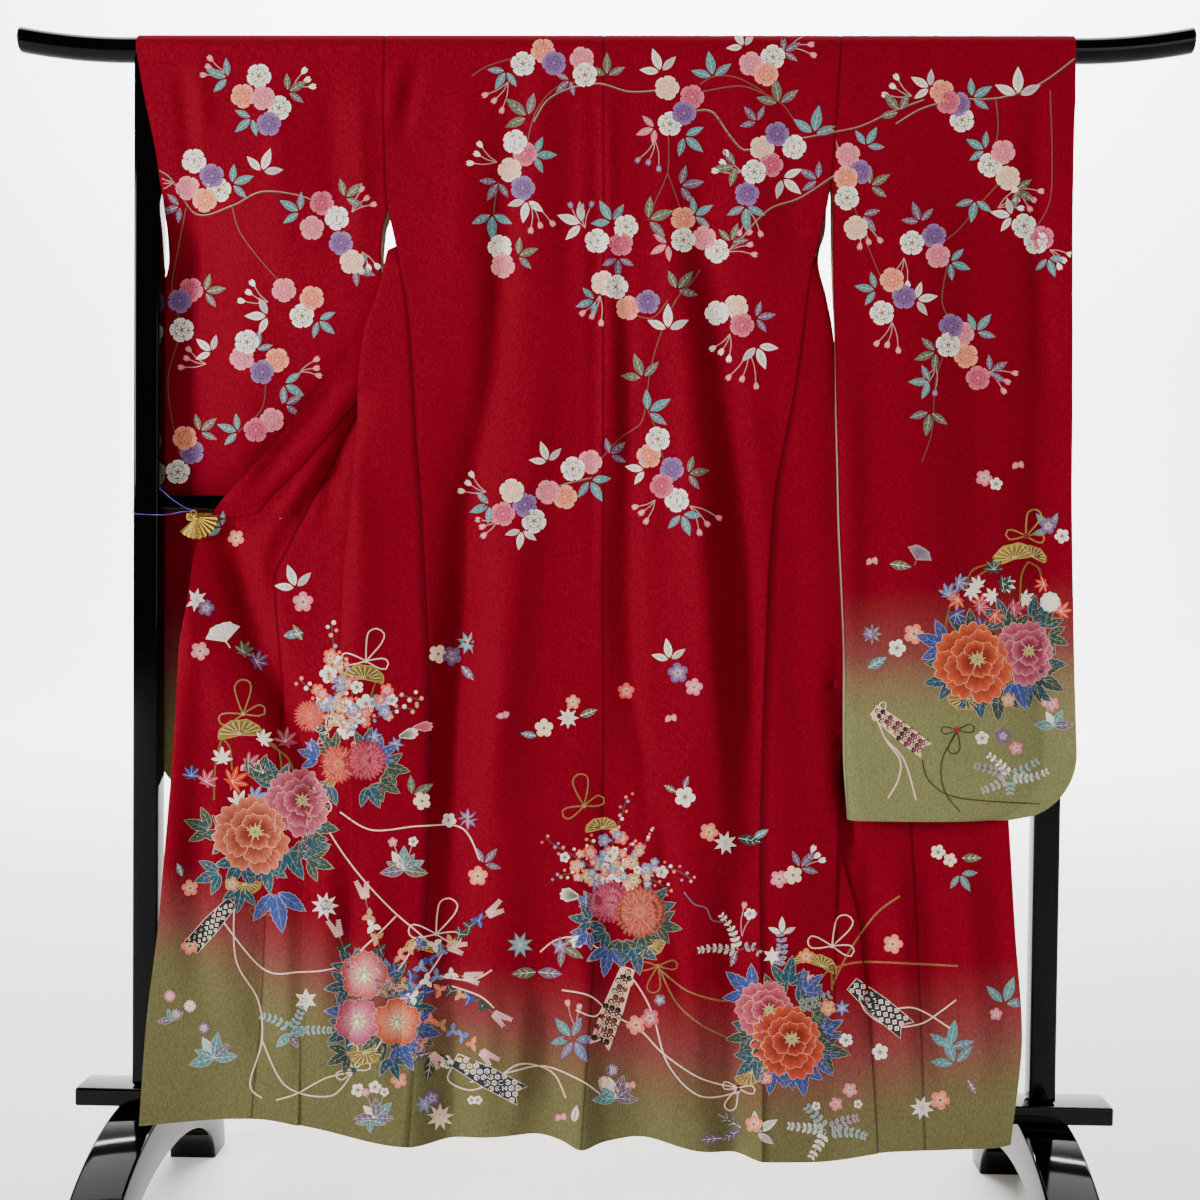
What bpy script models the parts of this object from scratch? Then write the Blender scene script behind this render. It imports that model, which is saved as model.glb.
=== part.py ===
"""A long-sleeved furisode hung from the top rail of a two-post kimono stand, its back to the viewer.

Metres, +Z up. The viewer is on the -Y side, so the back of the garment faces -Y.
The origin is on the floor under the middle of the stand.
"""

from math import cos, hypot, pi, radians, sin

import bmesh
import bpy
import numpy as np

# Stand
RAIL_HEIGHT = 1.675
RAIL_RADIUS = 0.018
RAIL_HALF = 0.8265
RAIL_END_BEND = 0.160
RAIL_END_LIFT = 0.015
POST_X = 0.640
POST_WIDTH = 0.037
POST_TOP_DROP = 0.008
CROSSBAR_HEIGHT = 1.033
CROSSBAR_TALL = 0.022
BEAM_HALF = 0.736
BEAM_DEPTH = 0.067
BEAM_TOP = 0.196
BEAM_TALL = 0.026
FOOT_WIDTH = 0.072
FOOT_HALF_SPAN = 0.315
FOOT_THICK = 0.070
GAP = 0.0003

# Cloth
CLOTH = 0.0018
SEAM = 0.0003
DRAPE_RADIUS = 0.0200
RIDGE = 0.015
HEM = 0.150
HEM_BLEND = 0.350
SIDE_SEAM_TOP = 1.375
ARMHOLE_END = 1.455
STRIP_TOP = 1.395
COLLAR_WIDE = 0.056
COLLAR_SEAM = 0.0009
COLLAR_COLUMNS = 7
OKUMI_TOP = 1.400
SLEEVE_BOTTOM = 0.602
SLEEVE_ROUND = 0.095
SLEEVE_CLOSING = 0.080
SHUT = (CLOTH + SEAM) / 2

# Clip that holds the pulled front to the left post
CLIP_HEIGHT = 1.012
CLIP_X = -0.559
FAN_RADIUS = 0.030
FAN_PLEATS = 9
FAN_THICK = 0.0018
CORD_DIAMETER = 0.0010

# Angle round the rail, in degrees, of the rows of cloth that lie on it
RAIL_ROWS = (0, 30, 60, 90)

# Heights of the rows of cloth below the rail
BODY_ROWS = (1.63, 1.58, 1.54, 1.50, 1.455, 1.42, 1.38, 1.33, 1.28, 1.22, 1.155, 1.09, 1.018, 1.008,
             0.955, 0.945, 0.90, 0.82, 0.70, 0.58, 0.45, 0.33, 0.23, 0.15)
SLEEVE_ROWS = (1.63, 1.60, 1.58, 1.54, 1.52, 1.50, 1.455, 1.42, 1.38, 1.33, 1.28, 1.22, 1.155, 1.09, 1.018, 0.90,
               0.80, 0.70, 0.665, 0.635, 0.614, SLEEVE_BOTTOM)


def table(columns, *rows):
    """Return one array for each named column, with the rows sorted upwards by the first column."""
    data = np.array(sorted(rows), float)
    return {name: data[:, i] for i, name in enumerate(columns.split())}


# Seams of the body: x of the left side, centre back and right side at each height
SEAMS = table(
    "z      left    centre  right",
    (1.675, -0.303, 0.005, 0.336),
    (1.600, -0.303, 0.006, 0.332),
    (1.506, -0.300, 0.007, 0.326),
    (1.455, -0.297, 0.008, 0.3185),
    (1.417, -0.288, 0.008, 0.311),
    (1.360, -0.276, 0.008, 0.297),
    (1.301, -0.265, 0.009, 0.290),
    (1.207, -0.256, 0.010, 0.278),
    (1.116, -0.250, 0.011, 0.262),
    (1.044, -0.243, 0.012, 0.250),
    (0.905, -0.234, 0.013, 0.242),
    (0.710, -0.225, 0.016, 0.237),
    (0.550, -0.225, 0.014, 0.235),
    (0.407, -0.230, 0.006, 0.237),
    (0.290, -0.239, 0.000, 0.240),
    (0.150, -0.247, -0.008, 0.241))

# Height of the hem at each x, for the body and both fronts
HEM_LINE = table(
    "x       z",
    (-0.620, 0.176),
    (-0.544, 0.178),
    (-0.460, 0.180),
    (-0.392, 0.170),
    (-0.247, 0.144),
    (-0.150, 0.154),
    (-0.080, 0.158),
    (-0.035, 0.152),
    (-0.008, 0.147),
    (0.020, 0.152),
    (0.072, 0.157),
    (0.156, 0.145),
    (0.241, 0.134),
    (0.321, 0.132),
    (0.417, 0.146),
    (0.500, 0.151),
    (0.560, 0.155),
    (0.600, 0.166))

# Depth of the flat back panels before their folds
BACK_DEPTH = table(
    "z      y",
    (1.675, -0.0200),
    (1.600, -0.0225),
    (1.530, -0.0250),
    (1.455, -0.0280),
    (1.360, -0.0320),
    (1.264, -0.0365),
    (1.155, -0.0430),
    (1.044, -0.0490),
    (0.905, -0.0560),
    (0.710, -0.0620),
    (0.500, -0.0680),
    (0.300, -0.0770),
    (0.150, -0.0870))

# Folds of the back: x high up and at the hem, width, how far it stands forward, where it starts and ends
BACK_FOLDS = (
    # high    low    wide   forward start  full   fades
    (-0.250, -0.250, 0.045, 0.018, 1.15, 0.20, 0.00),
    (-0.186, -0.196, 0.034, -0.018, 1.36, 0.80, 0.00),
    (-0.134, -0.120, 0.040, 0.009, 1.30, 0.80, 0.10),
    (0.032, 0.036, 0.026, -0.013, 1.34, 0.85, 0.25),
    (-0.075, -0.068, 0.034, -0.014, 0.60, 0.20, 0.00),
    (-0.006, -0.008, 0.020, 0.022, 0.62, 0.18, 0.00),
    (0.066, 0.070, 0.036, -0.013, 0.60, 0.20, 0.00),
    (0.130, 0.150, 0.038, 0.011, 1.25, 0.75, 0.00),
    (0.196, 0.204, 0.024, -0.017, 1.30, 0.75, 0.00),
    (0.248, 0.250, 0.030, 0.020, 1.00, 0.20, 0.00))

# Free upper side edge of each front, from the rail to the top of the side seam
SLIT_EDGE = table(
    "z      y       bulge",
    (1.675, 0.0200, 0.000),
    (1.620, 0.0215, 0.000),
    (1.570, 0.0195, 0.000),
    (1.520, 0.0165, 0.000),
    (1.455, 0.0080, 0.003),
    (1.420, -0.0100, 0.006),
    (1.380, -0.0270, 0.002))

# Plan of the left front at each height. From the side seam the cloth runs out to the turn e, back
# behind itself to the turn r, then out again past the collar seam c to the front edge f.
# y1, y2 and y3 are the depths of the three layers and yf that of the front edge.
LEFT_FRONT = table(
    "z      e       r       c       f       y1       y2       y3       yf",
    (1.675, -0.303, -0.088, -0.086, -0.034, 0.0200, 0.0200, 0.0205, 0.0240),
    (1.630, -0.303, -0.0945, -0.0930, -0.049, 0.0210, 0.0210, 0.0225, 0.0540),
    (1.580, -0.302, -0.0995, -0.1000, -0.104, 0.0200, 0.0200, 0.0270, 0.0810),
    (1.540, -0.300, -0.103, -0.122, -0.165, 0.0180, 0.0178, 0.0300, 0.0660),
    (1.500, -0.299, -0.107, -0.142, -0.196, 0.0150, 0.0146, 0.0280, 0.0460),
    (1.455, -0.297, -0.114, -0.163, -0.221, 0.0080, 0.0088, 0.0220, 0.0290),
    (1.420, -0.292, -0.118, -0.182, -0.240, -0.0080, 0.0030, 0.0150, 0.0150),
    (1.380, -0.299, -0.126, -0.204, -0.264, -0.0260, -0.0120, 0.0000, -0.0040),
    (1.330, -0.309, -0.150, -0.233, -0.296, -0.0320, -0.0220, -0.0120, -0.0165),
    (1.280, -0.326, -0.186, -0.260, -0.327, -0.0355, -0.0270, -0.0185, -0.0200),
    (1.220, -0.333, -0.216, -0.304, -0.373, -0.0400, -0.0310, -0.0220, -0.0260),
    (1.155, -0.336, -0.245, -0.354, -0.422, -0.0440, -0.0350, -0.0260, -0.0330),
    (1.090, -0.338, -0.270, -0.408, -0.475, -0.0480, -0.0390, -0.0300, -0.0390),
    (1.018, -0.341, -0.309, -0.473, -0.538, -0.0510, -0.0410, -0.0310, -0.0450),
    (0.955, -0.348, -0.332, -0.492, -0.563, -0.0530, -0.0430, -0.0340, -0.0480),
    (0.900, -0.350, -0.350, -0.498, -0.569, -0.0560, -0.0460, -0.0380, -0.0520),
    (0.820, -0.348, -0.352, -0.500, -0.580, -0.0620, -0.0560, -0.0500, -0.0570),
    (0.700, -0.342, -0.378, -0.500, -0.584, -0.0670, -0.0610, -0.0550, -0.0670),
    (0.580, -0.335, -0.398, -0.500, -0.590, -0.0720, -0.0680, -0.0640, -0.0800),
    (0.450, -0.335, -0.400, -0.505, -0.597, -0.0790, -0.0770, -0.0750, -0.0970),
    (0.300, -0.335, -0.400, -0.510, -0.609, -0.0900, -0.0900, -0.0900, -0.1150),
    (0.150, -0.335, -0.400, -0.520, -0.614, -0.1000, -0.1000, -0.1040, -0.1320))

RIGHT_FRONT = table(
    "z      e      r      c      f      y1       y2       y3       yf",
    (1.675, 0.336, 0.088, 0.086, 0.034, 0.0200, 0.0200, 0.0205, 0.0240),
    (1.630, 0.333, 0.0945, 0.0930, 0.049, 0.0210, 0.0210, 0.0225, 0.0540),
    (1.580, 0.331, 0.0995, 0.1000, 0.104, 0.0200, 0.0200, 0.0270, 0.0810),
    (1.540, 0.329, 0.103, 0.122, 0.162, 0.0180, 0.0178, 0.0300, 0.0660),
    (1.500, 0.325, 0.103, 0.137, 0.190, 0.0150, 0.0146, 0.0280, 0.0460),
    (1.455, 0.3225, 0.1075, 0.155, 0.213, 0.0080, 0.0088, 0.0220, 0.0290),
    (1.420, 0.318, 0.110, 0.170, 0.230, -0.0080, 0.0030, 0.0150, 0.0150),
    (1.380, 0.307, 0.118, 0.192, 0.253, -0.0260, -0.0140, 0.0000, -0.0020),
    (1.330, 0.318, 0.145, 0.224, 0.286, -0.0300, -0.0200, -0.0100, -0.0120),
    (1.280, 0.328, 0.164, 0.250, 0.308, -0.0330, -0.0240, -0.0155, -0.0180),
    (1.220, 0.334, 0.186, 0.288, 0.345, -0.0360, -0.0270, -0.0180, -0.0200),
    (1.155, 0.338, 0.2105, 0.330, 0.388, -0.0380, -0.0290, -0.0200, -0.0220),
    (1.090, 0.340, 0.236, 0.374, 0.430, -0.0400, -0.0310, -0.0220, -0.0240),
    (1.018, 0.343, 0.262, 0.420, 0.475, -0.0430, -0.0340, -0.0250, -0.0270),
    (0.955, 0.345, 0.281, 0.445, 0.508, -0.0460, -0.0370, -0.0280, -0.0290),
    (0.900, 0.348, 0.297, 0.460, 0.532, -0.0480, -0.0390, -0.0300, -0.0310),
    (0.820, 0.350, 0.313, 0.480, 0.557, -0.0500, -0.0410, -0.0320, -0.0330),
    (0.700, 0.348, 0.338, 0.490, 0.573, -0.0510, -0.0420, -0.0330, -0.0370),
    (0.580, 0.344, 0.344, 0.500, 0.582, -0.0540, -0.0465, -0.0390, -0.0450),
    (0.450, 0.340, 0.375, 0.500, 0.589, -0.0620, -0.0585, -0.0550, -0.0590),
    (0.300, 0.340, 0.390, 0.510, 0.598, -0.0740, -0.0740, -0.0710, -0.0740),
    (0.150, 0.340, 0.400, 0.510, 0.582, -0.0880, -0.0880, -0.0860, -0.0880))

# x of the seam between each front and its overlap panel
LEFT_OKUMI = table(
    "z      x",
    (1.400, -0.184),
    (1.360, -0.189),
    (1.280, -0.232),
    (1.220, -0.285),
    (1.157, -0.339),
    (1.086, -0.376),
    (1.038, -0.401),
    (0.974, -0.432),
    (0.925, -0.452),
    (0.827, -0.444),
    (0.727, -0.440),
    (0.605, -0.444),
    (0.510, -0.454),
    (0.315, -0.457),
    (0.150, -0.465))

RIGHT_OKUMI = table(
    "z      x",
    (1.400, 0.170),
    (1.360, 0.178),
    (1.264, 0.210),
    (1.155, 0.258),
    (1.044, 0.318),
    (0.905, 0.380),
    (0.800, 0.412),
    (0.700, 0.435),
    (0.589, 0.447),
    (0.451, 0.455),
    (0.150, 0.466))

# Sleeves: x of the body-side edge and of the outer edges, then the depth of each layer at both edges
LEFT_SLEEVE = table(
    "z      inner   near_x  far_x   near_in near_out far_in  far_out",
    (1.675, -0.303, -0.655, -0.655, -0.0200, -0.0200, 0.0200, 0.0200),
    (1.630, -0.303, -0.647, -0.647, -0.0215, -0.0215, 0.0214, 0.0215),
    (1.580, -0.303, -0.637, -0.637, -0.0232, -0.0225, 0.0198, 0.0225),
    (1.540, -0.302, -0.628, -0.628, -0.0246, -0.0225, 0.0178, 0.0225),
    (1.500, -0.300, -0.6218, -0.6216, -0.0262, -0.0212, 0.0142, 0.0212),
    (1.455, -0.301, -0.6185, -0.6185, -0.0280, -0.0060, 0.0080, -0.0039),
    (1.420, -0.303, -0.6185, -0.6185, -0.0250, 0.0130, 0.0080, 0.0151),
    (1.380, -0.306, -0.6190, -0.6190, -0.0200, 0.0226, 0.0080, 0.0247),
    (1.330, -0.304, -0.6320, -0.6320, -0.0110, 0.0228, 0.0120, 0.0249),
    (1.280, -0.303, -0.6400, -0.6400, -0.0050, 0.0230, 0.0170, 0.0251),
    (1.220, -0.303, -0.6400, -0.6400, -0.0010, 0.0230, 0.0210, 0.0251),
    (1.155, -0.303, -0.6400, -0.6400, 0.0070, 0.0230, 0.0270, 0.0251),
    (1.090, -0.303, -0.6400, -0.6400, 0.0140, 0.0230, 0.0330, 0.0251),
    (1.018, -0.303, -0.6400, -0.6400, 0.0170, 0.0230, 0.0370, 0.0251),
    (0.900, -0.303, -0.6400, -0.6400, 0.0160, 0.0230, 0.0380, 0.0251),
    (0.800, -0.302, -0.6400, -0.6400, 0.0150, 0.0230, 0.0380, 0.0251),
    (SLEEVE_BOTTOM, -0.300, -0.6400, -0.6400, 0.0140, 0.0225, 0.0300, 0.0246))

RIGHT_SLEEVE = table(
    "z      inner  near_x  far_x   near_in near_out far_in  far_out",
    (1.675, 0.337, 0.6600, 0.6560, -0.0200, -0.0200, 0.0200, 0.0200),
    (1.630, 0.334, 0.6600, 0.6400, -0.0215, -0.0215, 0.0214, 0.0215),
    (1.600, 0.332, 0.6600, 0.6200, -0.0225, -0.0222, 0.0206, 0.0210),
    (1.580, 0.331, 0.6590, 0.6130, -0.0232, -0.0225, 0.0198, 0.0130),
    (1.540, 0.329, 0.6585, 0.6130, -0.0246, -0.0232, 0.0178, -0.0130),
    (1.520, 0.328, 0.6580, 0.6190, -0.0254, -0.0236, 0.0165, -0.0210),
    (1.500, 0.327, 0.6580, 0.6350, -0.0262, -0.0240, 0.0142, -0.0215),
    (1.455, 0.326, 0.6575, 0.6575, -0.0300, -0.0246, 0.0060, -0.0225),
    (1.380, 0.326, 0.6570, 0.6570, -0.0390, -0.0290, -0.0130, -0.0269),
    (1.330, 0.327, 0.6570, 0.6570, -0.0455, -0.0320, -0.0270, -0.0299),
    (1.280, 0.329, 0.6575, 0.6575, -0.0520, -0.0350, -0.0390, -0.0329),
    (1.220, 0.330, 0.6575, 0.6575, -0.0600, -0.0380, -0.0460, -0.0359),
    (1.155, 0.331, 0.6580, 0.6580, -0.0670, -0.0410, -0.0510, -0.0389),
    (1.090, 0.333, 0.6580, 0.6580, -0.0740, -0.0430, -0.0560, -0.0409),
    (1.018, 0.335, 0.6590, 0.6590, -0.0800, -0.0450, -0.0600, -0.0429),
    (0.900, 0.341, 0.6620, 0.6620, -0.0850, -0.0480, -0.0670, -0.0459),
    (0.800, 0.346, 0.6660, 0.6660, -0.0870, -0.0490, -0.0690, -0.0469),
    (0.700, 0.348, 0.6710, 0.6710, -0.0850, -0.0500, -0.0690, -0.0479),
    (SLEEVE_BOTTOM, 0.355, 0.6740, 0.6740, -0.0800, -0.0500, -0.0680, -0.0479))

# Route of the clip's cord: from the ring, round the left post and back to the ring
CORD_ROUTE = (
    (-0.5650, -0.0520, 1.0200),
    (-0.5800, -0.0485, 1.0195),
    (-0.6050, -0.0340, 1.0155),
    (-0.6300, -0.0215, 1.0155),
    (-0.6450, -0.0196, 1.0160),
    (-0.6570, -0.0196, 1.0170),
    (-0.6594, -0.0180, 1.0180),
    (-0.6594, 0.0000, 1.0260),
    (-0.6594, 0.0180, 1.0360),
    (-0.6570, 0.0196, 1.0380),
    (-0.6400, 0.0196, 1.0460),
    (-0.6230, 0.0196, 1.0540),
    (-0.6203, 0.0180, 1.0550),
    (-0.6203, 0.0000, 1.0560),
    (-0.6203, -0.0180, 1.0540),
    (-0.6150, -0.0240, 1.0500),
    (-0.5960, -0.0390, 1.0370),
    (-0.5760, -0.0505, 1.0260),
    (-0.5660, -0.0525, 1.0225))


def read(rows, column, key, key_column="z"):
    """Read a column of a table at a key between its rows, along a curve that doesn't overshoot."""
    keys = rows[key_column]
    values = rows[column]
    key = np.clip(np.asarray(key, float), keys[0], keys[-1])
    step = np.diff(keys)
    slope = np.diff(values) / step
    tangent = np.zeros(len(keys))
    tangent[0] = slope[0]
    tangent[-1] = slope[-1]
    before = slope[:-1]
    after = slope[1:]
    agree = before * after > 0
    both = np.where(agree, before + after, 1.0)
    tangent[1:-1] = np.where(agree, 2 * before * after / both, 0.0)
    i = np.clip(np.searchsorted(keys, key) - 1, 0, len(keys) - 2)
    t = (key - keys[i]) / step[i]
    return ((2 * t**3 - 3 * t**2 + 1) * values[i]
            + (t**3 - 2 * t**2 + t) * step[i] * tangent[i]
            + (3 * t**2 - 2 * t**3) * values[i + 1]
            + (t**3 - t**2) * step[i] * tangent[i + 1])


def ease(t):
    """Go smoothly from 0 to 1."""
    t = np.clip(t, 0.0, 1.0)
    return t * t * (3 - 2 * t)


def forward_of_folds(folds, x, z):
    """How far the folds push the cloth towards the viewer."""
    total = 0.0
    high = 1.2
    for x_high, x_low, wide, forward, start, full, fades in folds:
        along = (z - HEM) / (high - HEM)
        middle = x_low + (x_high - x_low) * np.clip(along, 0, 1)
        strength = ease((start - z) / (start - full))
        if fades > 0:
            strength = strength * ease((z - fades) / 0.25)
        total = total + forward * strength * np.exp(-((x - middle) / wide)**2)
    return total


def back_depth(x, z):
    return read(BACK_DEPTH, "y", z) - forward_of_folds(BACK_FOLDS, x, z)


def at_hem(x, z):
    """Height of a point of a row, eased onto the hem line low down."""
    low = ease((HEM + HEM_BLEND - z) / HEM_BLEND)
    return z + (read(HEM_LINE, "z", x, "x") - HEM) * low


def rail_rows(side):
    """Depth, height and outward direction of the rows that lie on the rail, from its top down."""
    rows = []
    for degrees in RAIL_ROWS:
        angle = max(radians(degrees), RIDGE)
        outward = np.array((0.0, side * sin(angle), cos(angle)))
        centre = np.array((0.0, 0.0, RAIL_HEIGHT))
        rows.append((centre + DRAPE_RADIUS * outward, outward))
    return rows


def hung_wall(name, heights, side, edges, depth, columns, finish):
    """A wall that hangs from the rail's top on one side, between two edges given at each height."""
    points = []
    outward = []
    share = np.linspace(0, 1, columns + 1)
    for on_rail, direction in rail_rows(side):
        left, right = edges(RAIL_HEIGHT)
        row = np.tile(on_rail, (columns + 1, 1))
        row[:, 0] = left + (right - left) * share
        points.append(row)
        outward.append(np.tile(direction, (columns + 1, 1)))
    for z in heights:
        left, right = edges(z)
        x = left + (right - left) * share
        points.append(np.stack([x, depth(x, z, share), at_hem(x, z) if heights is BODY_ROWS else x * 0 + z], 1))
        outward.append(np.tile((0.0, side, 0.0), (columns + 1, 1)))
    return wall(name, np.array(points), np.array(outward), finish)


def wall(name, middle, outward, finish):
    """A closed wall of cloth either side of a grid of points."""
    rows, columns = middle.shape[:2]
    outer = (middle + outward * CLOTH / 2).reshape(-1, 3)
    inner = (middle - outward * CLOTH / 2).reshape(-1, 3)
    count = rows * columns
    faces = []
    for r in range(rows - 1):
        for c in range(columns - 1):
            a = r * columns + c
            b = a + 1
            d = a + columns
            e = d + 1
            falling = np.linalg.norm(middle[r, c] - middle[r + 1, c + 1])
            rising = np.linalg.norm(middle[r, c + 1] - middle[r + 1, c])
            if rising < 0.9 * falling:
                halves = ((a, b, d), (b, e, d))
            else:
                halves = ((a, b, e), (a, e, d))
            for i, j, k in halves:
                faces.append((i, j, k))
                faces.append((count + k, count + j, count + i))
    border = [c for c in range(columns)]
    border += [r * columns + columns - 1 for r in range(1, rows)]
    border += [(rows - 1) * columns + c for c in range(columns - 2, -1, -1)]
    border += [r * columns for r in range(rows - 2, 0, -1)]
    for a, b in zip(border, border[1:] + border[:1]):
        faces.append((b, a, count + a, count + b))
    return add_mesh(name, np.vstack([outer, inner]), faces, finish)


def add_mesh(name, points, faces, finish, smooth_angle=40):
    mesh = bpy.data.meshes.new(name)
    mesh.from_pydata([tuple(p) for p in points], [], faces)
    body = bmesh.new()
    body.from_mesh(mesh)
    bmesh.ops.recalc_face_normals(body, faces=body.faces)
    body.to_mesh(mesh)
    body.free()
    mesh.shade_smooth()
    mesh.set_sharp_from_angle(angle=radians(smooth_angle))
    mesh.materials.append(finish)
    piece = bpy.data.objects.new(name, mesh)
    bpy.context.collection.objects.link(piece)
    return piece


def make_finish(name, colour, roughness, metallic=0.0):
    finish = bpy.data.materials.new(name)
    finish.use_nodes = True
    shader = finish.node_tree.nodes["Principled BSDF"]
    shader.inputs["Base Color"].default_value = (*colour, 1.0)
    shader.inputs["Roughness"].default_value = roughness
    shader.inputs["Metallic"].default_value = metallic
    return finish


def rounded_path(corners, largest):
    """Follow straight runs with each corner rounded off, as a dense list of plan points."""
    path = [corners[0]]
    for i in range(1, len(corners) - 1):
        before = corners[i - 1] - corners[i]
        after = corners[i + 1] - corners[i]
        reach = min(largest[i], 0.5 * hypot(*before), 0.5 * hypot(*after))
        if reach < 1e-6:
            path.append(corners[i])
            continue
        start = corners[i] + before / hypot(*before) * reach
        end = corners[i] + after / hypot(*after) * reach
        for t in np.linspace(0, 1, 9):
            path.append((1 - t)**2 * start + 2 * t * (1 - t) * corners[i] + t**2 * end)
    path.append(corners[-1])
    path = np.array(path)
    step = np.hypot(*np.diff(path, axis=0).T)
    keep = np.concatenate([[True], step > 1e-7])
    path = path[keep]
    length = np.concatenate([[0.0], np.cumsum(np.hypot(*np.diff(path, axis=0).T))])
    return path, length


class Front:
    """One front of the garment: its plan at any height, and the lengths along it to its seams."""

    def __init__(self, side, plan, okumi):
        self.side = side
        self.plan = plan
        self.okumi = okumi
        self.seam_column = "left" if side < 0 else "right"

    def side_edge(self, z):
        x = read(SEAMS, self.seam_column, z)
        if z > SIDE_SEAM_TOP:
            bulge = read(SLIT_EDGE, "bulge", z) if self.side > 0 else 0.0
            return np.array((x + bulge, read(SLIT_EDGE, "y", z)))
        return np.array((x, float(back_depth(x, z))))

    def row(self, z):
        """Path of the whole front at one height, with the lengths to its turns and seams."""
        e, r, c, f, y1, y2, y3, yf = (float(read(self.plan, k, z)) for k in "e r c f y1 y2 y3 yf".split())
        start = self.side_edge(z)
        start[0] += self.side * SEAM / 2
        if z > STRIP_TOP:
            e, y1 = start
        e = self.side * max(self.side * e, self.side * start[0])
        corners = [start, (e, y1), (e, y2), (r, y2), (r, y3), (c, y3), (f, yf)]
        corners = [np.array(p, float) for p in corners]
        path, length = rounded_path(corners, (0, 0.02, 0.02, 0.02, 0.02, 0.03, 0))
        marks = {}
        for name, corner in (("e1", 1), ("e2", 2), ("r1", 3), ("r2", 4), ("collar", 5)):
            marks[name] = self.length_near(path, length, corners[corner], marks)
        marks["okumi"] = self.length_at_x(path, length, marks["r2"], float(read(self.okumi, "x", z)))
        return path, length, marks

    def length_near(self, path, length, corner, found):
        """Length along the path to its point nearest to a corner, past the marks already found."""
        past = max(found.values(), default=0.0)
        ahead = length >= past - 1e-9
        distance = np.hypot(*(path - corner).T)
        distance[~ahead] = 9.0
        return float(length[int(np.argmin(distance))])

    def length_at_x(self, path, length, past, x):
        """Length to where the outermost layer, which runs away from the middle, reaches x."""
        ahead = length >= past
        return float(np.interp(self.side * x, self.side * path[ahead, 0], length[ahead]))

    def points(self, z, lengths):
        """Points and outward directions at the given lengths along the row."""
        path, length, marks = self.row(z)
        x = np.interp(lengths, length, path[:, 0])
        y = np.interp(lengths, length, path[:, 1])
        reach = 0.0015
        ahead = np.minimum(np.asarray(lengths) + reach, length[-1])
        behind = np.maximum(np.asarray(lengths) - reach, 0.0)
        run_x = np.interp(ahead, length, path[:, 0]) - np.interp(behind, length, path[:, 0])
        run_y = np.interp(ahead, length, path[:, 1]) - np.interp(behind, length, path[:, 1])
        size = np.hypot(run_x, run_y)
        turn = -self.side
        outward = np.stack([-turn * run_y / size, turn * run_x / size, 0 * x], 1)
        sewn_here = z >= ARMHOLE_END or z <= STRIP_TOP
        if lengths[0] == 0.0 and sewn_here:
            outward[0] = (0.0, np.sign(outward[0][1]), 0.0)
        return np.stack([x, y, at_hem(x, z)], 1), outward


def spaced(marks, counts, least=0.0012):
    """Lengths that divide each stretch between marks evenly, none closer than the least spacing."""
    steps = []
    for start, end, count in zip(marks, marks[1:], counts):
        steps += [max((end - start) / count, least)] * count
    places = np.concatenate([[0.0], np.cumsum(steps)])
    return marks[0] + places * (marks[-1] - marks[0]) / places[-1]


def front_rows(front, z):
    """Lengths at which the body piece of a front starts, turns and ends."""
    path, length, marks = front.row(z)
    end = marks["okumi"] - SEAM / 2 if z < OKUMI_TOP else marks["collar"] - COLLAR_SEAM / 2
    turns = [0.0, marks["e1"], marks["e2"], marks["r1"], marks["r2"], end]
    return spaced(turns, (2, 3, 3, 3, 4))


def build_front(front, name, finish):
    points = []
    outward = []
    for on_rail, direction in rail_rows(1):
        start = front.side_edge(RAIL_HEIGHT)[0] + front.side * SEAM / 2
        end = float(read(front.plan, "c", RAIL_HEIGHT)) + front.side * COLLAR_SEAM / 2
        lengths = front_rows(front, RAIL_HEIGHT)
        row = np.tile(on_rail, (len(lengths), 1))
        row[:, 0] = start + (end - start) * lengths / lengths[-1]
        points.append(row)
        outward.append(np.tile(direction, (len(lengths), 1)))
    for z in BODY_ROWS:
        row, direction = front.points(z, front_rows(front, z))
        points.append(row)
        outward.append(direction)
    return wall(name, np.array(points), np.array(outward), finish)


def build_okumi(front, name, collar_end, finish):
    """The overlap panel: a wedge beside the collar high up, and the front edge below its end."""
    points = []
    outward = []
    for z in [z for z in BODY_ROWS if z < OKUMI_TOP]:
        path, length, marks = front.row(z)
        beside_collar = z >= collar_end
        end = marks["collar"] - COLLAR_SEAM / 2 if beside_collar else length[-1]
        lengths = np.linspace(marks["okumi"] + SEAM / 2, end, 7)
        row, direction = front.points(z, lengths)
        points.append(row)
        outward.append(direction)
    return wall(name, np.array(points), np.array(outward), finish)


def collar_side(front, collar_end):
    """Rows of the collar on one side, from its lower end up to the rail."""
    rows = []
    heights = [z for z in BODY_ROWS if z >= collar_end]
    for z in reversed(heights):
        path, length, marks = front.row(z)
        lengths = np.linspace(marks["collar"] + COLLAR_SEAM / 2, length[-1], COLLAR_COLUMNS)
        row, direction = front.points(z, lengths)
        if z == heights[-1]:
            drop = next_row_below(z) - z
            row[:, 2] += drop * np.linspace(0, 1, COLLAR_COLUMNS) + 0.0015
        rows.append((row, direction))
    return rows


def next_row_below(z):
    return BODY_ROWS[BODY_ROWS.index(z) + 1]


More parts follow.
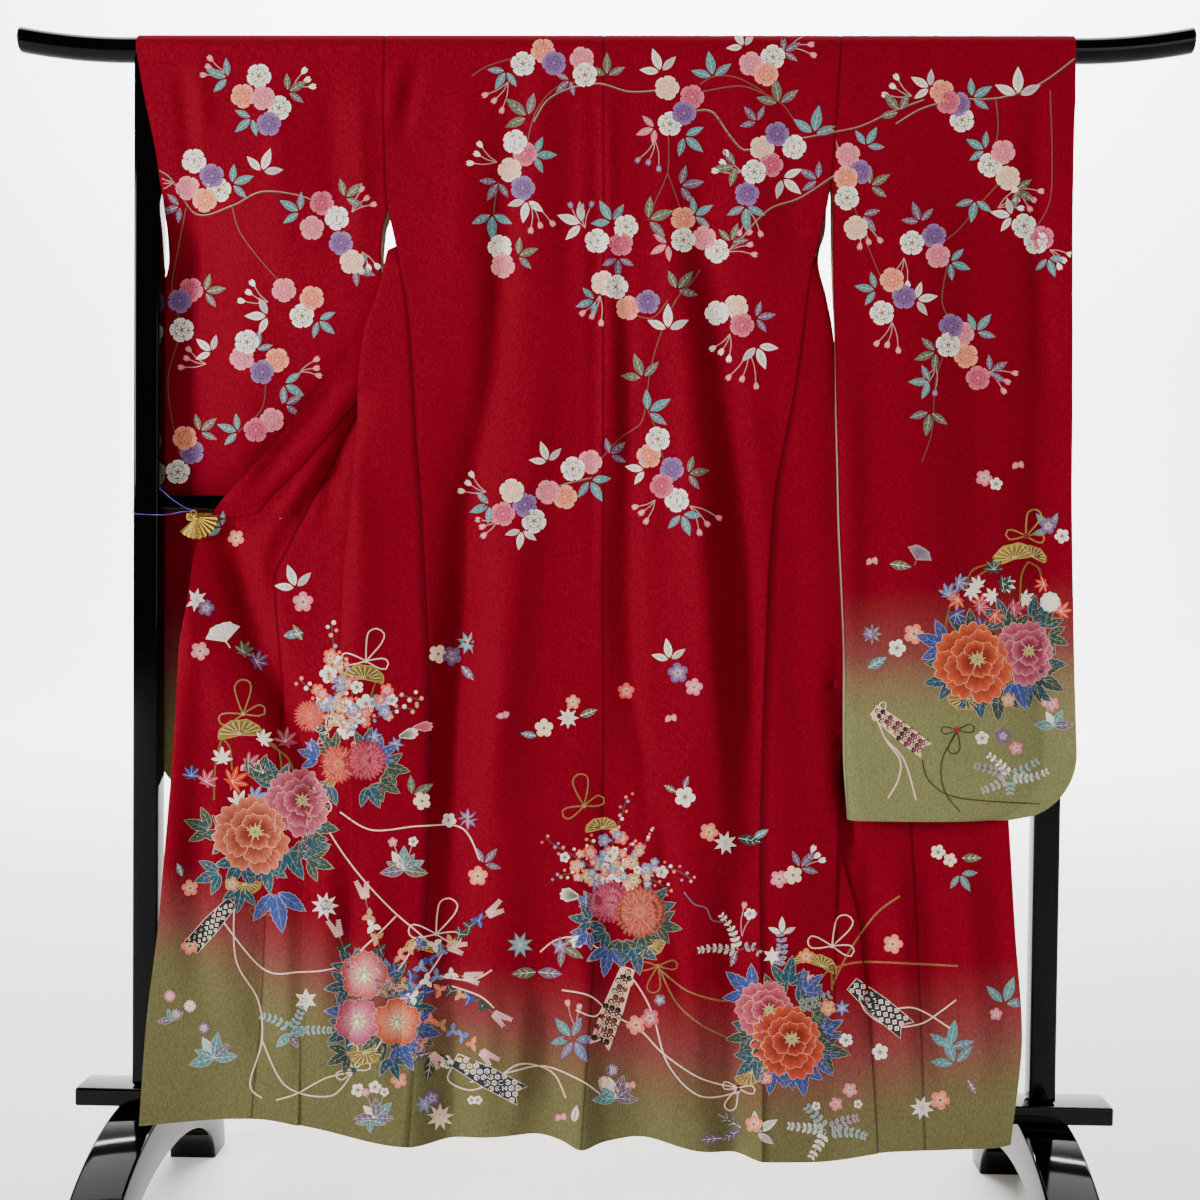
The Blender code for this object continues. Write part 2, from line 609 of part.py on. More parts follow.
def collar_over_rail(front, top_row):
    """Rows that fan from the last level row of one side round to the back of the neck."""
    rows = []
    quarter = DRAPE_RADIUS * pi / 2
    level = top_row[-1]
    first_free = np.array((level[0], quarter + RAIL_HEIGHT - level[2], level[1] - DRAPE_RADIUS))
    last_free = np.array((front.side * 0.041, COLLAR_WIDE, 0.006))
    seam_x = float(read(front.plan, "c", RAIL_HEIGHT))
    for step, degrees in enumerate(reversed(RAIL_ROWS)):
        share = (step + 1) / len(RAIL_ROWS)
        angle = max(radians(degrees), RIDGE)
        free = first_free + (last_free - first_free) * share
        fixed = np.array((seam_x - front.side * COLLAR_SEAM / 2, angle * DRAPE_RADIUS, 0.0))
        rows.append(unrolled(fixed, free))
    return rows


def unrolled(fixed, free):
    """A row of the collar given by x, length down from the rail's top, and how far it stands off."""
    points = []
    outward = []
    quarter = DRAPE_RADIUS * pi / 2
    for share in np.linspace(0, 1, COLLAR_COLUMNS):
        x, down, off = fixed + (free - fixed) * share
        angle = min(down / DRAPE_RADIUS, pi / 2)
        direction = np.array((0.0, sin(angle), cos(angle)))
        centre = np.array((x, 0.0, RAIL_HEIGHT - max(down - quarter, 0.0)))
        points.append(centre + direction * (DRAPE_RADIUS + off))
        outward.append(direction)
    return np.array(points), np.array(outward)


def build_collar(left, right, left_end, right_end, finish):
    left_rows = collar_side(left, left_end)
    right_rows = collar_side(right, right_end)
    left_rows += collar_over_rail(left, left_rows[-1][0])
    right_rows += collar_over_rail(right, right_rows[-1][0])
    neck = []
    for share in np.linspace(0, 1, 7)[1:-1]:
        fixed = left_rows[-1][0][0] * (1 - share) + right_rows[-1][0][0] * share
        free_x = left_rows[-1][0][-1][0] * (1 - share) + right_rows[-1][0][-1][0] * share
        neck.append(unrolled(np.array((fixed[0], RIDGE * DRAPE_RADIUS, 0.0)),
                             np.array((free_x, COLLAR_WIDE, 0.004))))
    rows = left_rows + neck + right_rows[::-1]
    points = np.array([row for row, direction in rows])
    outward = np.array([direction for row, direction in rows])
    return wall("collar", points, outward, finish)


def build_sleeve(name, side, rows, armhole_end, layer, finish):
    """One layer of a sleeve: the near one hangs before the rail and the far one behind it."""
    facing = -1 if layer == "near" else 1
    seam_column = "left" if side < 0 else "right"

    def edges(z):
        outer = float(read(rows, layer + "_x", z))
        low = SLEEVE_BOTTOM + SLEEVE_ROUND - z
        if low > 0:
            outer -= side * (SLEEVE_ROUND - (SLEEVE_ROUND**2 - low**2)**0.5)
        joined = z >= armhole_end - 1e-9
        bulge = read(SLIT_EDGE, "bulge", z) if side > 0 and layer == "far" else 0.0
        seam = float(read(SEAMS, seam_column, z) + bulge)
        inner = seam + side * 1.5 * SEAM if joined else float(read(rows, "inner", z))
        return inner, outer

    def depth(x, z, share):
        bend = 1 - np.minimum(share / 0.86, 1)**4
        near = read(rows, "near_out", z) + (read(rows, "near_in", z) - read(rows, "near_out", z)) * bend
        far = read(rows, "far_out", z) + (read(rows, "far_in", z) - read(rows, "far_out", z)) * bend
        open_here = ease((z - SLEEVE_BOTTOM) / SLEEVE_CLOSING)
        half = SHUT + ((far - near) / 2 - SHUT) * open_here
        return (near + far) / 2 + facing * half

    return hung_wall(name, SLEEVE_ROWS, facing, edges, depth, 8, finish)


def build_back(name, left_column, right_column, finish):
    def edges(z):
        left = float(read(SEAMS, left_column, z)) + SEAM / 2
        right = float(read(SEAMS, right_column, z)) - SEAM / 2
        return left, right

    return hung_wall(name, BODY_ROWS, -1, edges, lambda x, z, share: back_depth(x, z), 11, finish)


def rounded_bar(name, low, high, radius, finish, segments=2):
    """A straight bar with all its edges rounded."""
    mesh = bpy.data.meshes.new(name)
    body = bmesh.new()
    bmesh.ops.create_cube(body, size=1.0)
    low = np.array(low)
    high = np.array(high)
    for v in body.verts:
        for axis in range(3):
            v.co[axis] = high[axis] if v.co[axis] > 0 else low[axis]
    bmesh.ops.bevel(body, geom=body.edges[:], offset=radius, segments=segments, profile=0.5, affect="EDGES")
    bmesh.ops.recalc_face_normals(body, faces=body.faces)
    body.to_mesh(mesh)
    body.free()
    mesh.shade_smooth()
    mesh.set_sharp_from_angle(angle=radians(50))
    mesh.materials.append(finish)
    piece = bpy.data.objects.new(name, mesh)
    bpy.context.collection.objects.link(piece)
    return piece


def ring_tube(name, centres, radii, sides, finish):
    """A round bar through rings that all face along X, with flat ends."""
    points = []
    faces = []
    for (x, y, z), radius in zip(centres, radii):
        for k in range(sides):
            angle = 2 * pi * k / sides
            points.append((x, y + radius * cos(angle), z + radius * sin(angle)))
    for ring in range(len(centres) - 1):
        for k in range(sides):
            a = ring * sides + k
            b = ring * sides + (k + 1) % sides
            faces.append((a, b, b + sides, a + sides))
    faces.append(tuple(range(sides)))
    last = (len(centres) - 1) * sides
    faces.append(tuple(last + k for k in reversed(range(sides))))
    return add_mesh(name, points, faces, finish)


def build_top_rail(finish):
    """Round rail whose ends sweep up a little outside the posts."""
    straight = RAIL_HALF - RAIL_END_BEND
    xs = [straight + RAIL_END_BEND * t for t in (0, 0.25, 0.5, 0.75, 0.985, 1.0)]
    xs = [-x for x in reversed(xs)] + xs
    centres = []
    radii = []
    for x in xs:
        beyond = max(abs(x) - straight, 0) / RAIL_END_BEND
        centres.append((x, 0.0, RAIL_HEIGHT + RAIL_END_LIFT * beyond**2))
        radii.append(RAIL_RADIUS if beyond < 0.99 else RAIL_RADIUS - 0.0025)
    return ring_tube("top_rail", centres, radii, 24, finish)


def build_post(name, side, finish):
    """Square post on the beam, hollowed at its top to seat the rail."""
    half = POST_WIDTH / 2
    x = side * POST_X
    top = RAIL_HEIGHT - POST_TOP_DROP
    post = rounded_bar(name, (x - half, -half, BEAM_TOP + GAP), (x + half, half, top), 0.004, finish)
    cutter = ring_tube(name + "_seat", [(x - 0.05, 0, RAIL_HEIGHT), (x + 0.05, 0, RAIL_HEIGHT)],
                       [RAIL_RADIUS + 2 * GAP] * 2, 24, finish)
    cutter.hide_render = True
    cutter.display_type = "WIRE"
    cut = post.modifiers.new("seat for the rail", "BOOLEAN")
    cut.operation = "DIFFERENCE"
    cut.object = cutter
    return post


def build_crossbar(finish):
    inner = POST_X - POST_WIDTH / 2 - GAP
    half = CROSSBAR_TALL / 2
    return rounded_bar("crossbar", (-inner, -half, CROSSBAR_HEIGHT - half),
                       (inner, half, CROSSBAR_HEIGHT + half), 0.004, finish)


def build_base_beam(finish):
    half = BEAM_DEPTH / 2
    return rounded_bar("base_beam", (-BEAM_HALF, -half, BEAM_TOP - BEAM_TALL),
                       (BEAM_HALF, half, BEAM_TOP), 0.003, finish)


def build_foot(name, side, finish):
    """Arched foot under the beam, running towards and away from the viewer."""
    crown = BEAM_TOP - BEAM_TALL - GAP
    steps = 24
    outline = []
    for k in range(steps + 1):
        angle = pi * k / steps
        outline.append((-FOOT_HALF_SPAN * cos(angle), crown * sin(angle)))
    for k in range(steps, -1, -1):
        angle = pi * k / steps
        outline.append((-(FOOT_HALF_SPAN - FOOT_THICK) * cos(angle), (crown - FOOT_THICK) * sin(angle)))
    count = len(outline)
    left = side * POST_X - FOOT_WIDTH / 2
    right = side * POST_X + FOOT_WIDTH / 2
    points = [(left, y, z) for y, z in outline] + [(right, y, z) for y, z in outline]
    faces = []
    for k in range(count):
        a = k
        b = (k + 1) % count
        faces.append((a, b, count + b, count + a))
    for k in range(steps):
        a = k
        b = k + 1
        c = count - 2 - k
        d = count - 1 - k
        faces.append((a, d, c, b))
        faces.append((count + a, count + b, count + c, count + d))
    foot = add_mesh(name, points, faces, finish)
    edge = foot.modifiers.new("eased edges", "BEVEL")
    edge.width = 0.004
    edge.segments = 1
    edge.limit_method = "ANGLE"
    edge.angle_limit = radians(50)
    return foot


def build_fan_clip(finish):
    """Folding-fan clip: a pleated fan before the cloth, bent round its edge to a jaw behind it."""
    front = -0.0503
    back = front + FAN_THICK
    start = radians(-137)
    end = radians(5)
    wave = 0.0011
    near = 0.005
    points = []
    steps = 2 * FAN_PLEATS
    for k in range(steps + 1):
        angle = start + (end - start) * k / steps
        fold = wave if k % 2 else -wave
        for radius, share in ((near, 0.2), (FAN_RADIUS * 0.96 if k % 2 else FAN_RADIUS, 1.0)):
            x = CLIP_X + radius * cos(angle)
            z = CLIP_HEIGHT + radius * sin(angle)
            points.append((x, front - wave + fold * share, z))
            points.append((x, back - wave + fold * share, z))
    faces = []
    for k in range(steps):
        a = 4 * k
        b = 4 * (k + 1)
        faces.append((a, a + 2, b + 2, b))
        faces.append((a + 1, b + 1, b + 3, a + 3))
        faces.append((a + 2, a + 3, b + 3, b + 2))
        faces.append((a, b, b + 1, a + 1))
    faces.append((0, 1, 3, 2))
    last = 4 * steps
    faces.append((last, last + 2, last + 3, last + 1))
    fan = add_mesh("fan_clip", points, faces, finish, 20)
    jaw = rounded_bar("fan_jaw", (-0.5725, front - 0.0006, CLIP_HEIGHT - 0.005),
                      (-0.5385, -0.0418, CLIP_HEIGHT + 0.006), 0.0004, finish, 1)
    slot = rounded_bar("fan_slot", (-0.5690, back + 0.0004, CLIP_HEIGHT - 0.02),
                       (-0.5310, -0.0434, CLIP_HEIGHT + 0.02), 0.0001, finish, 1)
    for tool in (jaw, slot):
        tool.hide_render = True
        tool.display_type = "WIRE"
    join = fan.modifiers.new("jaw", "BOOLEAN")
    join.operation = "UNION"
    join.object = jaw
    cut = fan.modifiers.new("room for the cloth", "BOOLEAN")
    cut.operation = "DIFFERENCE"
    cut.object = slot
    return fan


def build_clip_cord(finish):
    """Thin cord looped once round the post, both ends at the clip."""
    route = [np.array(p) for p in CORD_ROUTE]
    smooth = []
    for i in range(len(route) - 1):
        before = route[max(i - 1, 0)]
        after = route[min(i + 2, len(route) - 1)]
        for t in (0.0, 0.5):
            smooth.append(0.5 * (2 * route[i] + (route[i + 1] - before) * t
                                 + (2 * before - 5 * route[i] + 4 * route[i + 1] - after) * t**2
                                 + (3 * route[i] - before - 3 * route[i + 1] + after) * t**3))
    smooth.append(route[-1])
    curve = bpy.data.curves.new("clip_cord", "CURVE")
    curve.dimensions = "3D"
    curve.bevel_depth = CORD_DIAMETER / 2
    curve.bevel_resolution = 2
    curve.use_fill_caps = True
    spline = curve.splines.new("POLY")
    spline.points.add(len(smooth) - 1)
    for point, place in zip(spline.points, smooth):
        point.co = (*place, 1.0)
    curve.materials.append(finish)
    cord = bpy.data.objects.new("clip_cord", curve)
    bpy.context.collection.objects.link(cord)
    return cord


def build_stand():
    lacquer = make_finish("black_lacquer", (0.010, 0.009, 0.009), 0.18)
    build_top_rail(lacquer)
    build_post("post_left", -1, lacquer)
    build_post("post_right", 1, lacquer)
    build_crossbar(lacquer)
    build_base_beam(lacquer)
    build_foot("foot_left", -1, lacquer)
    build_foot("foot_right", 1, lacquer)


def build_garment():
    crepe = make_finish("red_silk_crepe", (0.366, 0.004, 0.013), 0.62)
    left = Front(-1, LEFT_FRONT, LEFT_OKUMI)
    right = Front(1, RIGHT_FRONT, RIGHT_OKUMI)
    left_collar_end = 1.018
    right_collar_end = 0.955
    build_back("back_left", "left", "centre", crepe)
    build_back("back_right", "centre", "right", crepe)
    build_front(left, "front_left", crepe)
    build_front(right, "front_right", crepe)
    build_okumi(left, "okumi_left", left_collar_end, crepe)
    build_okumi(right, "okumi_right", right_collar_end, crepe)
    build_collar(left, right, left_collar_end, right_collar_end, crepe)
    for layer in ("near", "far"):
        build_sleeve("sleeve_left_" + layer, -1, LEFT_SLEEVE, 1.455, layer, crepe)
        build_sleeve("sleeve_right_" + layer, 1, RIGHT_SLEEVE, 1.50, layer, crepe)


def build_clip():
    brass = make_finish("gold_plate", (0.62, 0.42, 0.12), 0.25, 1.0)
    silk_cord = make_finish("violet_cord", (0.06, 0.02, 0.16), 0.6)
    build_fan_clip(brass)
    build_clip_cord(silk_cord)


def main():
    for piece in list(bpy.data.objects):
        bpy.data.objects.remove(piece)
    build_stand()
    build_garment()
    build_clip()


main()
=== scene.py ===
"""A red furisode on a black lacquered kimono stand, seen from the back.

Lengths are in metres, the viewer is on the -Y side and Z is up. Names ending in _MM are millimetres.
The pictures and the fine folds are placed where they show in a view of 1200 by 1200 points.
"""
from math import atan2, ceil, cos, degrees, hypot, pi, radians, sin

import bpy
import numpy as np
from mathutils import Matrix, Vector
from mathutils.bvhtree import BVHTree


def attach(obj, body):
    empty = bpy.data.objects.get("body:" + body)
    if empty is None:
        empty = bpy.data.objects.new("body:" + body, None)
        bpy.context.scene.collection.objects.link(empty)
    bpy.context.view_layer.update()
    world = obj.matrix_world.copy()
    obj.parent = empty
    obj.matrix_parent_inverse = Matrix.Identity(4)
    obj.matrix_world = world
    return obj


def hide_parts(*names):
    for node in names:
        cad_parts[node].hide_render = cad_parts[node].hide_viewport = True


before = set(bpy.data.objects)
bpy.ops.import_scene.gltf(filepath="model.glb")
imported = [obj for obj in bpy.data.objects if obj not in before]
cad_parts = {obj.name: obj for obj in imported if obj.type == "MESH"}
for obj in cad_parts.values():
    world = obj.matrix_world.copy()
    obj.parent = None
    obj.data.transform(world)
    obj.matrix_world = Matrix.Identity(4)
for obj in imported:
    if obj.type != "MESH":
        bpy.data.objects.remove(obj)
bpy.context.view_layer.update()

# Camera
CAMERA_PLACE = np.array((0.085, -2.487, 0.974))
CAMERA_YAW = -0.0314
CAMERA_PITCH = 0.0295
CAMERA_ROLL = 0.010
VIEW_POINTS = 1200
FOCAL_POINTS = 1750
SENSOR_MM = 36

# Sizes of the stand and the garment
RAIL_HEIGHT = 1.675
RAIL_RADIUS = 0.018
RAIL_HALF = 0.8265
RAIL_END_BEND = 0.160
RAIL_END_LIFT = 0.015
POST_X = 0.640
POST_WIDTH = 0.037
POST_TOP_DROP = 0.008
CROSSBAR_HEIGHT = 1.033
CROSSBAR_TALL = 0.022
BEAM_HALF = 0.736
BEAM_DEPTH = 0.067
BEAM_TOP = 0.196
BEAM_TALL = 0.026
FOOT_WIDTH = 0.072
FOOT_HALF_SPAN = 0.315
FOOT_THICK = 0.070
GAP = 0.0003
DRAPE_RADIUS = 0.0200
HEM = 0.150
HEM_BLEND = 0.350
SIDE_SEAM_TOP = 1.375
ARMHOLE_END = 1.455
RIGHT_ARMHOLE_END = 1.50
STRIP_TOP = 1.395
COLLAR_WIDE = 0.056
OKUMI_TOP = 1.400
SLEEVE_BOTTOM = 0.602
SLEEVE_ROUND = 0.095
SLEEVE_CLOSING = 0.080
CLIP_HEIGHT = 1.012
CLIP_X = -0.559

# Where the folds of the back stand in their first column, and the length over which they fade
FOLDS_HIGH = 1.2
FOLD_FADE = 0.25

# Reach of the rounding at a front's turns and at its collar seam
TURN_REACH = 0.02
COLLAR_REACH = 0.03

# Cloth: its thickness, the lap at seams, and half the distance between a sleeve's layers where it is
# sewn shut
CLOTH = 0.0012
LAP = 0.0003
SHUT = 0.00105

# Rows of the cloth: the drop to the first below the rail's top, their spacing, and degrees over the rail
FIRST_DROP = 0.005
ROW_STEP = 0.007
RAIL_STEP = 7.5

# Columns of each panel; those of a front are given between its turns
BACK_COLUMNS = 42
FRONT_COLUMNS = (8, 7, 18, 7, 20)
OKUMI_COLUMNS = 18
SLEEVE_COLUMNS = 44
COLLAR_COLUMNS = 12

# Seams: how deep they dip, how much darker the dye is painted there as shade in the dip, and how far from the
# seam both end
SEAM_DIP = 0.0008
SEAM_PAINTED_SHADE = 0.6
SEAM_EASE = 0.004

# Fine folds: how much deeper they are than their tables say, the least half width in view points of a
# hollow that the sleeve takes from the front before it, how far below the rail they set in, and the
# share of their run over which they taper at each end, down to which part of their depth
FOLD_DEPTH = 1.4
HOLLOW = 16
FOLDS_SET_IN = 0.06
FOLD_TAPER = 0.25
FOLD_END = 0.15

# Collar: slant of its ends, their heights, and how it stands round the neck: half width at the rail,
# how far it stands off there and at the back of the neck, and the rows between
COLLAR_SLANT = 0.010
LEFT_COLLAR_END = 1.018
RIGHT_COLLAR_END = 0.955
NECK_HALF = 0.041
COLLAR_OFF = 0.006
NECK_OFF = 0.004
NECK_ROWS = 26

# Sleeves: height over which their free edge joins the body, and the share of their width that bends
ARMHOLE_EASE = 0.035
BENDING_SHARE = 0.86

# Plates of the pictures: how far they stand over the silk and reach into it, the largest
# step they may bridge, and the least share of a plate that may show
PLATE_RISE = 0.0004
LAYER_RISE = 0.00005
PLATE_ROOT = 0.0003
PLATE_STEP = 7.5
LARGEST_STEP = 0.008
SCRAP = 0.3

# Folding fan of the clip: its pleats, its depth in the scene, how far the pleats stand, and half its
# thickness
FAN_FOLDS = 10
FAN_DEPTH = -0.0512
PLEAT = 0.0013
FAN_HALF_THICK = 0.0003

# Clip: depth of its pivot, and the lowest and highest corners of its jaw, neck and arm, with heights
# from the pivot; then the rounding of their edges
PIVOT_DEPTH = -0.0524
CLIP_JAW = ((-0.5725, -0.0436, -0.005), (-0.5385, -0.0424, 0.006))
CLIP_NECK = ((-0.5722, -0.0508, -0.004), (-0.5692, -0.0434, 0.005))
CLIP_ARM = ((-0.5722, -0.0512, -0.004), (-0.5570, -0.0502, 0.0035))
CLIP_EDGE = 0.0004

# Cord of the clip: its radius, and the middle and half length of its knot
CORD_RADIUS = 0.0006
KNOT_MIDDLE = np.array((-0.5652, -0.0522, 1.0210))
KNOT_HALF = 0.0018

# Flat cuts: width and length of each panel, and the area of the tapering overlap panel
BACK_CUT = (0.30, 1.56)
FRONT_CUT = (0.27, 1.56)
OKUMI_CUT = (0.15, 1.27)
OKUMI_AREA = 0.15
COLLAR_CUT = (0.056, 1.75)
SLEEVE_CUT = (0.34, 1.09)

# Paper: its near edge, its wall, the bend between them, its height and half its width
PAPER_NEAR = -9.0
PAPER_WALL = 9.0
PAPER_BEND = 2.5
PAPER_TOP = 10.0
PAPER_HALF = 12

# Lights: name, place, aim, size and power; then the strength of the light all round
LIGHTS = (
    ("key", (-5.1, -3.8, 2.4), (0, 0, 0.9), (1.4, 2.0), 450),
    ("fill", (3.0, -5.4, 1.6), (0, 0, 0.9), (2.4, 2.4), 70),
    ("backdrop", (0, 5.5, 6.0), (0, 9.0, 1.5), (9.0, 1.2), 2500),
    ("overhead", (0, 1.8, 5.0), (0, 1.8, 0), (6.0, 3.0), 400))
ALL_ROUND = 0.11

# Rounding of the stand's edges, and how many rings round each end of a bar
POST_EDGE = 0.0045
FOOT_EDGE = 0.004
CROSSBAR_EDGE = 0.004
BEAM_EDGE = 0.0035
END_RINGS = 5


def table(columns, *rows):
    """Return one array for each named column, with the rows sorted upwards by the first column."""
    data = np.array(sorted(rows), float)
    return {name: data[:, i] for i, name in enumerate(columns.split())}


# Seams of the body: x of the left side, centre back and right side at each height
SEAMS = table(
    "z      left    centre  right",
    (1.675, -0.303, 0.005, 0.336),
    (1.600, -0.303, 0.006, 0.332),
    (1.506, -0.300, 0.007, 0.326),
    (1.455, -0.297, 0.008, 0.3185),
    (1.417, -0.288, 0.008, 0.311),
    (1.360, -0.276, 0.008, 0.297),
    (1.301, -0.265, 0.009, 0.290),
    (1.207, -0.256, 0.010, 0.278),
    (1.116, -0.250, 0.011, 0.262),
    (1.044, -0.243, 0.012, 0.250),
    (0.905, -0.234, 0.013, 0.242),
    (0.710, -0.225, 0.016, 0.237),
    (0.550, -0.225, 0.014, 0.235),
    (0.407, -0.230, 0.006, 0.237),
    (0.290, -0.239, 0.000, 0.240),
    (0.150, -0.247, -0.008, 0.241))

# Height of the hem at each x, for the body and both fronts
HEM_LINE = table(
    "x       z",
    (-0.620, 0.176),
    (-0.544, 0.178),
    (-0.460, 0.180),
    (-0.392, 0.170),
    (-0.247, 0.144),
    (-0.150, 0.154),
    (-0.080, 0.158),
    (-0.035, 0.152),
    (-0.008, 0.147),
    (0.020, 0.152),
    (0.072, 0.157),
    (0.156, 0.145),
    (0.241, 0.134),
    (0.321, 0.132),
    (0.417, 0.146),
    (0.500, 0.151),
    (0.560, 0.155),
    (0.600, 0.166))

# Depth of the flat back panels before their folds
BACK_DEPTH = table(
    "z      y",
    (1.675, -0.0200),
    (1.600, -0.0225),
    (1.530, -0.0250),
    (1.455, -0.0280),
    (1.360, -0.0320),
    (1.264, -0.0365),
    (1.155, -0.0430),
    (1.044, -0.0490),
    (0.905, -0.0560),
    (0.710, -0.0620),
    (0.500, -0.0680),
    (0.300, -0.0770),
    (0.150, -0.0870))

# Folds of the back: x high up and at the hem, width, how far it stands forward, where it starts and ends
BACK_FOLDS = (
    # high    low    wide   forward start  full   fades
    (-0.250, -0.250, 0.045, 0.018, 1.15, 0.20, 0.00),
    (-0.186, -0.196, 0.034, -0.018, 1.36, 0.80, 0.00),
    (-0.134, -0.120, 0.040, 0.009, 1.30, 0.80, 0.10),
    (0.032, 0.036, 0.026, -0.013, 1.34, 0.85, 0.25),
    (-0.075, -0.068, 0.034, -0.014, 0.60, 0.20, 0.00),
    (-0.006, -0.008, 0.020, 0.022, 0.62, 0.18, 0.00),
    (0.066, 0.070, 0.036, -0.013, 0.60, 0.20, 0.00),
    (0.130, 0.150, 0.038, 0.011, 1.25, 0.75, 0.00),
    (0.196, 0.204, 0.024, -0.017, 1.30, 0.75, 0.00),
    (0.248, 0.250, 0.030, 0.020, 1.00, 0.20, 0.00))

# Free upper side edge of each front, from the rail to the top of the side seam
SLIT_EDGE = table(
    "z      y       bulge",
    (1.675, 0.0200, 0.000),
    (1.620, 0.0215, 0.000),
    (1.570, 0.0195, 0.000),
    (1.520, 0.0165, 0.000),
    (1.455, 0.0080, 0.003),
    (1.420, -0.0100, 0.006),
    (1.380, -0.0270, 0.002))

# Plan of the left front at each height. From the side seam the cloth runs out to the turn e, back
# behind itself to the turn r, then out again past the collar seam c to the front edge f.
# y1, y2 and y3 are the depths of the three layers and yf that of the front edge.
LEFT_FRONT = table(
    "z      e       r       c       f       y1       y2       y3       yf",
    (1.675, -0.303, -0.088, -0.086, -0.034, 0.0200, 0.0200, 0.0205, 0.0240),
    (1.630, -0.303, -0.0945, -0.0930, -0.049, 0.0210, 0.0210, 0.0225, 0.0540),
    (1.580, -0.302, -0.0995, -0.1000, -0.104, 0.0200, 0.0200, 0.0270, 0.0810),
    (1.540, -0.300, -0.103, -0.122, -0.165, 0.0180, 0.0178, 0.0300, 0.0660),
    (1.500, -0.299, -0.107, -0.142, -0.196, 0.0150, 0.0146, 0.0280, 0.0460),
    (1.455, -0.297, -0.114, -0.163, -0.221, 0.0080, 0.0088, 0.0220, 0.0290),
    (1.420, -0.292, -0.118, -0.182, -0.240, -0.0080, 0.0030, 0.0150, 0.0150),
    (1.380, -0.299, -0.126, -0.204, -0.264, -0.0260, -0.0120, 0.0000, -0.0040),
    (1.330, -0.309, -0.150, -0.233, -0.296, -0.0320, -0.0220, -0.0120, -0.0165),
    (1.280, -0.326, -0.186, -0.260, -0.327, -0.0355, -0.0270, -0.0185, -0.0200),
    (1.220, -0.333, -0.216, -0.304, -0.373, -0.0400, -0.0310, -0.0220, -0.0260),
    (1.155, -0.336, -0.245, -0.354, -0.422, -0.0440, -0.0350, -0.0260, -0.0330),
    (1.090, -0.338, -0.270, -0.408, -0.475, -0.0480, -0.0390, -0.0300, -0.0390),
    (1.018, -0.341, -0.309, -0.473, -0.538, -0.0510, -0.0410, -0.0310, -0.0450),
    (0.955, -0.348, -0.332, -0.492, -0.563, -0.0530, -0.0430, -0.0340, -0.0480),
    (0.900, -0.350, -0.350, -0.498, -0.569, -0.0560, -0.0460, -0.0380, -0.0520),
    (0.820, -0.348, -0.352, -0.500, -0.580, -0.0620, -0.0560, -0.0500, -0.0570),
    (0.700, -0.342, -0.378, -0.500, -0.584, -0.0670, -0.0610, -0.0550, -0.0670),
    (0.580, -0.335, -0.398, -0.500, -0.590, -0.0720, -0.0680, -0.0640, -0.0800),
    (0.450, -0.335, -0.400, -0.505, -0.597, -0.0790, -0.0770, -0.0750, -0.0970),
    (0.300, -0.335, -0.400, -0.510, -0.609, -0.0900, -0.0900, -0.0900, -0.1150),
    (0.150, -0.335, -0.400, -0.520, -0.614, -0.1000, -0.1000, -0.1040, -0.1320))

RIGHT_FRONT = table(
    "z      e      r      c      f      y1       y2       y3       yf",
    (1.675, 0.336, 0.088, 0.086, 0.034, 0.0200, 0.0200, 0.0205, 0.0240),
    (1.630, 0.333, 0.0945, 0.0930, 0.049, 0.0210, 0.0210, 0.0225, 0.0540),
    (1.580, 0.331, 0.0995, 0.1000, 0.104, 0.0200, 0.0200, 0.0270, 0.0810),
    (1.540, 0.329, 0.103, 0.122, 0.162, 0.0180, 0.0178, 0.0300, 0.0660),
    (1.500, 0.325, 0.103, 0.137, 0.190, 0.0150, 0.0146, 0.0280, 0.0460),
    (1.455, 0.3225, 0.1075, 0.155, 0.213, 0.0080, 0.0088, 0.0220, 0.0290),
    (1.420, 0.318, 0.110, 0.170, 0.230, -0.0080, 0.0030, 0.0150, 0.0150),
    (1.380, 0.307, 0.118, 0.192, 0.253, -0.0260, -0.0140, 0.0000, -0.0020),
    (1.330, 0.318, 0.145, 0.224, 0.286, -0.0300, -0.0200, -0.0100, -0.0120),
    (1.280, 0.328, 0.164, 0.250, 0.308, -0.0330, -0.0240, -0.0155, -0.0180),
    (1.220, 0.334, 0.186, 0.288, 0.345, -0.0360, -0.0270, -0.0180, -0.0200),
    (1.155, 0.338, 0.2105, 0.330, 0.388, -0.0380, -0.0290, -0.0200, -0.0220),
    (1.090, 0.340, 0.236, 0.374, 0.430, -0.0400, -0.0310, -0.0220, -0.0240),
    (1.018, 0.343, 0.262, 0.420, 0.475, -0.0430, -0.0340, -0.0250, -0.0270),
    (0.955, 0.345, 0.281, 0.445, 0.508, -0.0460, -0.0370, -0.0280, -0.0290),
    (0.900, 0.348, 0.297, 0.460, 0.532, -0.0480, -0.0390, -0.0300, -0.0310),
    (0.820, 0.350, 0.313, 0.480, 0.557, -0.0500, -0.0410, -0.0320, -0.0330),
    (0.700, 0.348, 0.338, 0.490, 0.573, -0.0510, -0.0420, -0.0330, -0.0370),
    (0.580, 0.344, 0.344, 0.500, 0.582, -0.0540, -0.0465, -0.0390, -0.0450),
    (0.450, 0.340, 0.375, 0.500, 0.589, -0.0620, -0.0585, -0.0550, -0.0590),
    (0.300, 0.340, 0.390, 0.510, 0.598, -0.0740, -0.0740, -0.0710, -0.0740),
    (0.150, 0.340, 0.400, 0.510, 0.582, -0.0880, -0.0880, -0.0860, -0.0880))

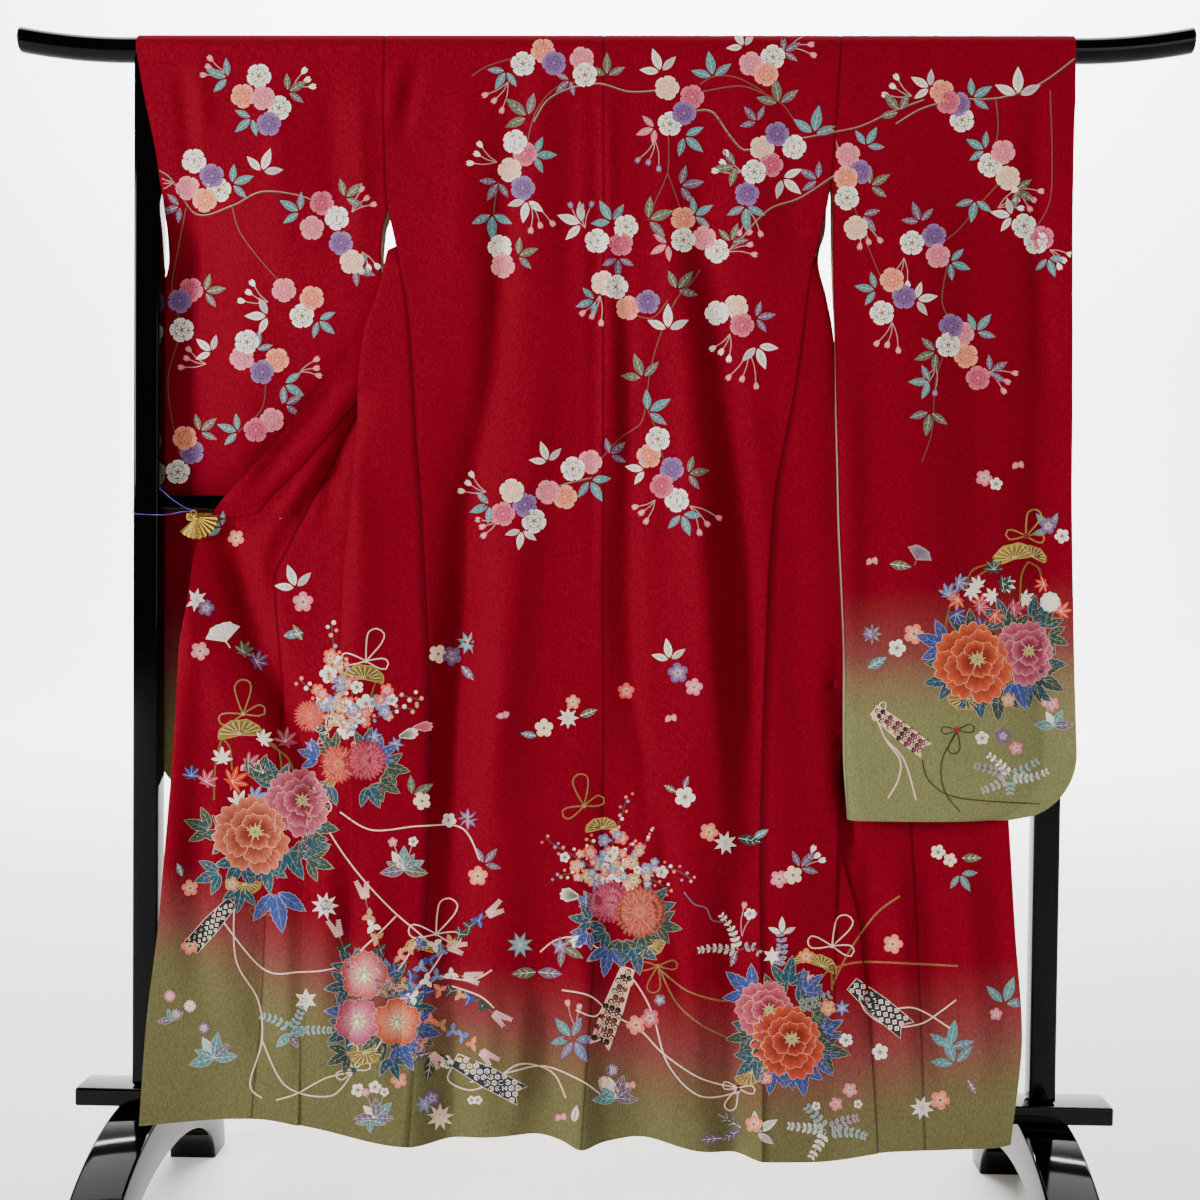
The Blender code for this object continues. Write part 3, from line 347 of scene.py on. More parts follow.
# x of the seam between each front and its overlap panel
LEFT_OKUMI = table(
    "z      x",
    (1.400, -0.184),
    (1.360, -0.189),
    (1.280, -0.232),
    (1.220, -0.285),
    (1.157, -0.339),
    (1.086, -0.376),
    (1.038, -0.401),
    (0.974, -0.432),
    (0.925, -0.452),
    (0.827, -0.444),
    (0.727, -0.440),
    (0.605, -0.444),
    (0.510, -0.454),
    (0.315, -0.457),
    (0.150, -0.465))

RIGHT_OKUMI = table(
    "z      x",
    (1.400, 0.170),
    (1.360, 0.178),
    (1.264, 0.210),
    (1.155, 0.258),
    (1.044, 0.318),
    (0.905, 0.380),
    (0.800, 0.412),
    (0.700, 0.435),
    (0.589, 0.447),
    (0.451, 0.455),
    (0.150, 0.466))

# Sleeves: x of the body-side edge and of the outer edges, then the depth of each layer at both edges
LEFT_SLEEVE = table(
    "z      inner   near_x  far_x   near_in near_out far_in  far_out",
    (1.675, -0.303, -0.655, -0.655, -0.0200, -0.0200, 0.0200, 0.0200),
    (1.630, -0.303, -0.647, -0.647, -0.0215, -0.0215, 0.0214, 0.0215),
    (1.580, -0.303, -0.637, -0.637, -0.0232, -0.0225, 0.0198, 0.0225),
    (1.540, -0.302, -0.628, -0.628, -0.0246, -0.0225, 0.0178, 0.0225),
    (1.500, -0.300, -0.6218, -0.6216, -0.0262, -0.0212, 0.0142, 0.0212),
    (1.455, -0.301, -0.6185, -0.6185, -0.0280, -0.0060, 0.0080, -0.0039),
    (1.420, -0.303, -0.6185, -0.6185, -0.0250, 0.0130, 0.0080, 0.0151),
    (1.380, -0.306, -0.6190, -0.6190, -0.0200, 0.0226, 0.0080, 0.0247),
    (1.330, -0.304, -0.6320, -0.6320, -0.0110, 0.0228, 0.0120, 0.0249),
    (1.280, -0.303, -0.6400, -0.6400, -0.0050, 0.0230, 0.0170, 0.0251),
    (1.220, -0.303, -0.6400, -0.6400, -0.0010, 0.0230, 0.0210, 0.0251),
    (1.155, -0.303, -0.6400, -0.6400, 0.0070, 0.0230, 0.0270, 0.0251),
    (1.090, -0.303, -0.6400, -0.6400, 0.0140, 0.0230, 0.0330, 0.0251),
    (1.018, -0.303, -0.6400, -0.6400, 0.0170, 0.0230, 0.0370, 0.0251),
    (0.900, -0.303, -0.6400, -0.6400, 0.0160, 0.0230, 0.0380, 0.0251),
    (0.800, -0.302, -0.6400, -0.6400, 0.0150, 0.0230, 0.0380, 0.0251),
    (SLEEVE_BOTTOM, -0.300, -0.6400, -0.6400, 0.0140, 0.0225, 0.0300, 0.0246))

RIGHT_SLEEVE = table(
    "z      inner  near_x  far_x   near_in near_out far_in  far_out",
    (1.675, 0.337, 0.6600, 0.6560, -0.0200, -0.0200, 0.0200, 0.0200),
    (1.630, 0.334, 0.6600, 0.6400, -0.0215, -0.0215, 0.0214, 0.0215),
    (1.600, 0.332, 0.6600, 0.6200, -0.0225, -0.0222, 0.0206, 0.0210),
    (1.580, 0.331, 0.6590, 0.6130, -0.0232, -0.0225, 0.0198, 0.0130),
    (1.540, 0.329, 0.6585, 0.6130, -0.0246, -0.0232, 0.0178, -0.0130),
    (1.520, 0.328, 0.6580, 0.6190, -0.0254, -0.0236, 0.0165, -0.0210),
    (1.500, 0.327, 0.6580, 0.6350, -0.0262, -0.0240, 0.0142, -0.0215),
    (1.455, 0.326, 0.6575, 0.6575, -0.0300, -0.0246, 0.0060, -0.0225),
    (1.380, 0.326, 0.6570, 0.6570, -0.0390, -0.0290, -0.0130, -0.0269),
    (1.330, 0.327, 0.6570, 0.6570, -0.0455, -0.0320, -0.0270, -0.0299),
    (1.280, 0.329, 0.6575, 0.6575, -0.0520, -0.0350, -0.0390, -0.0329),
    (1.220, 0.330, 0.6575, 0.6575, -0.0600, -0.0380, -0.0460, -0.0359),
    (1.155, 0.331, 0.6580, 0.6580, -0.0670, -0.0410, -0.0510, -0.0389),
    (1.090, 0.333, 0.6580, 0.6580, -0.0740, -0.0430, -0.0560, -0.0409),
    (1.018, 0.335, 0.6590, 0.6590, -0.0800, -0.0450, -0.0600, -0.0429),
    (0.900, 0.341, 0.6620, 0.6620, -0.0850, -0.0480, -0.0670, -0.0459),
    (0.800, 0.346, 0.6660, 0.6660, -0.0870, -0.0490, -0.0690, -0.0469),
    (0.700, 0.348, 0.6710, 0.6710, -0.0850, -0.0500, -0.0690, -0.0479),
    (SLEEVE_BOTTOM, 0.355, 0.6740, 0.6740, -0.0800, -0.0500, -0.0680, -0.0479))

# Route of the clip's cord: from the ring, round the left post and back to the ring
CORD_ROUTE = (
    (-0.5650, -0.0520, 1.0200),
    (-0.5800, -0.0485, 1.0195),
    (-0.6050, -0.0340, 1.0155),
    (-0.6300, -0.0215, 1.0155),
    (-0.6450, -0.0196, 1.0160),
    (-0.6570, -0.0196, 1.0170),
    (-0.6594, -0.0180, 1.0180),
    (-0.6594, 0.0000, 1.0260),
    (-0.6594, 0.0180, 1.0360),
    (-0.6570, 0.0196, 1.0380),
    (-0.6400, 0.0196, 1.0460),
    (-0.6230, 0.0196, 1.0540),
    (-0.6203, 0.0180, 1.0550),
    (-0.6203, 0.0000, 1.0560),
    (-0.6203, -0.0180, 1.0540),
    (-0.6150, -0.0240, 1.0500),
    (-0.5960, -0.0390, 1.0370),
    (-0.5760, -0.0505, 1.0260),
    (-0.5660, -0.0525, 1.0225))


def read(rows, column, key, key_column="z"):
    """Read a column of a table at a key between its rows, along a curve that doesn't overshoot."""
    keys = rows[key_column]
    values = rows[column]
    key = np.clip(np.asarray(key, float), keys[0], keys[-1])
    step = np.diff(keys)
    slope = np.diff(values) / step
    tangent = np.zeros(len(keys))
    tangent[0] = slope[0]
    tangent[-1] = slope[-1]
    before = slope[:-1]
    after = slope[1:]
    agree = before * after > 0
    both = np.where(agree, before + after, 1.0)
    tangent[1:-1] = np.where(agree, 2 * before * after / both, 0.0)
    i = np.clip(np.searchsorted(keys, key) - 1, 0, len(keys) - 2)
    t = (key - keys[i]) / step[i]
    return ((2 * t**3 - 3 * t**2 + 1) * values[i]
            + (t**3 - 2 * t**2 + t) * step[i] * tangent[i]
            + (3 * t**2 - 2 * t**3) * values[i + 1]
            + (t**3 - t**2) * step[i] * tangent[i + 1])


def ease(t):
    """Go smoothly from 0 to 1."""
    t = np.clip(t, 0.0, 1.0)
    return t * t * (3 - 2 * t)


def forward_of_folds(folds, x, z):
    """How far the folds push the cloth towards the viewer."""
    total = 0.0
    for x_high, x_low, wide, forward, start, full, fades in folds:
        along = (z - HEM) / (FOLDS_HIGH - HEM)
        middle = x_low + (x_high - x_low) * np.clip(along, 0, 1)
        strength = ease((start - z) / (start - full))
        if fades > 0:
            strength = strength * ease((z - fades) / FOLD_FADE)
        total = total + forward * strength * np.exp(-((x - middle) / wide)**2)
    return total


def back_depth(x, z):
    return read(BACK_DEPTH, "y", z) - forward_of_folds(BACK_FOLDS, x, z)


def at_hem(x, z):
    """Height of a point of a row, eased onto the hem line low down."""
    low = ease((HEM + HEM_BLEND - z) / HEM_BLEND)
    return z + (read(HEM_LINE, "z", x, "x") - HEM) * low


def rounded_path(corners, largest):
    """Follow straight runs with each corner rounded off, as a dense list of plan points."""
    path = [corners[0]]
    for i in range(1, len(corners) - 1):
        before = corners[i - 1] - corners[i]
        after = corners[i + 1] - corners[i]
        reach = min(largest[i], 0.5 * hypot(*before), 0.5 * hypot(*after))
        if reach < 1e-6:
            path.append(corners[i])
            continue
        start = corners[i] + before / hypot(*before) * reach
        end = corners[i] + after / hypot(*after) * reach
        for t in np.linspace(0, 1, 9):
            path.append((1 - t)**2 * start + 2 * t * (1 - t) * corners[i] + t**2 * end)
    path.append(corners[-1])
    path = np.array(path)
    step = np.hypot(*np.diff(path, axis=0).T)
    keep = np.concatenate([[True], step > 1e-7])
    path = path[keep]
    length = np.concatenate([[0.0], np.cumsum(np.hypot(*np.diff(path, axis=0).T))])
    return path, length


class Front:
    """One front of the garment: its plan at any height, and the lengths along it to its seams."""

    def __init__(self, side, plan, okumi):
        self.side = side
        self.plan = plan
        self.okumi = okumi
        self.seam_column = "left" if side < 0 else "right"

    def side_edge(self, z):
        x = read(SEAMS, self.seam_column, z)
        if z > SIDE_SEAM_TOP:
            bulge = read(SLIT_EDGE, "bulge", z) if self.side > 0 else 0.0
            return np.array((x + bulge, read(SLIT_EDGE, "y", z)))
        return np.array((x, float(back_depth(x, z))))

    def row(self, z):
        """Path of the whole front at one height, with the lengths to its turns and seams."""
        e, r, c, f, y1, y2, y3, yf = (float(read(self.plan, k, z)) for k in "e r c f y1 y2 y3 yf".split())
        start = self.side_edge(z)
        start[0] -= self.side * LAP
        if z > STRIP_TOP:
            e, y1 = start
        e = self.side * max(self.side * e, self.side * start[0])
        corners = [start, (e, y1), (e, y2), (r, y2), (r, y3), (c, y3), (f, yf)]
        corners = [np.array(p, float) for p in corners]
        path, length = rounded_path(corners, (0, *[TURN_REACH] * 4, COLLAR_REACH, 0))
        marks = {}
        for name, corner in (("e1", 1), ("e2", 2), ("r1", 3), ("r2", 4), ("collar", 5)):
            marks[name] = self.length_near(path, length, corners[corner], marks)
        marks["okumi"] = self.length_at_x(path, length, marks["r2"], float(read(self.okumi, "x", z)))
        return path, length, marks

    def length_near(self, path, length, corner, found):
        """Length along the path to its point nearest to a corner, past the marks already found."""
        past = max(found.values(), default=0.0)
        ahead = length >= past - 1e-9
        distance = np.hypot(*(path - corner).T)
        distance[~ahead] = 9.0
        return float(length[int(np.argmin(distance))])

    def length_at_x(self, path, length, past, x):
        """Length to where the outermost layer, which runs away from the middle, reaches x."""
        ahead = length >= past
        return float(np.interp(self.side * x, self.side * path[ahead, 0], length[ahead]))

    def points(self, z, lengths):
        """Points and outward directions at the given lengths along the row."""
        path, length, marks = self.row(z)
        x = np.interp(lengths, length, path[:, 0])
        y = np.interp(lengths, length, path[:, 1])
        reach = 0.0015
        ahead = np.minimum(np.asarray(lengths) + reach, length[-1])
        behind = np.maximum(np.asarray(lengths) - reach, 0.0)
        run_x = np.interp(ahead, length, path[:, 0]) - np.interp(behind, length, path[:, 0])
        run_y = np.interp(ahead, length, path[:, 1]) - np.interp(behind, length, path[:, 1])
        size = np.hypot(run_x, run_y)
        turn = -self.side
        outward = np.stack([-turn * run_y / size, turn * run_x / size, 0 * x], 1)
        sewn_here = z >= ARMHOLE_END or z <= STRIP_TOP
        if lengths[0] == 0.0 and sewn_here:
            outward[0] = (0.0, np.sign(outward[0][1]), 0.0)
        return np.stack([x, y, at_hem(x, z)], 1), outward


# Fine folds, as they show in the view: how far they stand forward in millimetres, half their width in
# view points, and the line that they follow. Those of the left front come first, because the sleeve
# behind it takes only their hollows.
FRONT_FOLDS = (
    # left front, out to the clip
    (3.0, 10, ((322, 388), (268, 456), (230, 508))),
    (-4.0, 9, ((346, 372), (298, 430), (250, 490))),
    (4.0, 9, ((360, 380), (322, 430), (272, 486), (244, 512))),
    (4.0, 9, ((330, 450), (300, 490), (272, 530), (254, 570))),
    (-6.5, 8, ((342, 446), (318, 484), (294, 528))),
    (-3.0, 6, ((300, 510), (276, 560), (270, 596), (275, 640), (280, 712), (284, 790))),
    # left front, down from the clip
    (-14.0, 15, ((212, 500), (230, 545), (246, 600), (264, 660), (290, 720), (312, 780), (318, 850))),
    (6.0, 24, ((190, 590), (212, 660), (236, 720), (270, 780))),
    (5.0, 11, ((198, 560), (190, 640), (182, 740), (174, 840), (164, 960))),
    (4.0, 16, ((222, 740), (224, 840), (226, 940), (230, 1060))),
    (-5.0, 12, ((198, 780), (198, 880), (196, 1000))),
    (-5.0, 10, ((262, 840), (262, 940), (256, 1080))),
    (5.0, 10, ((284, 860), (288, 960), (288, 1080))),
    # left front, the strip beside the side seam
    (-9.0, 9, ((368, 388), (346, 440), (330, 480), (324, 520))),
    (5.0, 9, ((358, 460), (362, 540), (360, 620), (356, 680))),
    (6.0, 30, ((372, 460), (366, 560), (360, 680), (356, 800))),
    (-2.5, 9, ((386, 640), (372, 720), (366, 820))),
    (5.0, 12, ((330, 820), (326, 940), (322, 1060))),
    (-6.0, 10, ((352, 860), (352, 960), (350, 1090))),
    (5.0, 10, ((374, 860), (378, 980), (382, 1100))),
    (-4.0, 8, ((400, 900), (402, 1000), (404, 1110))))
FOLDS = (
    # back
    (-12.0, 15, ((518, 60), (506, 170), (500, 290), (493, 380), (481, 440), (468, 520), (466, 580),
                 (458, 640), (451, 700), (448, 760), (449, 820), (440, 920))),
    (6.0, 20, ((545, 330), (534, 440), (520, 560), (506, 680), (490, 780), (470, 880))),
    (5.5, 14, ((604, 280), (604, 440), (606, 600), (614, 740), (622, 900))),
    (-5.0, 9, ((612, 200), (628, 320), (630, 440), (630, 580), (633, 700), (644, 760), (646, 820),
               (648, 900))),
    (-6.0, 9, ((660, 800), (668, 880), (674, 940), (684, 1040))),
    (9.0, 17, ((664, 120), (672, 250), (684, 330), (692, 440), (702, 560), (712, 660), (726, 780), (734, 880),
               (740, 1020))),
    (-11.0, 16, ((698, 120), (706, 240), (718, 320), (731, 440), (744, 540), (748, 640), (758, 760),
                 (760, 880), (766, 1060))),
    (-9.0, 30, ((762, 330), (778, 440), (786, 560), (794, 700), (800, 880))),
    (6.0, 14, ((846, 360), (850, 520), (848, 680))),
    (-6.0, 12, ((552, 1000), (552, 1060), (556, 1120))),
    (5.0, 12, ((526, 980), (520, 1060), (516, 1120))),
    (-5.0, 14, ((456, 1000), (452, 1080), (448, 1130))),
    (5.0, 12, ((486, 960), (486, 1050), (484, 1120))),
    (4.0, 14, ((664, 960), (668, 1050), (672, 1140))),
    (-4.0, 12, ((706, 960), (710, 1060), (714, 1140))),
    (2.6, 14, ((540, 60), (539, 160), (536, 260))),
    (-3.0, 6, ((593, 50), (595, 200), (596, 420), (592, 620))),
    (3.0, 6, ((609, 50), (611, 220), (614, 400), (616, 540))),
    (-3.0, 12, ((572, 80), (570, 200), (566, 330))),
    (2.6, 16, ((745, 60), (750, 180), (760, 280))),
    (-2.6, 14, ((790, 70), (792, 180), (790, 270))),
    (4.0, 9, ((407, 43), (396, 80), (388, 120))),
    (-4.0, 8, ((424, 46), (410, 90), (400, 150))),
    (2.6, 18, ((470, 80), (462, 180), (455, 280))),
    # sleeves
    (-2.5, 7, ((176, 50), (184, 100), (190, 170), (194, 260))),
    (3.0, 8, ((198, 46), (201, 80), (204, 140))),
    (3.5, 26, ((240, 260), (246, 400), (246, 520))),
    (3.0, 18, ((276, 60), (280, 170), (286, 300))),
    (-3.4, 13, ((330, 70), (332, 170), (334, 270))),
    (3.0, 9, ((362, 80), (362, 170), (360, 260))),
    (4.0, 34, ((912, 120), (914, 400), (915, 760))),
    (-4.0, 26, ((974, 120), (976, 400), (980, 760))),
    (-4.0, 12, ((1036, 70), (1038, 230), (1044, 330), (1048, 420))),
    (7.0, 26, ((1086, 120), (1087, 400), (1088, 760))),
    # right front
    (-9.0, 7, ((836, 640), (838, 720), (842, 800), (856, 860))),
    (-5.0, 10, ((868, 840), (872, 960), (876, 1080))),
    (5.0, 11, ((896, 840), (902, 960), (910, 1100))),
    (-5.0, 11, ((926, 840), (934, 960), (944, 1100))),
    (5.0, 11, ((962, 840), (972, 960), (984, 1100))),
    (-3.5, 9, ((990, 840), (1002, 960), (1014, 1080))))

# Where the red gives way to olive, down the view: first for the body and then for the sleeves
BODY_FADE = table(
    "x     start  end",
    (140, 875, 960),
    (180, 865, 970),
    (300, 905, 1020),
    (400, 955, 1055),
    (500, 965, 1080),
    (620, 980, 1110),
    (800, 985, 1140),
    (950, 965, 1115),
    (1040, 950, 1095))
SLEEVE_FADE = table(
    "x     start  end",
    (140, 600, 735),
    (860, 590, 720),
    (1060, 575, 710))

# Dyes of the ground, from the shoulders to the hem, and of the lining in the same order
RED = "#79091B"
ROSY = "#7C3B39"
OLIVE = "#6B6642"
SLEEVE_OLIVE = "#79774E"
LINING = "#B9A998"
LINING_OLIVE = "#8E8A57"

# Colours of the stand, the clip, its cord and the paper
LACQUER_BLACK = "#030303"
PLATE_GOLD = "#D9B457"
VIOLET_DARK = "#3A1F78"
VIOLET_LIGHT = "#5B3BA8"
PAPER_WHITE = "#FBFAF9"

# Half the view points by which the fade is softened
FADE_SOFT = 10


def linear(hex_colour):
    """Turn an sRGB hex colour to linear values."""
    parts = [int(hex_colour[i:i + 2], 16) / 255 for i in (1, 3, 5)]
    return tuple(p / 12.92 if p <= 0.04045 else ((p + 0.055) / 1.055)**2.4 for p in parts)


# Dyes of the pictures
WHITE = "#FBEADB"
CREAM = "#FBD3B0"
PINK = "#DC7280"
ROSE = "#BE425E"
PEACH = "#E67E5C"
VIOLET = "#6A4678"
TEAL = "#17495A"
AQUA = "#548A8C"
GREY_GREEN = "#646450"
MAUVE = "#6E5870"
BLUE = "#30458A"
SLATE = "#6A77A2"
ORANGE = "#D6401C"
AMBER = "#EA7C3C"
CORAL = "#DF4F3E"
GOLD = "#8C7232"
DARK_GOLD = "#55400F"
CORD = "#F6CFBC"
BARK = "#74463A"
FOREST = "#264238"
INK = "#171B1A"
TAN = "#C08C50"
RAIN = "#948E86"
PALE_VEIN = "#8F958A"
BRASS = "#A88650"
DARK_CORD = "#3A3A22"
BEAD = "#8A2A2A"
FERN_GREY = "#B9BCB4"
CORD_WIDTH = 1.4

# Each blossom's dye, the colour of its petal lines, and its lighter rim
BLOSSOM_DYES = {
    "w": (WHITE, "#3C4A42", "#FFF2E4"),
    "c": ("#EEBC9C", "#C88866", "#F4D0B4"),
    "p": (PINK, "#B0506A", "#E88E92"),
    "r": (ROSE, "#862A48", "#D86E7E"),
    "a": (PEACH, "#B84E38", "#F2A07E"),
    "v": (VIOLET, "#4A2C5A", "#8E6A98")}

# Plates drawn so far: points in the view, faces, dyes, layer, and for some the middle of their figure
DRAWN = []


def dye_of(colour):
    return np.array(linear(colour)) if isinstance(colour, str) else np.asarray(colour, float)


def between(first, second, share):
    return dye_of(first) * (1 - share) + dye_of(second) * share


def place(shape, x, y, size=1.0, turn=0.0):
    """Put a shape, drawn with its top up, into the view: turn is in degrees, clockwise."""
    u, v = np.asarray(shape, float).T * size
    t = radians(turn)
    return np.stack([x + u * cos(t) + v * sin(t), y + u * sin(t) - v * cos(t)], 1)


def ring(count, radius=1.0, lobes=0, deep=0.0, start=0.0):
    """Points round a middle, on a scalloped circle."""
    a = start + np.arange(count) * 2 * pi / count
    r = radius * (1 - deep + deep * np.abs(np.cos(lobes / 2 * a)))
    return np.stack([r * np.sin(a), r * np.cos(a)], 1)


def finer(outline):
    """The same closed outline, with more points along its long sides."""
    points = []
    for a, b in zip(outline, np.roll(outline, -1, axis=0)):
        count = max(ceil(hypot(*(b - a)) / PLATE_STEP), 1)
        points += [a + (b - a) * k / count for k in range(count)]
    return np.array(points)


def paint(outline, colour, layer, edge=None, rings=1, middle=None, power=1.5):
    """Fill an outline. Its colour may change from the middle to its edge, later the higher the power."""
    outline = finer(np.asarray(outline, float))
    middle = outline.mean(axis=0) if middle is None else np.asarray(middle, float)
    count = len(outline)
    rings = max(rings, ceil(np.hypot(*(outline - middle).T).max() / PLATE_STEP))
    points = [middle[None]]
    dyes = [dye_of(colour)[None]]
    faces = []
    for k in range(rings):
        reach = (k + 1) / rings
        points.append(middle + (outline - middle) * reach)
        dyes.append(np.tile(between(colour, edge, reach**power) if edge is not None else dye_of(colour),
                            (count, 1)))
        now = 1 + k * count
        for i in range(count):
            j = (i + 1) % count
            if k == 0:
                faces.append((0, now + i, now + j))
            else:
                faces.append((now - count + i, now + i, now + j))
                faces.append((now - count + i, now + j, now - count + j))
    DRAWN.append((np.vstack(points), faces, np.vstack(dyes), layer))


def edging(outline, colour, layer, grow=0.5, width=1.2):
    """A narrow line round a closed outline."""
    outline = finer(np.asarray(outline, float))
    run = np.roll(outline, -1, axis=0) - np.roll(outline, 1, axis=0)
    run /= np.maximum(np.hypot(*run.T), 1e-9)[:, None]
    after = np.roll(outline, -1, axis=0)
    turning = np.sign((outline[:, 0] * after[:, 1] - outline[:, 1] * after[:, 0]).sum())
    square = np.stack([run[:, 1], -run[:, 0]], 1) * turning
    count = len(outline)
    faces = []
    for i in range(count):
        j = (i + 1) % count
        faces += [(i, j, count + j), (i, count + j, count + i)]
    DRAWN.append((np.vstack([outline - square * (width - grow), outline + square * grow]), faces,
                  np.tile(dye_of(colour), (2 * count, 1)), layer))


def rimmed(outline, colour, rim, layer, edge=None, grow=0.5, **more):
    """A filled outline with a fine paste-resist line round it."""
    edging(outline, rim, layer, grow)
    paint(outline, colour, layer + 1, edge, **more)


def on_curve(before, start, end, after, t):
    """Point between start and end on the smooth curve that also passes before and after."""
    return 0.5 * (2 * start + (end - before) * t + (2 * before - 5 * start + 4 * end - after) * t**2
                  + (3 * start - before - 3 * end + after) * t**3)


def course(points, step=3.0):
    """A smooth line through points, as points a step apart."""
    points = np.asarray(points, float)
    if len(points) == 2:
        count = max(int(hypot(*(points[1] - points[0])) / step), 1)
        return points[0] + (points[1] - points[0]) * np.linspace(0, 1, count + 1)[:, None]
    line = []
    for i in range(len(points) - 1):
        a = points[max(i - 1, 0)]
        b, c = points[i], points[i + 1]
        d = points[min(i + 2, len(points) - 1)]
        count = max(int(hypot(*(c - b)) / step), 1)
        for t in np.arange(count) / count:
            line.append(on_curve(a, b, c, d, t))
    line.append(points[-1])
    return np.array(line)


def stroke(points, width, colour, layer, end=1.0, start=1.0, bulge=0.0, step=3.0, edge=None):
    """A brush line. start and end are shares of its width there, and bulge widens its middle."""
    line = course(points, step)
    run = np.gradient(line, axis=0)
    run /= np.maximum(np.hypot(*run.T), 1e-9)[:, None]
    side = np.stack([-run[:, 1], run[:, 0]], 1)
    t = np.linspace(0, 1, len(line))
    half = (width / 2 * (start + (end - start) * t + bulge * np.sin(pi * t)))[:, None]
    points = np.vstack([line - side * half, line + side * half])
    n = len(line)
    faces = []
    for i in range(n - 1):
        faces += [(i, i + 1, n + i + 1), (i, n + i + 1, n + i)]
    dyes = np.array([between(colour, edge if edge is not None else colour, share) for share in t])
    DRAWN.append((points, faces, np.vstack([dyes, dyes]), layer))


def leaf(x, y, turn, length, colour, vein, layer=1, ratio=0.44, rim=None, teeth=0.0):
    t = np.linspace(0, 1, 12)
    half = ratio / 2 * np.sin(pi * t**0.82) * (1 + teeth * np.where(np.arange(12) % 2, 1, -1))
    outline = np.vstack([np.stack([-half, t], 1), np.stack([half, t], 1)[-2:0:-1]])
    shape = place(outline, x, y, length, turn)
    dark = between(colour, INK, 0.24)
    if rim is not None:
        rimmed(shape, dark, rim, layer, colour)
    else:
        paint(shape, dark, layer + 1, colour)
    stroke(place([(0, 0.02), (0, 0.93)], x, y, length, turn), 0.7, vein, layer + 2, end=0.5, step=5)
    if length > 13:
        for s in (0.3, 0.55):
            w = ratio * 0.36 * sin(pi * s**0.82)
            for side in (-1, 1):
                stroke(place([(0, s), (side * w, s + 0.16)], x, y, length, turn), 0.5, vein, layer + 2,
                       end=0.5)


def trio(x, y, turn, size, colour, layer=1, vein=None, rim=None, spread=64, teeth=0.0):
    """Three leaves from one joint."""
    if vein is None:
        vein = between(colour, WHITE, 0.42)
    if rim is None:
        size *= 1.22
    for k, long in ((-1, 0.92), (0, 1.08), (1, 0.92)):
        a = turn + k * spread
        root = place([(0, 0.12)], x, y, size, a)[0]
        leaf(root[0], root[1], a, size * long,
             between(colour, MAUVE, 0.45) if k > 0 and rim is None else colour, vein, layer, ratio=0.40,
             rim=rim, teeth=teeth)


def blossom(x, y, kind, size=25, layer=4):
    """Many-petalled cherry blossom: five broad notched petals over five more, drawn nearly as a ball."""
    colour, line, light = BLOSSOM_DYES[kind]
    turn = (x * 7 + y * 13) % 72
    a = np.arange(40) * 2 * pi / 40
    part = np.abs((a * 5 / (2 * pi)) % 1 - 0.5) * 2
    r = 0.5 * (1 - 0.15 * part**5 - 0.04 * np.abs(np.sin(1.5 * pi * part)))
    outline = place(np.stack([r * np.sin(a), r * np.cos(a)], 1), x, y, size, turn)
    paint(outline, between(colour, line, 0.12), layer, light)
    strong = 0.9 if kind == "w" else 0.8
    for k in range(5):
        seam = turn + k * 72
        stroke(place([(0, 0.20), (0.01, 0.44)], x, y, size, seam), strong, line, layer + 1, end=0.6)
        arc = [(0.27 * sin(radians(d)), 0.24 + 0.035 * cos(radians(d * 3))) for d in (-34, -17, 0, 17, 34)]
        stroke(place(arc, x, y, size, seam), 0.7 * strong, line, layer + 1)
        for d in (-20, 0, 20) if kind == "w" else (-17, 17):
            stroke(place([(0, 0.32), (0, 0.42)], x, y, size, seam + 36 + d), 0.7 * strong, line, layer + 1,
                   end=0.5)
        stroke(place([(0, 0.06), (0.01, 0.19)], x, y, size, seam + 36), strong, line, layer + 1, end=0.6)
    paint(place(ring(8, 0.07), x, y, size), GOLD if kind == "w" else light, layer + 1)


def buds(x, y, turn, size=20, colour=PINK, count=3, layer=1):
    """Small buds on long thin stalks."""
    for k in range(count):
        a = turn + (k - (count - 1) / 2) * 24
        long = size * (1.0, 0.78, 0.9, 0.7)[k % 4]
        tip = place([(0.10, 1.0)], x, y, long, a)[0]
        stroke([(x, y), tuple(place([(-0.02, 0.5)], x, y, long, a)[0]), tuple(tip)], 0.9, "#B98C84", layer)
        bud = [(0, -0.25), (0.3, 0.1), (0.42, 0.55), (0.2, 0.95), (0, 0.75), (-0.2, 0.95), (-0.42, 0.55),
               (-0.3, 0.1)]
        paint(place(bud, tip[0], tip[1], 7, a + 12), between(colour, WHITE, 0.35), layer + 1, colour)


def plum(x, y, size, colour, layer=3, heart=None, rim=None):
    """Five-petalled plum blossom."""
    heart = heart or between(colour, WHITE if colour != WHITE else "#3C4A44", 0.75)
    turn = (x * 5 + y * 11) % 72
    a = np.arange(30) * 2 * pi / 30
    r = 0.5 * (0.68 + 0.32 * np.abs(np.cos(2.5 * a))**0.6)
    outline = place(np.stack([r * np.sin(a), r * np.cos(a)], 1), x, y, size, turn)
    if rim is not None:
        rimmed(outline, between(colour, WHITE, 0.2), rim, layer, colour)
    else:
        paint(outline, between(colour, WHITE, 0.15), layer + 1, colour)
    if size < 8:
        paint(place(ring(6, 0.12), x, y, size), heart, layer + 2)
        return
    for k in range(5):
        stroke(place([(0, 0.08), (0, 0.30)], x, y, size, turn + k * 72), 0.8, heart, layer + 2, end=0.5)
        stroke(place([(0, 0.08), (0, 0.22)], x, y, size, turn + 36 + k * 72), 0.8, heart, layer + 2, end=0.5)
    paint(place(ring(8, 0.09), x, y, size), GOLD, layer + 3)


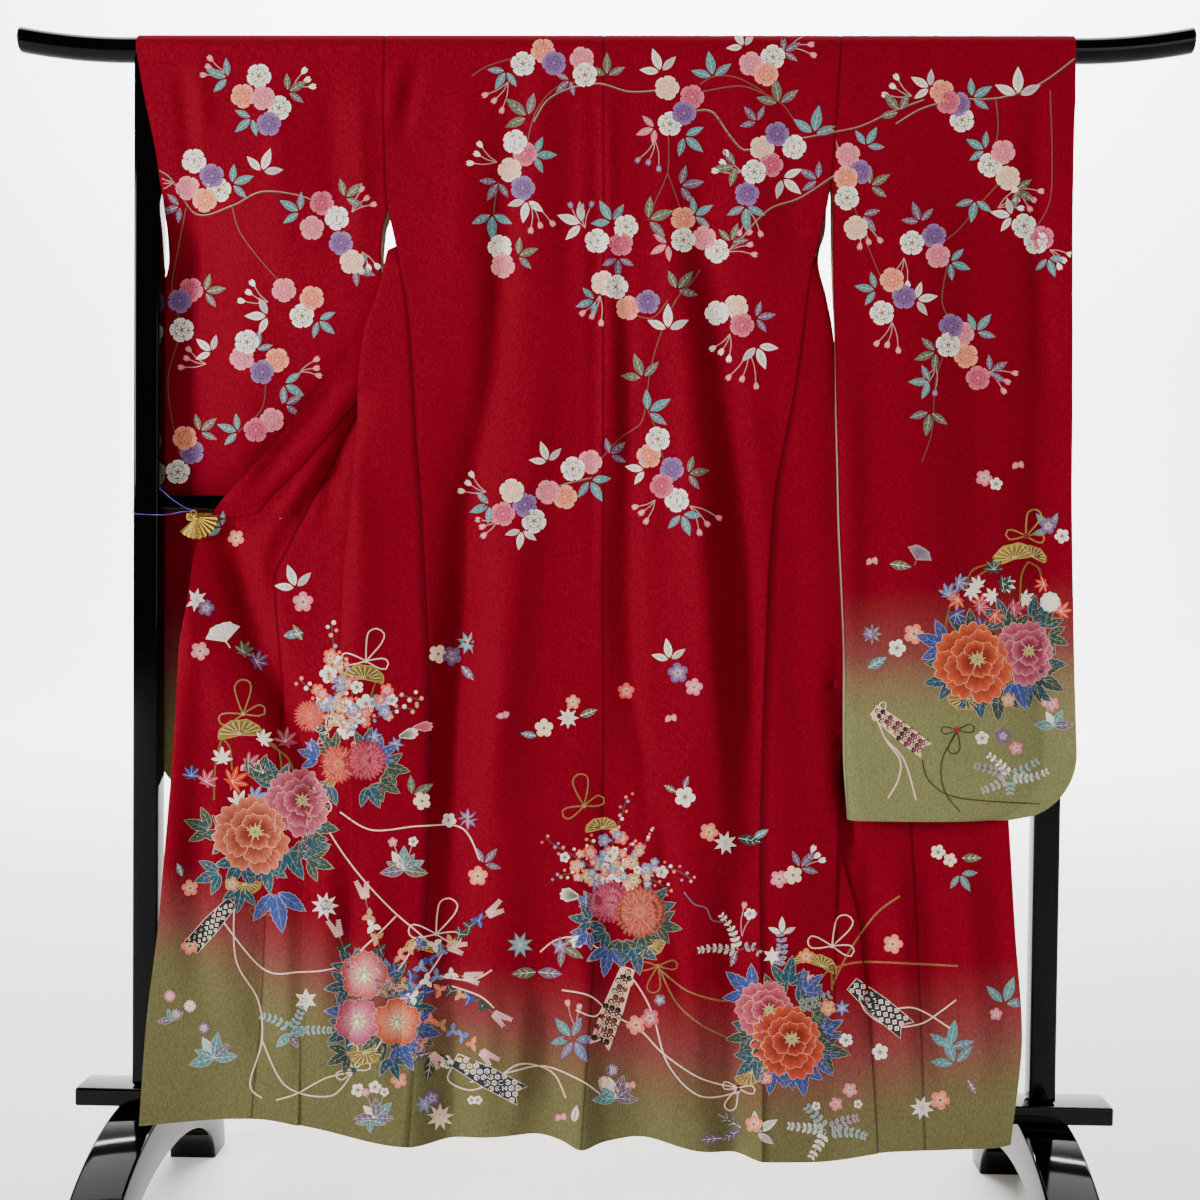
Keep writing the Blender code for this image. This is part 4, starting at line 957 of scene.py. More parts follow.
def maple(x, y, size, colour, turn=0, layer=3, vein=WHITE):
    """Maple leaf with seven narrow fingers."""
    outline = []
    for a, long in ((-128, 0.5), (-84, 0.8), (-40, 0.94), (0, 1.0), (40, 0.94), (84, 0.8), (128, 0.5)):
        for off, reach in ((-15, 0.62), (-6, 0.86), (0, 1.0), (6, 0.86), (15, 0.62), (20.5, 0.42)):
            outline.append((0.55 * long * reach * sin(radians(a + off)),
                            0.55 * long * reach * cos(radians(a + off))))
    paint(place(outline, x, y, size, turn), between(colour, INK, 0.1), layer, colour, middle=(x, y))
    for a, long in ((-84, 0.8), (-40, 0.94), (0, 1.0), (40, 0.94), (84, 0.8)):
        tip = (0.45 * long * sin(radians(a)), 0.45 * long * cos(radians(a)))
        stroke(place([(0, 0), tip], x, y, size, turn), 0.7, between(colour, vein, 0.6), layer + 1, end=0.4,
               step=6)


def star(x, y, size, colour, turn=0, layer=3, points=8, vein=WHITE):
    """Pointed star flower or leaf."""
    outline = []
    for k in range(points):
        a = 2 * pi * k / points
        b = a + pi / points
        outline += [(0.5 * sin(a), 0.5 * cos(a)), (0.25 * sin(b), 0.25 * cos(b))]
    paint(place(outline, x, y, size, turn), between(colour, vein, 0.25), layer, colour, middle=(x, y))
    for k in range(points):
        a = 2 * pi * k / points
        stroke(place([(0, 0), (0.42 * sin(a), 0.42 * cos(a))], x, y, size, turn), 0.7,
               between(colour, vein, 0.6), layer + 1, end=0.4, step=6)


def ginkgo(x, y, size, colour, turn, layer=2):
    outline = [(0, 0)]
    for a in np.linspace(-62, 62, 13):
        r = 1.0 - 0.10 * (abs(a) < 6) + 0.04 * cos(radians(a * 12))
        outline.append((r * sin(radians(a)), r * cos(radians(a))))
    paint(place(outline, x, y, size, turn), colour, layer, between(colour, WHITE, 0.25))
    for a in range(-50, 51, 20):
        stroke(place([(0, 0.15), (0.9 * sin(radians(a)), 0.9 * cos(radians(a)))], x, y, size, turn), 0.6,
               between(colour, INK, 0.35), layer + 1, step=6)
    stroke(place([(0, 0.05), (0.1, -0.35)], x, y, size, turn), 1.0, colour, layer + 1)


def petals(x, y, turn=0, colour=PINK):
    """Two fallen petals."""
    for dx, dy, a in ((-3, 0, 40), (3, -1, -30)):
        shape = [(0, -0.5), (0.35, -0.1), (0.38, 0.3), (0.15, 0.5), (0, 0.36), (-0.15, 0.5), (-0.38, 0.3),
                 (-0.35, -0.1)]
        paint(place(shape, x + dx, y + dy, 8, turn + a), between(colour, WHITE, 0.3), 2, colour)


def mum(x, y, size, colour, light, layer=5, count=26):
    """Chrysanthemum with three rows of narrow petals that curl a little."""
    paint(place(ring(count, 0.44), x, y, size), between(colour, INK, 0.35), layer)
    rows = ((0.24, 0.5, count, 0.095, 0.03), (0.12, 0.37, 19, 0.085, -0.03), (0.03, 0.22, 13, 0.08, 0.02))
    for row, (start, end, number, width, curl) in enumerate(rows):
        for k in range(number):
            a = 360 * (k + 0.5 * row) / number
            reach = end * (1.0, 0.93, 0.97)[k % 3]
            stroke(place([(0, start), (curl, (start + reach) / 2), (0, reach)], x, y, size, a), size * width,
                   light, layer + 1 + row, start=0.35, end=0.45, bulge=0.35, edge=colour, step=size / 9)
    paint(place(ring(8, 0.05), x, y, size), GOLD, layer + 4)


def ruffled_petal(x, y, size, turn, inner, outer, spread, light, deep, layer, streak=None,
                  reach=(0.40, 0.84)):
    """Broad petal with a ruffled edge, dark at its root, streaked, and rimmed with a fine pale line."""
    outline = [(inner * sin(radians(a)), inner * cos(radians(a))) for a in np.linspace(-spread * 0.3,
                                                                                       spread * 0.3, 3)]
    for k, a in enumerate(np.linspace(spread / 2, -spread / 2, 17)):
        fall = 1 - 0.26 * abs(a / (spread / 2))**3
        r = outer * fall * (1.03, 0.99, 0.93, 0.99)[(k + int(turn)) % 4]
        outline.append((r * sin(radians(a)), r * cos(radians(a))))
    shape = place(outline, x, y, size, turn)
    edging(shape, between(light, CREAM, 0.5), layer)
    paint(shape, between(deep, INK, 0.12), layer + 1, light, rings=4,
          middle=place([(0, inner + 0.02)], x, y, size, turn)[0], power=2.6)
    for k, a in enumerate(np.linspace(-spread * 0.36, spread * 0.36, 7)):
        far = reach[1] - 0.12 * (k % 2)
        line = [((inner + (outer - inner) * s) * sin(radians(a)),
                 (inner + (outer - inner) * s) * cos(radians(a)))
                for s in (reach[0], far)]
        dye = between(deep, INK, 0.1) if streak is None else streak
        stroke(place(line, x, y, size, turn), 0.7, dye, layer + 2, start=0.6, end=0.4, step=8)


def peony(x, y, size, light, deep, layer=8, turn=0):
    """Full peony: rounds of broad petals over an open heart."""
    for k in range(7):
        ruffled_petal(x, y, size, turn + k * 51 + 5 * (k % 3), 0.10, (0.54, 0.48, 0.52)[k % 3], 66, light,
                      deep, layer + (k % 2) * 2)
    x, y = place([(0.03, 0.04)], x, y, size, turn)[0]
    for k in range(5):
        ruffled_petal(x, y, size, turn + 24 + k * 73, 0.06, (0.42, 0.36, 0.40)[k % 3], 80, light, deep,
                      layer + 5 + (k % 2) * 2)
    x, y = place([(0.02, 0.02)], x, y, size, turn)[0]
    for k in range(4):
        ruffled_petal(x, y, size, turn + 60 + k * 94, 0.03, (0.28, 0.24)[k % 2], 96, light, deep,
                      layer + 9 + k % 2)
    paint(place(ring(14, 0.09, 7, 0.25), x, y, size), "#7E7A34", layer + 13, "#B5AE62")
    for k in range(9):
        stroke(place([(0, 0.02), (0, 0.115)], x, y, size, k * 40), 0.7, "#DACF8A", layer + 14)


def rose(x, y, size, light, deep, layer=8, turn=0):
    """Single wild rose: five broad petals, pale streaks from the heart, and a boss of stamens."""
    for k in range(5):
        ruffled_petal(x, y, size, turn + k * 72, 0.04, 0.5, 78, light, deep, layer + (k % 2) * 2,
                      between(light, WHITE, 0.5), (0.16, 0.62))
    paint(place(ring(18, 0.15, 9, 0.25), x, y, size), "#77803E", layer + 5, "#C7C67A")
    for k in range(9):
        stroke(place([(0, 0.08), (0, 0.19)], x, y, size, k * 40 + 10), 0.8, "#F2E9BC", layer + 6)
    paint(place(ring(8, 0.06), x, y + 1, size), WHITE, layer + 6)


def frond(points, colour, long=7, gap=4.5, layer=2, stem=None):
    """Stem with paired leaflets."""
    line = course(points, gap)
    stroke(points, 0.9, stem or between(colour, INK, 0.3), layer)
    run = np.gradient(line, axis=0)
    for k in range(1, len(line)):
        heading = degrees(atan2(run[k][0], -run[k][1]))
        size = long * (1.0 - 0.45 * k / len(line))
        for side in (-1, 1):
            shape = [(0, 0), (0.26, 0.3), (0.27, 0.65), (0, 1), (-0.27, 0.65), (-0.26, 0.3)]
            paint(place(shape, line[k][0], line[k][1], size, heading + side * 58), colour, layer + 1,
                  between(colour, WHITE, 0.4))


def sprig(points, seed, layer=4, bloom=11):
    """Twig set with plum blossoms and buds in mixed colours, one beside the other."""
    chance = np.random.default_rng(seed)
    stroke(points, 1.1, "#5C403A", layer)
    line = course(points, bloom * 0.8)
    choice = (WHITE, CORAL, SLATE, PEACH, WHITE, TAN, SLATE, CORAL)
    for k, (x, y) in enumerate(line):
        far = k / max(len(line) - 1, 1)
        side = 1 if k % 2 else -1
        dx, dy = chance.uniform(2, 5, 2) * side
        colour = choice[(k + seed) % len(choice)]
        if far < 0.68:
            plum(x + dx, y - dy, bloom * chance.uniform(0.95, 1.3), colour, layer + 1 + 3 * (k % 2))
        else:
            paint(place(ring(9, 0.5), x + dx * 0.5, y - dy * 0.5, bloom * 0.42), between(colour, WHITE, 0.35),
                  layer + 2, colour)
        paint(place(ring(8, 0.5), x - dx * 1.1, y + dy * 1.1, bloom * 0.36), between(colour, WHITE, 0.2),
              layer + 1, colour)


def clover(points, seed, layer=5):
    """Bush clover: small leaves and flowers in threes along a bending stem, with a feathery end."""
    chance = np.random.default_rng(seed)
    stroke(points, 1.0, "#6F5A3C", layer)
    line = course(points, 10)
    choice = (WHITE, BLUE, FOREST, TAN, SLATE, BLUE, FOREST, PEACH)
    for k, (x, y) in enumerate(line[:-1]):
        colour = choice[chance.integers(len(choice))]
        turn = chance.uniform(0, 360)
        for a in (-108, 0, 108):
            leaf(x, y, turn + a, chance.uniform(7.5, 9), colour, between(colour, WHITE, 0.4),
                 layer + 1 + k % 2, ratio=0.64)
    run = line[-1] - line[-2]
    heading = degrees(atan2(run[0], -run[1]))
    x, y = line[-1]
    for a, far in ((-14, 20), (16, 17)):
        frond([(x, y), tuple(place([(0, far)], x, y, 1, heading + a)[0])], "#E9A3A0", 4.6, 2.4, layer + 1)


def tuft(x, y, size, turn, colours, flowers=2, layer=3):
    """Low plant: leaves from one root and small flowers on thin stalks."""
    count = len(colours)
    for k, colour in enumerate(colours):
        leaf(x, y, turn + (k - (count - 1) / 2) * 228 / count, size * (1.0, 0.8, 0.92)[k % 3], colour,
             between(colour, WHITE, 0.55), layer, ratio=0.42, rim=between(colour, WHITE, 0.35))
    for k in range(flowers):
        a = turn - 22 + 40 * k
        tip = place([(0, 1.25)], x, y, size, a)[0]
        stroke([(x, y), tip], 0.8, between(colours[0], WHITE, 0.3), layer)
        plum(tip[0], tip[1], size * 0.42, (PINK, WHITE, VIOLET)[k % 3], layer + 1)


def loop(x, y, size, turn, width, colour, layer, core=None, fat=0.30):
    """One long loop of cord from a knot."""
    shape = [(0, 0), (-fat * 0.7, 0.45), (-fat, 0.8), (-fat * 0.4, 1.0), (fat * 0.45, 0.95), (fat * 0.6, 0.7),
             (fat * 0.35, 0.35), (0, 0)]
    line(place(shape, x, y, size, turn), width, colour, layer, core)


def line(points, width, colour, layer, core=None):
    """A cord: a line with its twist or braid drawn along it."""
    stroke(points, width, colour, layer)
    if core is not None:
        stroke(points, width * 0.38, core, layer + 1)


def cord(points, layer=3):
    line(points, CORD_WIDTH, CORD, layer)


def bow(x, y, size, turn, colour, layer=5, core=None, width=1.25, bead=None):
    """Bow of cord with three loops."""
    for a, long in ((-88, 0.72), (18, 1.0), (96, 0.66)):
        loop(x, y, size * long, turn + a, width, colour, layer, core)
    paint(place(ring(10, 0.5), x, y, 6 if bead else 4), bead or colour, layer + 2)


def cap(x, y, size, turn, layer=4, colour=GOLD):
    """Ribbed and gilded cover like a half-open parasol."""
    ribs = 9
    edge = [(0.9 * sin(radians(a)), 0.62 * cos(radians(a)) - 0.06 * abs(cos(radians(a * 4)))) for a in
            np.linspace(-96, 96, 2 * ribs + 1)]
    outline = edge + [(0.45, -0.10), (0, -0.04), (-0.45, -0.10)]
    rimmed(place(outline, x, y, size, turn), between(colour, DARK_GOLD, 0.5), "#C9A95A", layer, colour)
    for a in np.linspace(-80, 80, ribs):
        tip = (0.84 * sin(radians(a)), 0.56 * cos(radians(a)))
        stroke(place([(0, -0.02), tip], x, y, size, turn), 1.0, "#D9C078", layer + 2, start=0.4, step=5)
        b = a + 9
        tip = (0.8 * sin(radians(b)), 0.5 * cos(radians(b)))
        stroke(place([(0.2 * tip[0], 0.2 * tip[1]), tip], x, y, size, turn), 0.7, DARK_GOLD, layer + 2,
               step=5)


def strip(x, y, turn, long, wide, kind, colours, layer=4):
    """Patterned paper strip with a cut end, hung by a cord. Kinds are scales, tortoiseshell and lattice."""
    first, second, ground = colours
    outline = [(-0.34 * wide, 0), (0.34 * wide, 0), (0.5 * wide, long * 0.5), (0.5 * wide, long),
               (0, long - 0.4 * wide), (-0.5 * wide, long), (-0.5 * wide, long * 0.5)]
    rimmed(place(outline, x, y, 1, turn), ground, CORD, layer,
           middle=place([(0, long * 0.5)], x, y, 1, turn)[0])
    cell = wide / 3.1
    for row in range(int(long / (cell * 0.87))):
        for column in (-1, 0, 1):
            u = (column + (0.5 if row % 2 else 0) - 0.25) * cell
            v = (row * 0.87 + 0.6) * cell
            if abs(u) > wide * (0.22 + 0.2 * min(v / long * 2, 1)) or v > long - cell * 0.9:
                continue
            colour = first if (row // 3) % 2 == 0 else second
            if kind == "scales":
                paint(place(ring(12, 0.5 * cell) + (u, v), x, y, 1, turn), first, layer + 2)
                paint(place(ring(12, 0.34 * cell) + (u, v + 0.1 * cell), x, y, 1, turn),
                      colour if row % 2 else ground, layer + 3)
                paint(place(ring(8, 0.17 * cell) + (u, v + 0.16 * cell), x, y, 1, turn), second, layer + 4)
            else:
                sides = 6 if kind == "tortoiseshell" else 4
                paint(place(ring(sides, 0.43 * cell) + (u, v), x, y, 1, turn), colour, layer + 2)
                paint(place(ring(sides, 0.24 * cell) + (u, v), x, y, 1, turn),
                      "#8E2A3C" if row % 2 else ground, layer + 3)
                paint(place(ring(sides, 0.11 * cell) + (u, v), x, y, 1, turn), WHITE, layer + 4)


def maples(x, y, seed, count=8, reach=30, layer=5):
    """Spray of maple leaves in mixed dyes."""
    chance = np.random.default_rng(seed)
    dyes = (WHITE, ORANGE, ROSE, BLUE, CORAL, SLATE, WHITE, FOREST)
    for k in range(count):
        a = 2 * pi * k / count + chance.uniform(-0.3, 0.3)
        r = reach * (0.45 + 0.55 * (k % 2)) * chance.uniform(0.85, 1.1)
        maple(x + r * cos(a) * 1.25, y + r * sin(a) * 0.7, chance.uniform(19, 25), dyes[k % 8],
              chance.uniform(0, 360), layer + k % 3)


def leaves(x, y, rows, layer=6, near=0.84):
    """Bouquet leaves with fine pale outlines: each is a step away, its turn, length and dye."""
    for dx, dy, turn, size, colour in rows:
        trio(x + dx * near, y + dy * near, turn, size, colour, layer, between(colour, CREAM, 0.26),
             between(colour, CREAM, 0.45), 46, 0.09)


# Round cherry blossoms, as letters of their dyes with their places down the view
BLOSSOMS = (
    # left sleeve
    ("w", 259, 76), ("a", 243, 96), ("p", 263, 98), ("w", 279, 108), ("v", 269, 124), ("w", 194, 161),
    ("p", 188, 188), ("v", 212, 176), ("a", 205, 200), ("w", 219, 190), ("r", 322, 203), ("w", 337, 218),
    ("p", 312, 228), ("v", 341, 243), ("c", 352, 262), ("p", 284, 290), ("w", 302, 316), ("a", 312, 298),
    ("r", 191, 290), ("v", 180, 301), ("w", 182, 330), ("p", 242, 358), ("v", 262, 372), ("w", 247, 342),
    ("a", 277, 360), ("p", 272, 420), ("r", 256, 430), ("v", 192, 452), ("w", 178, 472), ("a", 185, 438),
    # upper back
    ("a", 543, 51), ("v", 554, 63), ("w", 523, 64), ("p", 582, 59), ("w", 585, 75), ("w", 515, 142),
    ("r", 525, 154), ("c", 510, 170), ("v", 523, 188), ("c", 667, 88), ("r", 692, 97), ("v", 684, 113),
    ("w", 670, 124), ("p", 751, 64), ("a", 766, 74), ("w", 773, 57), ("c", 762, 148), ("v", 777, 134),
    ("w", 794, 147), ("r", 771, 165), ("w", 754, 172), ("v", 747, 194), ("w", 500, 247), ("p", 503, 266),
    ("a", 683, 219), ("p", 704, 238), ("w", 683, 240), ("w", 717, 251), ("w", 626, 227), ("r", 621, 244),
    ("w", 597, 241), ("c", 603, 283), ("w", 616, 287), ("a", 628, 308), ("v", 648, 302), ("w", 717, 313),
    ("c", 736, 307), ("r", 742, 325),
    # lower row across the back
    ("w", 658, 439), ("a", 649, 456), ("v", 672, 469), ("r", 662, 486), ("w", 677, 500), ("p", 590, 462),
    ("w", 573, 469), ("a", 565, 497), ("v", 525, 505), ("c", 512, 491), ("r", 503, 514), ("w", 534, 521),
    ("p", 548, 492),
    # right sleeve
    ("p", 848, 155), ("a", 846, 178), ("w", 847, 198), ("v", 860, 172), ("c", 856, 228), ("r", 948, 102),
    ("w", 962, 120), ("v", 958, 104), ("a", 942, 92), ("w", 990, 165), ("p", 1003, 152), ("c", 1008, 178),
    ("w", 912, 243), ("v", 934, 236), ("p", 938, 256), ("w", 1024, 226), ("r", 1042, 238), ("a", 892, 280),
    ("v", 904, 297), ("w", 882, 313), ("w", 948, 345), ("p", 962, 334), ("a", 966, 356), ("v", 951, 326),
    ("r", 978, 378), ("w", 1036, 242))

# Leaves in threes beside the blossoms: place, turn, size and dye
TRIOS = (
    (228, 78, -70, 16, AQUA), (288, 92, 60, 15, GREY_GREEN), (252, 118, -130, 15, AQUA),
    (262, 172, 20, 17, WHITE), (232, 184, 70, 16, AQUA), (180, 206, -110, 14, MAUVE),
    (345, 198, 50, 16, GREY_GREEN), (300, 212, -60, 16, AQUA), (355, 268, 110, 15, MAUVE),
    (318, 320, 130, 15, AQUA), (268, 316, -90, 16, WHITE), (205, 292, 80, 15, GREY_GREEN),
    (212, 352, -50, 14, WHITE), (284, 384, 120, 16, AQUA), (256, 350, 10, 14, AQUA),
    (285, 405, 60, 14, MAUVE), (200, 432, 50, 15, GREY_GREEN), (238, 432, -70, 15, AQUA),
    (506, 71, -150, 15, AQUA), (570, 80, -130, 13, MAUVE), (607, 76, 0, 16, GREY_GREEN),
    (528, 117, -50, 20, GREY_GREEN), (534, 155, 90, 16, AQUA), (498, 182, -150, 15, MAUVE),
    (527, 200, 190, 16, WHITE), (492, 214, 180, 18, AQUA), (518, 256, 70, 15, GREY_GREEN),
    (661, 72, -20, 17, WHITE), (713, 77, -10, 18, AQUA), (655, 128, -110, 14, PINK),
    (684, 136, 130, 17, AQUA), (744, 47, -30, 14, WHITE), (784, 52, 60, 13, MAUVE),
    (779, 104, -10, 19, GREY_GREEN), (757, 122, -40, 14, MAUVE), (814, 134, 10, 20, AQUA),
    (736, 166, -100, 17, GREY_GREEN), (782, 178, 130, 17, WHITE), (746, 206, 180, 17, AQUA),
    (818, 180, -60, 15, MAUVE), (582, 224, -70, 18, WHITE), (612, 222, -30, 17, AQUA),
    (648, 220, 70, 19, GREY_GREEN), (680, 186, 80, 17, MAUVE), (694, 216, 60, 15, AQUA),
    (668, 244, -120, 14, PINK), (618, 258, 180, 14, MAUVE), (731, 242, 20, 14, GREY_GREEN),
    (677, 290, 40, 17, GREY_GREEN), (668, 330, 0, 18, WHITE), (595, 300, -110, 14, AQUA),
    (757, 346, 160, 17, WHITE), (756, 318, 80, 14, MAUVE), (643, 378, -20, 18, GREY_GREEN),
    (648, 412, 60, 18, AQUA), (590, 480, 150, 17, AQUA), (688, 474, 80, 15, GREY_GREEN),
    (682, 514, 160, 16, AQUA), (610, 455, 50, 14, MAUVE), (548, 462, -20, 15, WHITE),
    (490, 505, -110, 15, AQUA), (522, 530, 190, 14, WHITE), (645, 470, -80, 14, WHITE),
    (870, 186, 60, 16, GREY_GREEN), (866, 146, 30, 15, AQUA), (862, 215, 140, 15, MAUVE),
    (930, 88, -60, 15, WHITE), (972, 98, 60, 16, AQUA), (900, 112, -40, 17, GREY_GREEN),
    (1018, 96, 0, 20, WHITE), (985, 150, -60, 15, AQUA), (1016, 190, 120, 15, GREY_GREEN),
    (975, 200, -170, 16, AQUA), (920, 222, -20, 15, MAUVE), (950, 262, 110, 15, AQUA),
    (1012, 216, -80, 15, WHITE), (1048, 258, 160, 14, AQUA), (876, 290, -80, 15, AQUA),
    (916, 300, 80, 15, WHITE), (936, 352, -110, 16, GREY_GREEN), (976, 332, 40, 16, AQUA),
    (990, 372, 60, 14, MAUVE), (930, 382, -90, 15, AQUA), (930, 412, 190, 17, GREY_GREEN))

# Buds on stalks: place, turn, size and dye
BUDS = (
    (226, 72, -80, 20, PINK), (292, 90, 50, 20, WHITE), (174, 182, -100, 18, PINK), (352, 212, 40, 22, PINK),
    (362, 252, 150, 18, WHITE), (268, 302, -70, 24, WHITE), (206, 364, -80, 22, PINK),
    (300, 372, 70, 18, PINK), (508, 82, -150, 26, PINK), (788, 48, 75, 26, PINK), (497, 162, -75, 24, WHITE),
    (531, 204, 150, 26, PINK), (655, 140, 190, 26, VIOLET), (742, 172, -70, 24, WHITE),
    (748, 210, 170, 24, PINK), (585, 228, -15, 24, VIOLET), (728, 252, 65, 26, PINK),
    (600, 296, 195, 24, PINK), (748, 350, 185, 34, PINK), (730, 334, 200, 22, WHITE),
    (690, 506, 130, 28, PINK), (655, 500, 220, 20, PINK), (486, 492, -70, 22, WHITE),
    (498, 520, -120, 18, PINK), (860, 222, 150, 24, PINK), (840, 150, -50, 16, VIOLET),
    (912, 96, -70, 24, WHITE), (1014, 190, 110, 24, PINK), (904, 258, 190, 24, WHITE),
    (1050, 250, 120, 18, WHITE), (892, 322, 185, 26, PINK), (936, 366, 200, 24, VIOLET),
    (988, 372, 110, 24, PINK), (998, 208, 60, 22, WHITE))

# Branches: width and course
BRANCHES = (
    (2.6, ((136, 166), (168, 176), (196, 214), (232, 206), (262, 192), (300, 196), (322, 206))),
    (1.6, ((186, 208), (178, 250), (172, 290), (180, 330), (168, 380), (176, 440), (184, 462))),
    (1.5, ((232, 206), (240, 232), (262, 262), (284, 286))),
    (1.4, ((238, 432), (262, 408), (266, 372))),
    (1.5, ((472, 76), (488, 66), (520, 56))),
    (3.0, ((534, 122), (548, 100), (572, 88), (600, 84), (630, 92), (664, 90))),
    (1.6, ((526, 148), (536, 112), (556, 88), (588, 80))),
    (1.6, ((498, 182), (494, 214), (499, 244))),
    (3.2, ((692, 112), (712, 112), (730, 136), (744, 150), (762, 146))),
    (1.6, ((700, 92), (738, 86), (760, 92), (782, 104), (800, 124), (836, 132))),
    (1.6, ((700, 84), (716, 76), (738, 78), (764, 92))),
    (2.4, ((794, 140), (836, 132), (862, 126), (892, 112), (924, 100))),
    (1.4, ((668, 130), (668, 170), (656, 200), (648, 220))),
    (1.3, ((668, 174), (676, 196), (682, 214))),
    (2.6, ((834, 176), (800, 198), (772, 208), (752, 226), (736, 246), (724, 252))),
    (1.6, ((700, 270), (690, 284), (676, 300), (660, 336), (650, 372), (646, 404), (640, 424), (618, 440),
           (592, 470))),
    (1.5, ((626, 312), (652, 318), (668, 300))),
    (2.2, ((592, 478), (560, 486), (530, 500))),
    (1.4, ((648, 410), (656, 430), (664, 462))),
    (2.8, ((1076, 58), (1040, 84), (1000, 98), (960, 100), (924, 108), (896, 124))),
    (1.6, ((996, 100), (998, 130), (992, 160))),
    (1.6, ((1000, 182), (980, 204), (956, 232), (930, 250))),
    (1.5, ((1050, 90), (1052, 150), (1050, 200), (1036, 228))),
    (1.4, ((948, 262), (942, 300), (950, 330), (936, 380), (932, 430), (922, 462))),
    (1.4, ((846, 180), (862, 230), (880, 276))))


def draw_blossoms():
    for width, points in BRANCHES:
        stroke(points, width * 0.85, BARK, 1, end=0.7)
        if width > 2:
            stroke(np.array(points) + (-0.2, -0.5), width * 0.3, "#A98A7C", 2)
            stroke(np.array(points) + (0.4, 0.7), width * 0.25, "#4E342C", 2)
    for x, y, turn, size, colour in TRIOS:
        with_anchor(trio, x, y, turn, size, colour, vein=PALE_VEIN if colour == WHITE else None)
    for x, y, turn, size, colour in BUDS:
        with_anchor(buds, x, y, turn, size, colour)
    for k, (kind, x, y) in enumerate(BLOSSOMS):
        with_anchor(blossom, x, y, kind, layer=4 + 2 * (k % 3))


def with_anchor(draw, x, y, *rest, **more):
    """Draw a figure whose plates all stay on the kind of cloth where its middle lies."""
    first = len(DRAWN)
    draw(x, y, *rest, **more)
    for k in range(first, len(DRAWN)):
        DRAWN[k] += ((x, y),)


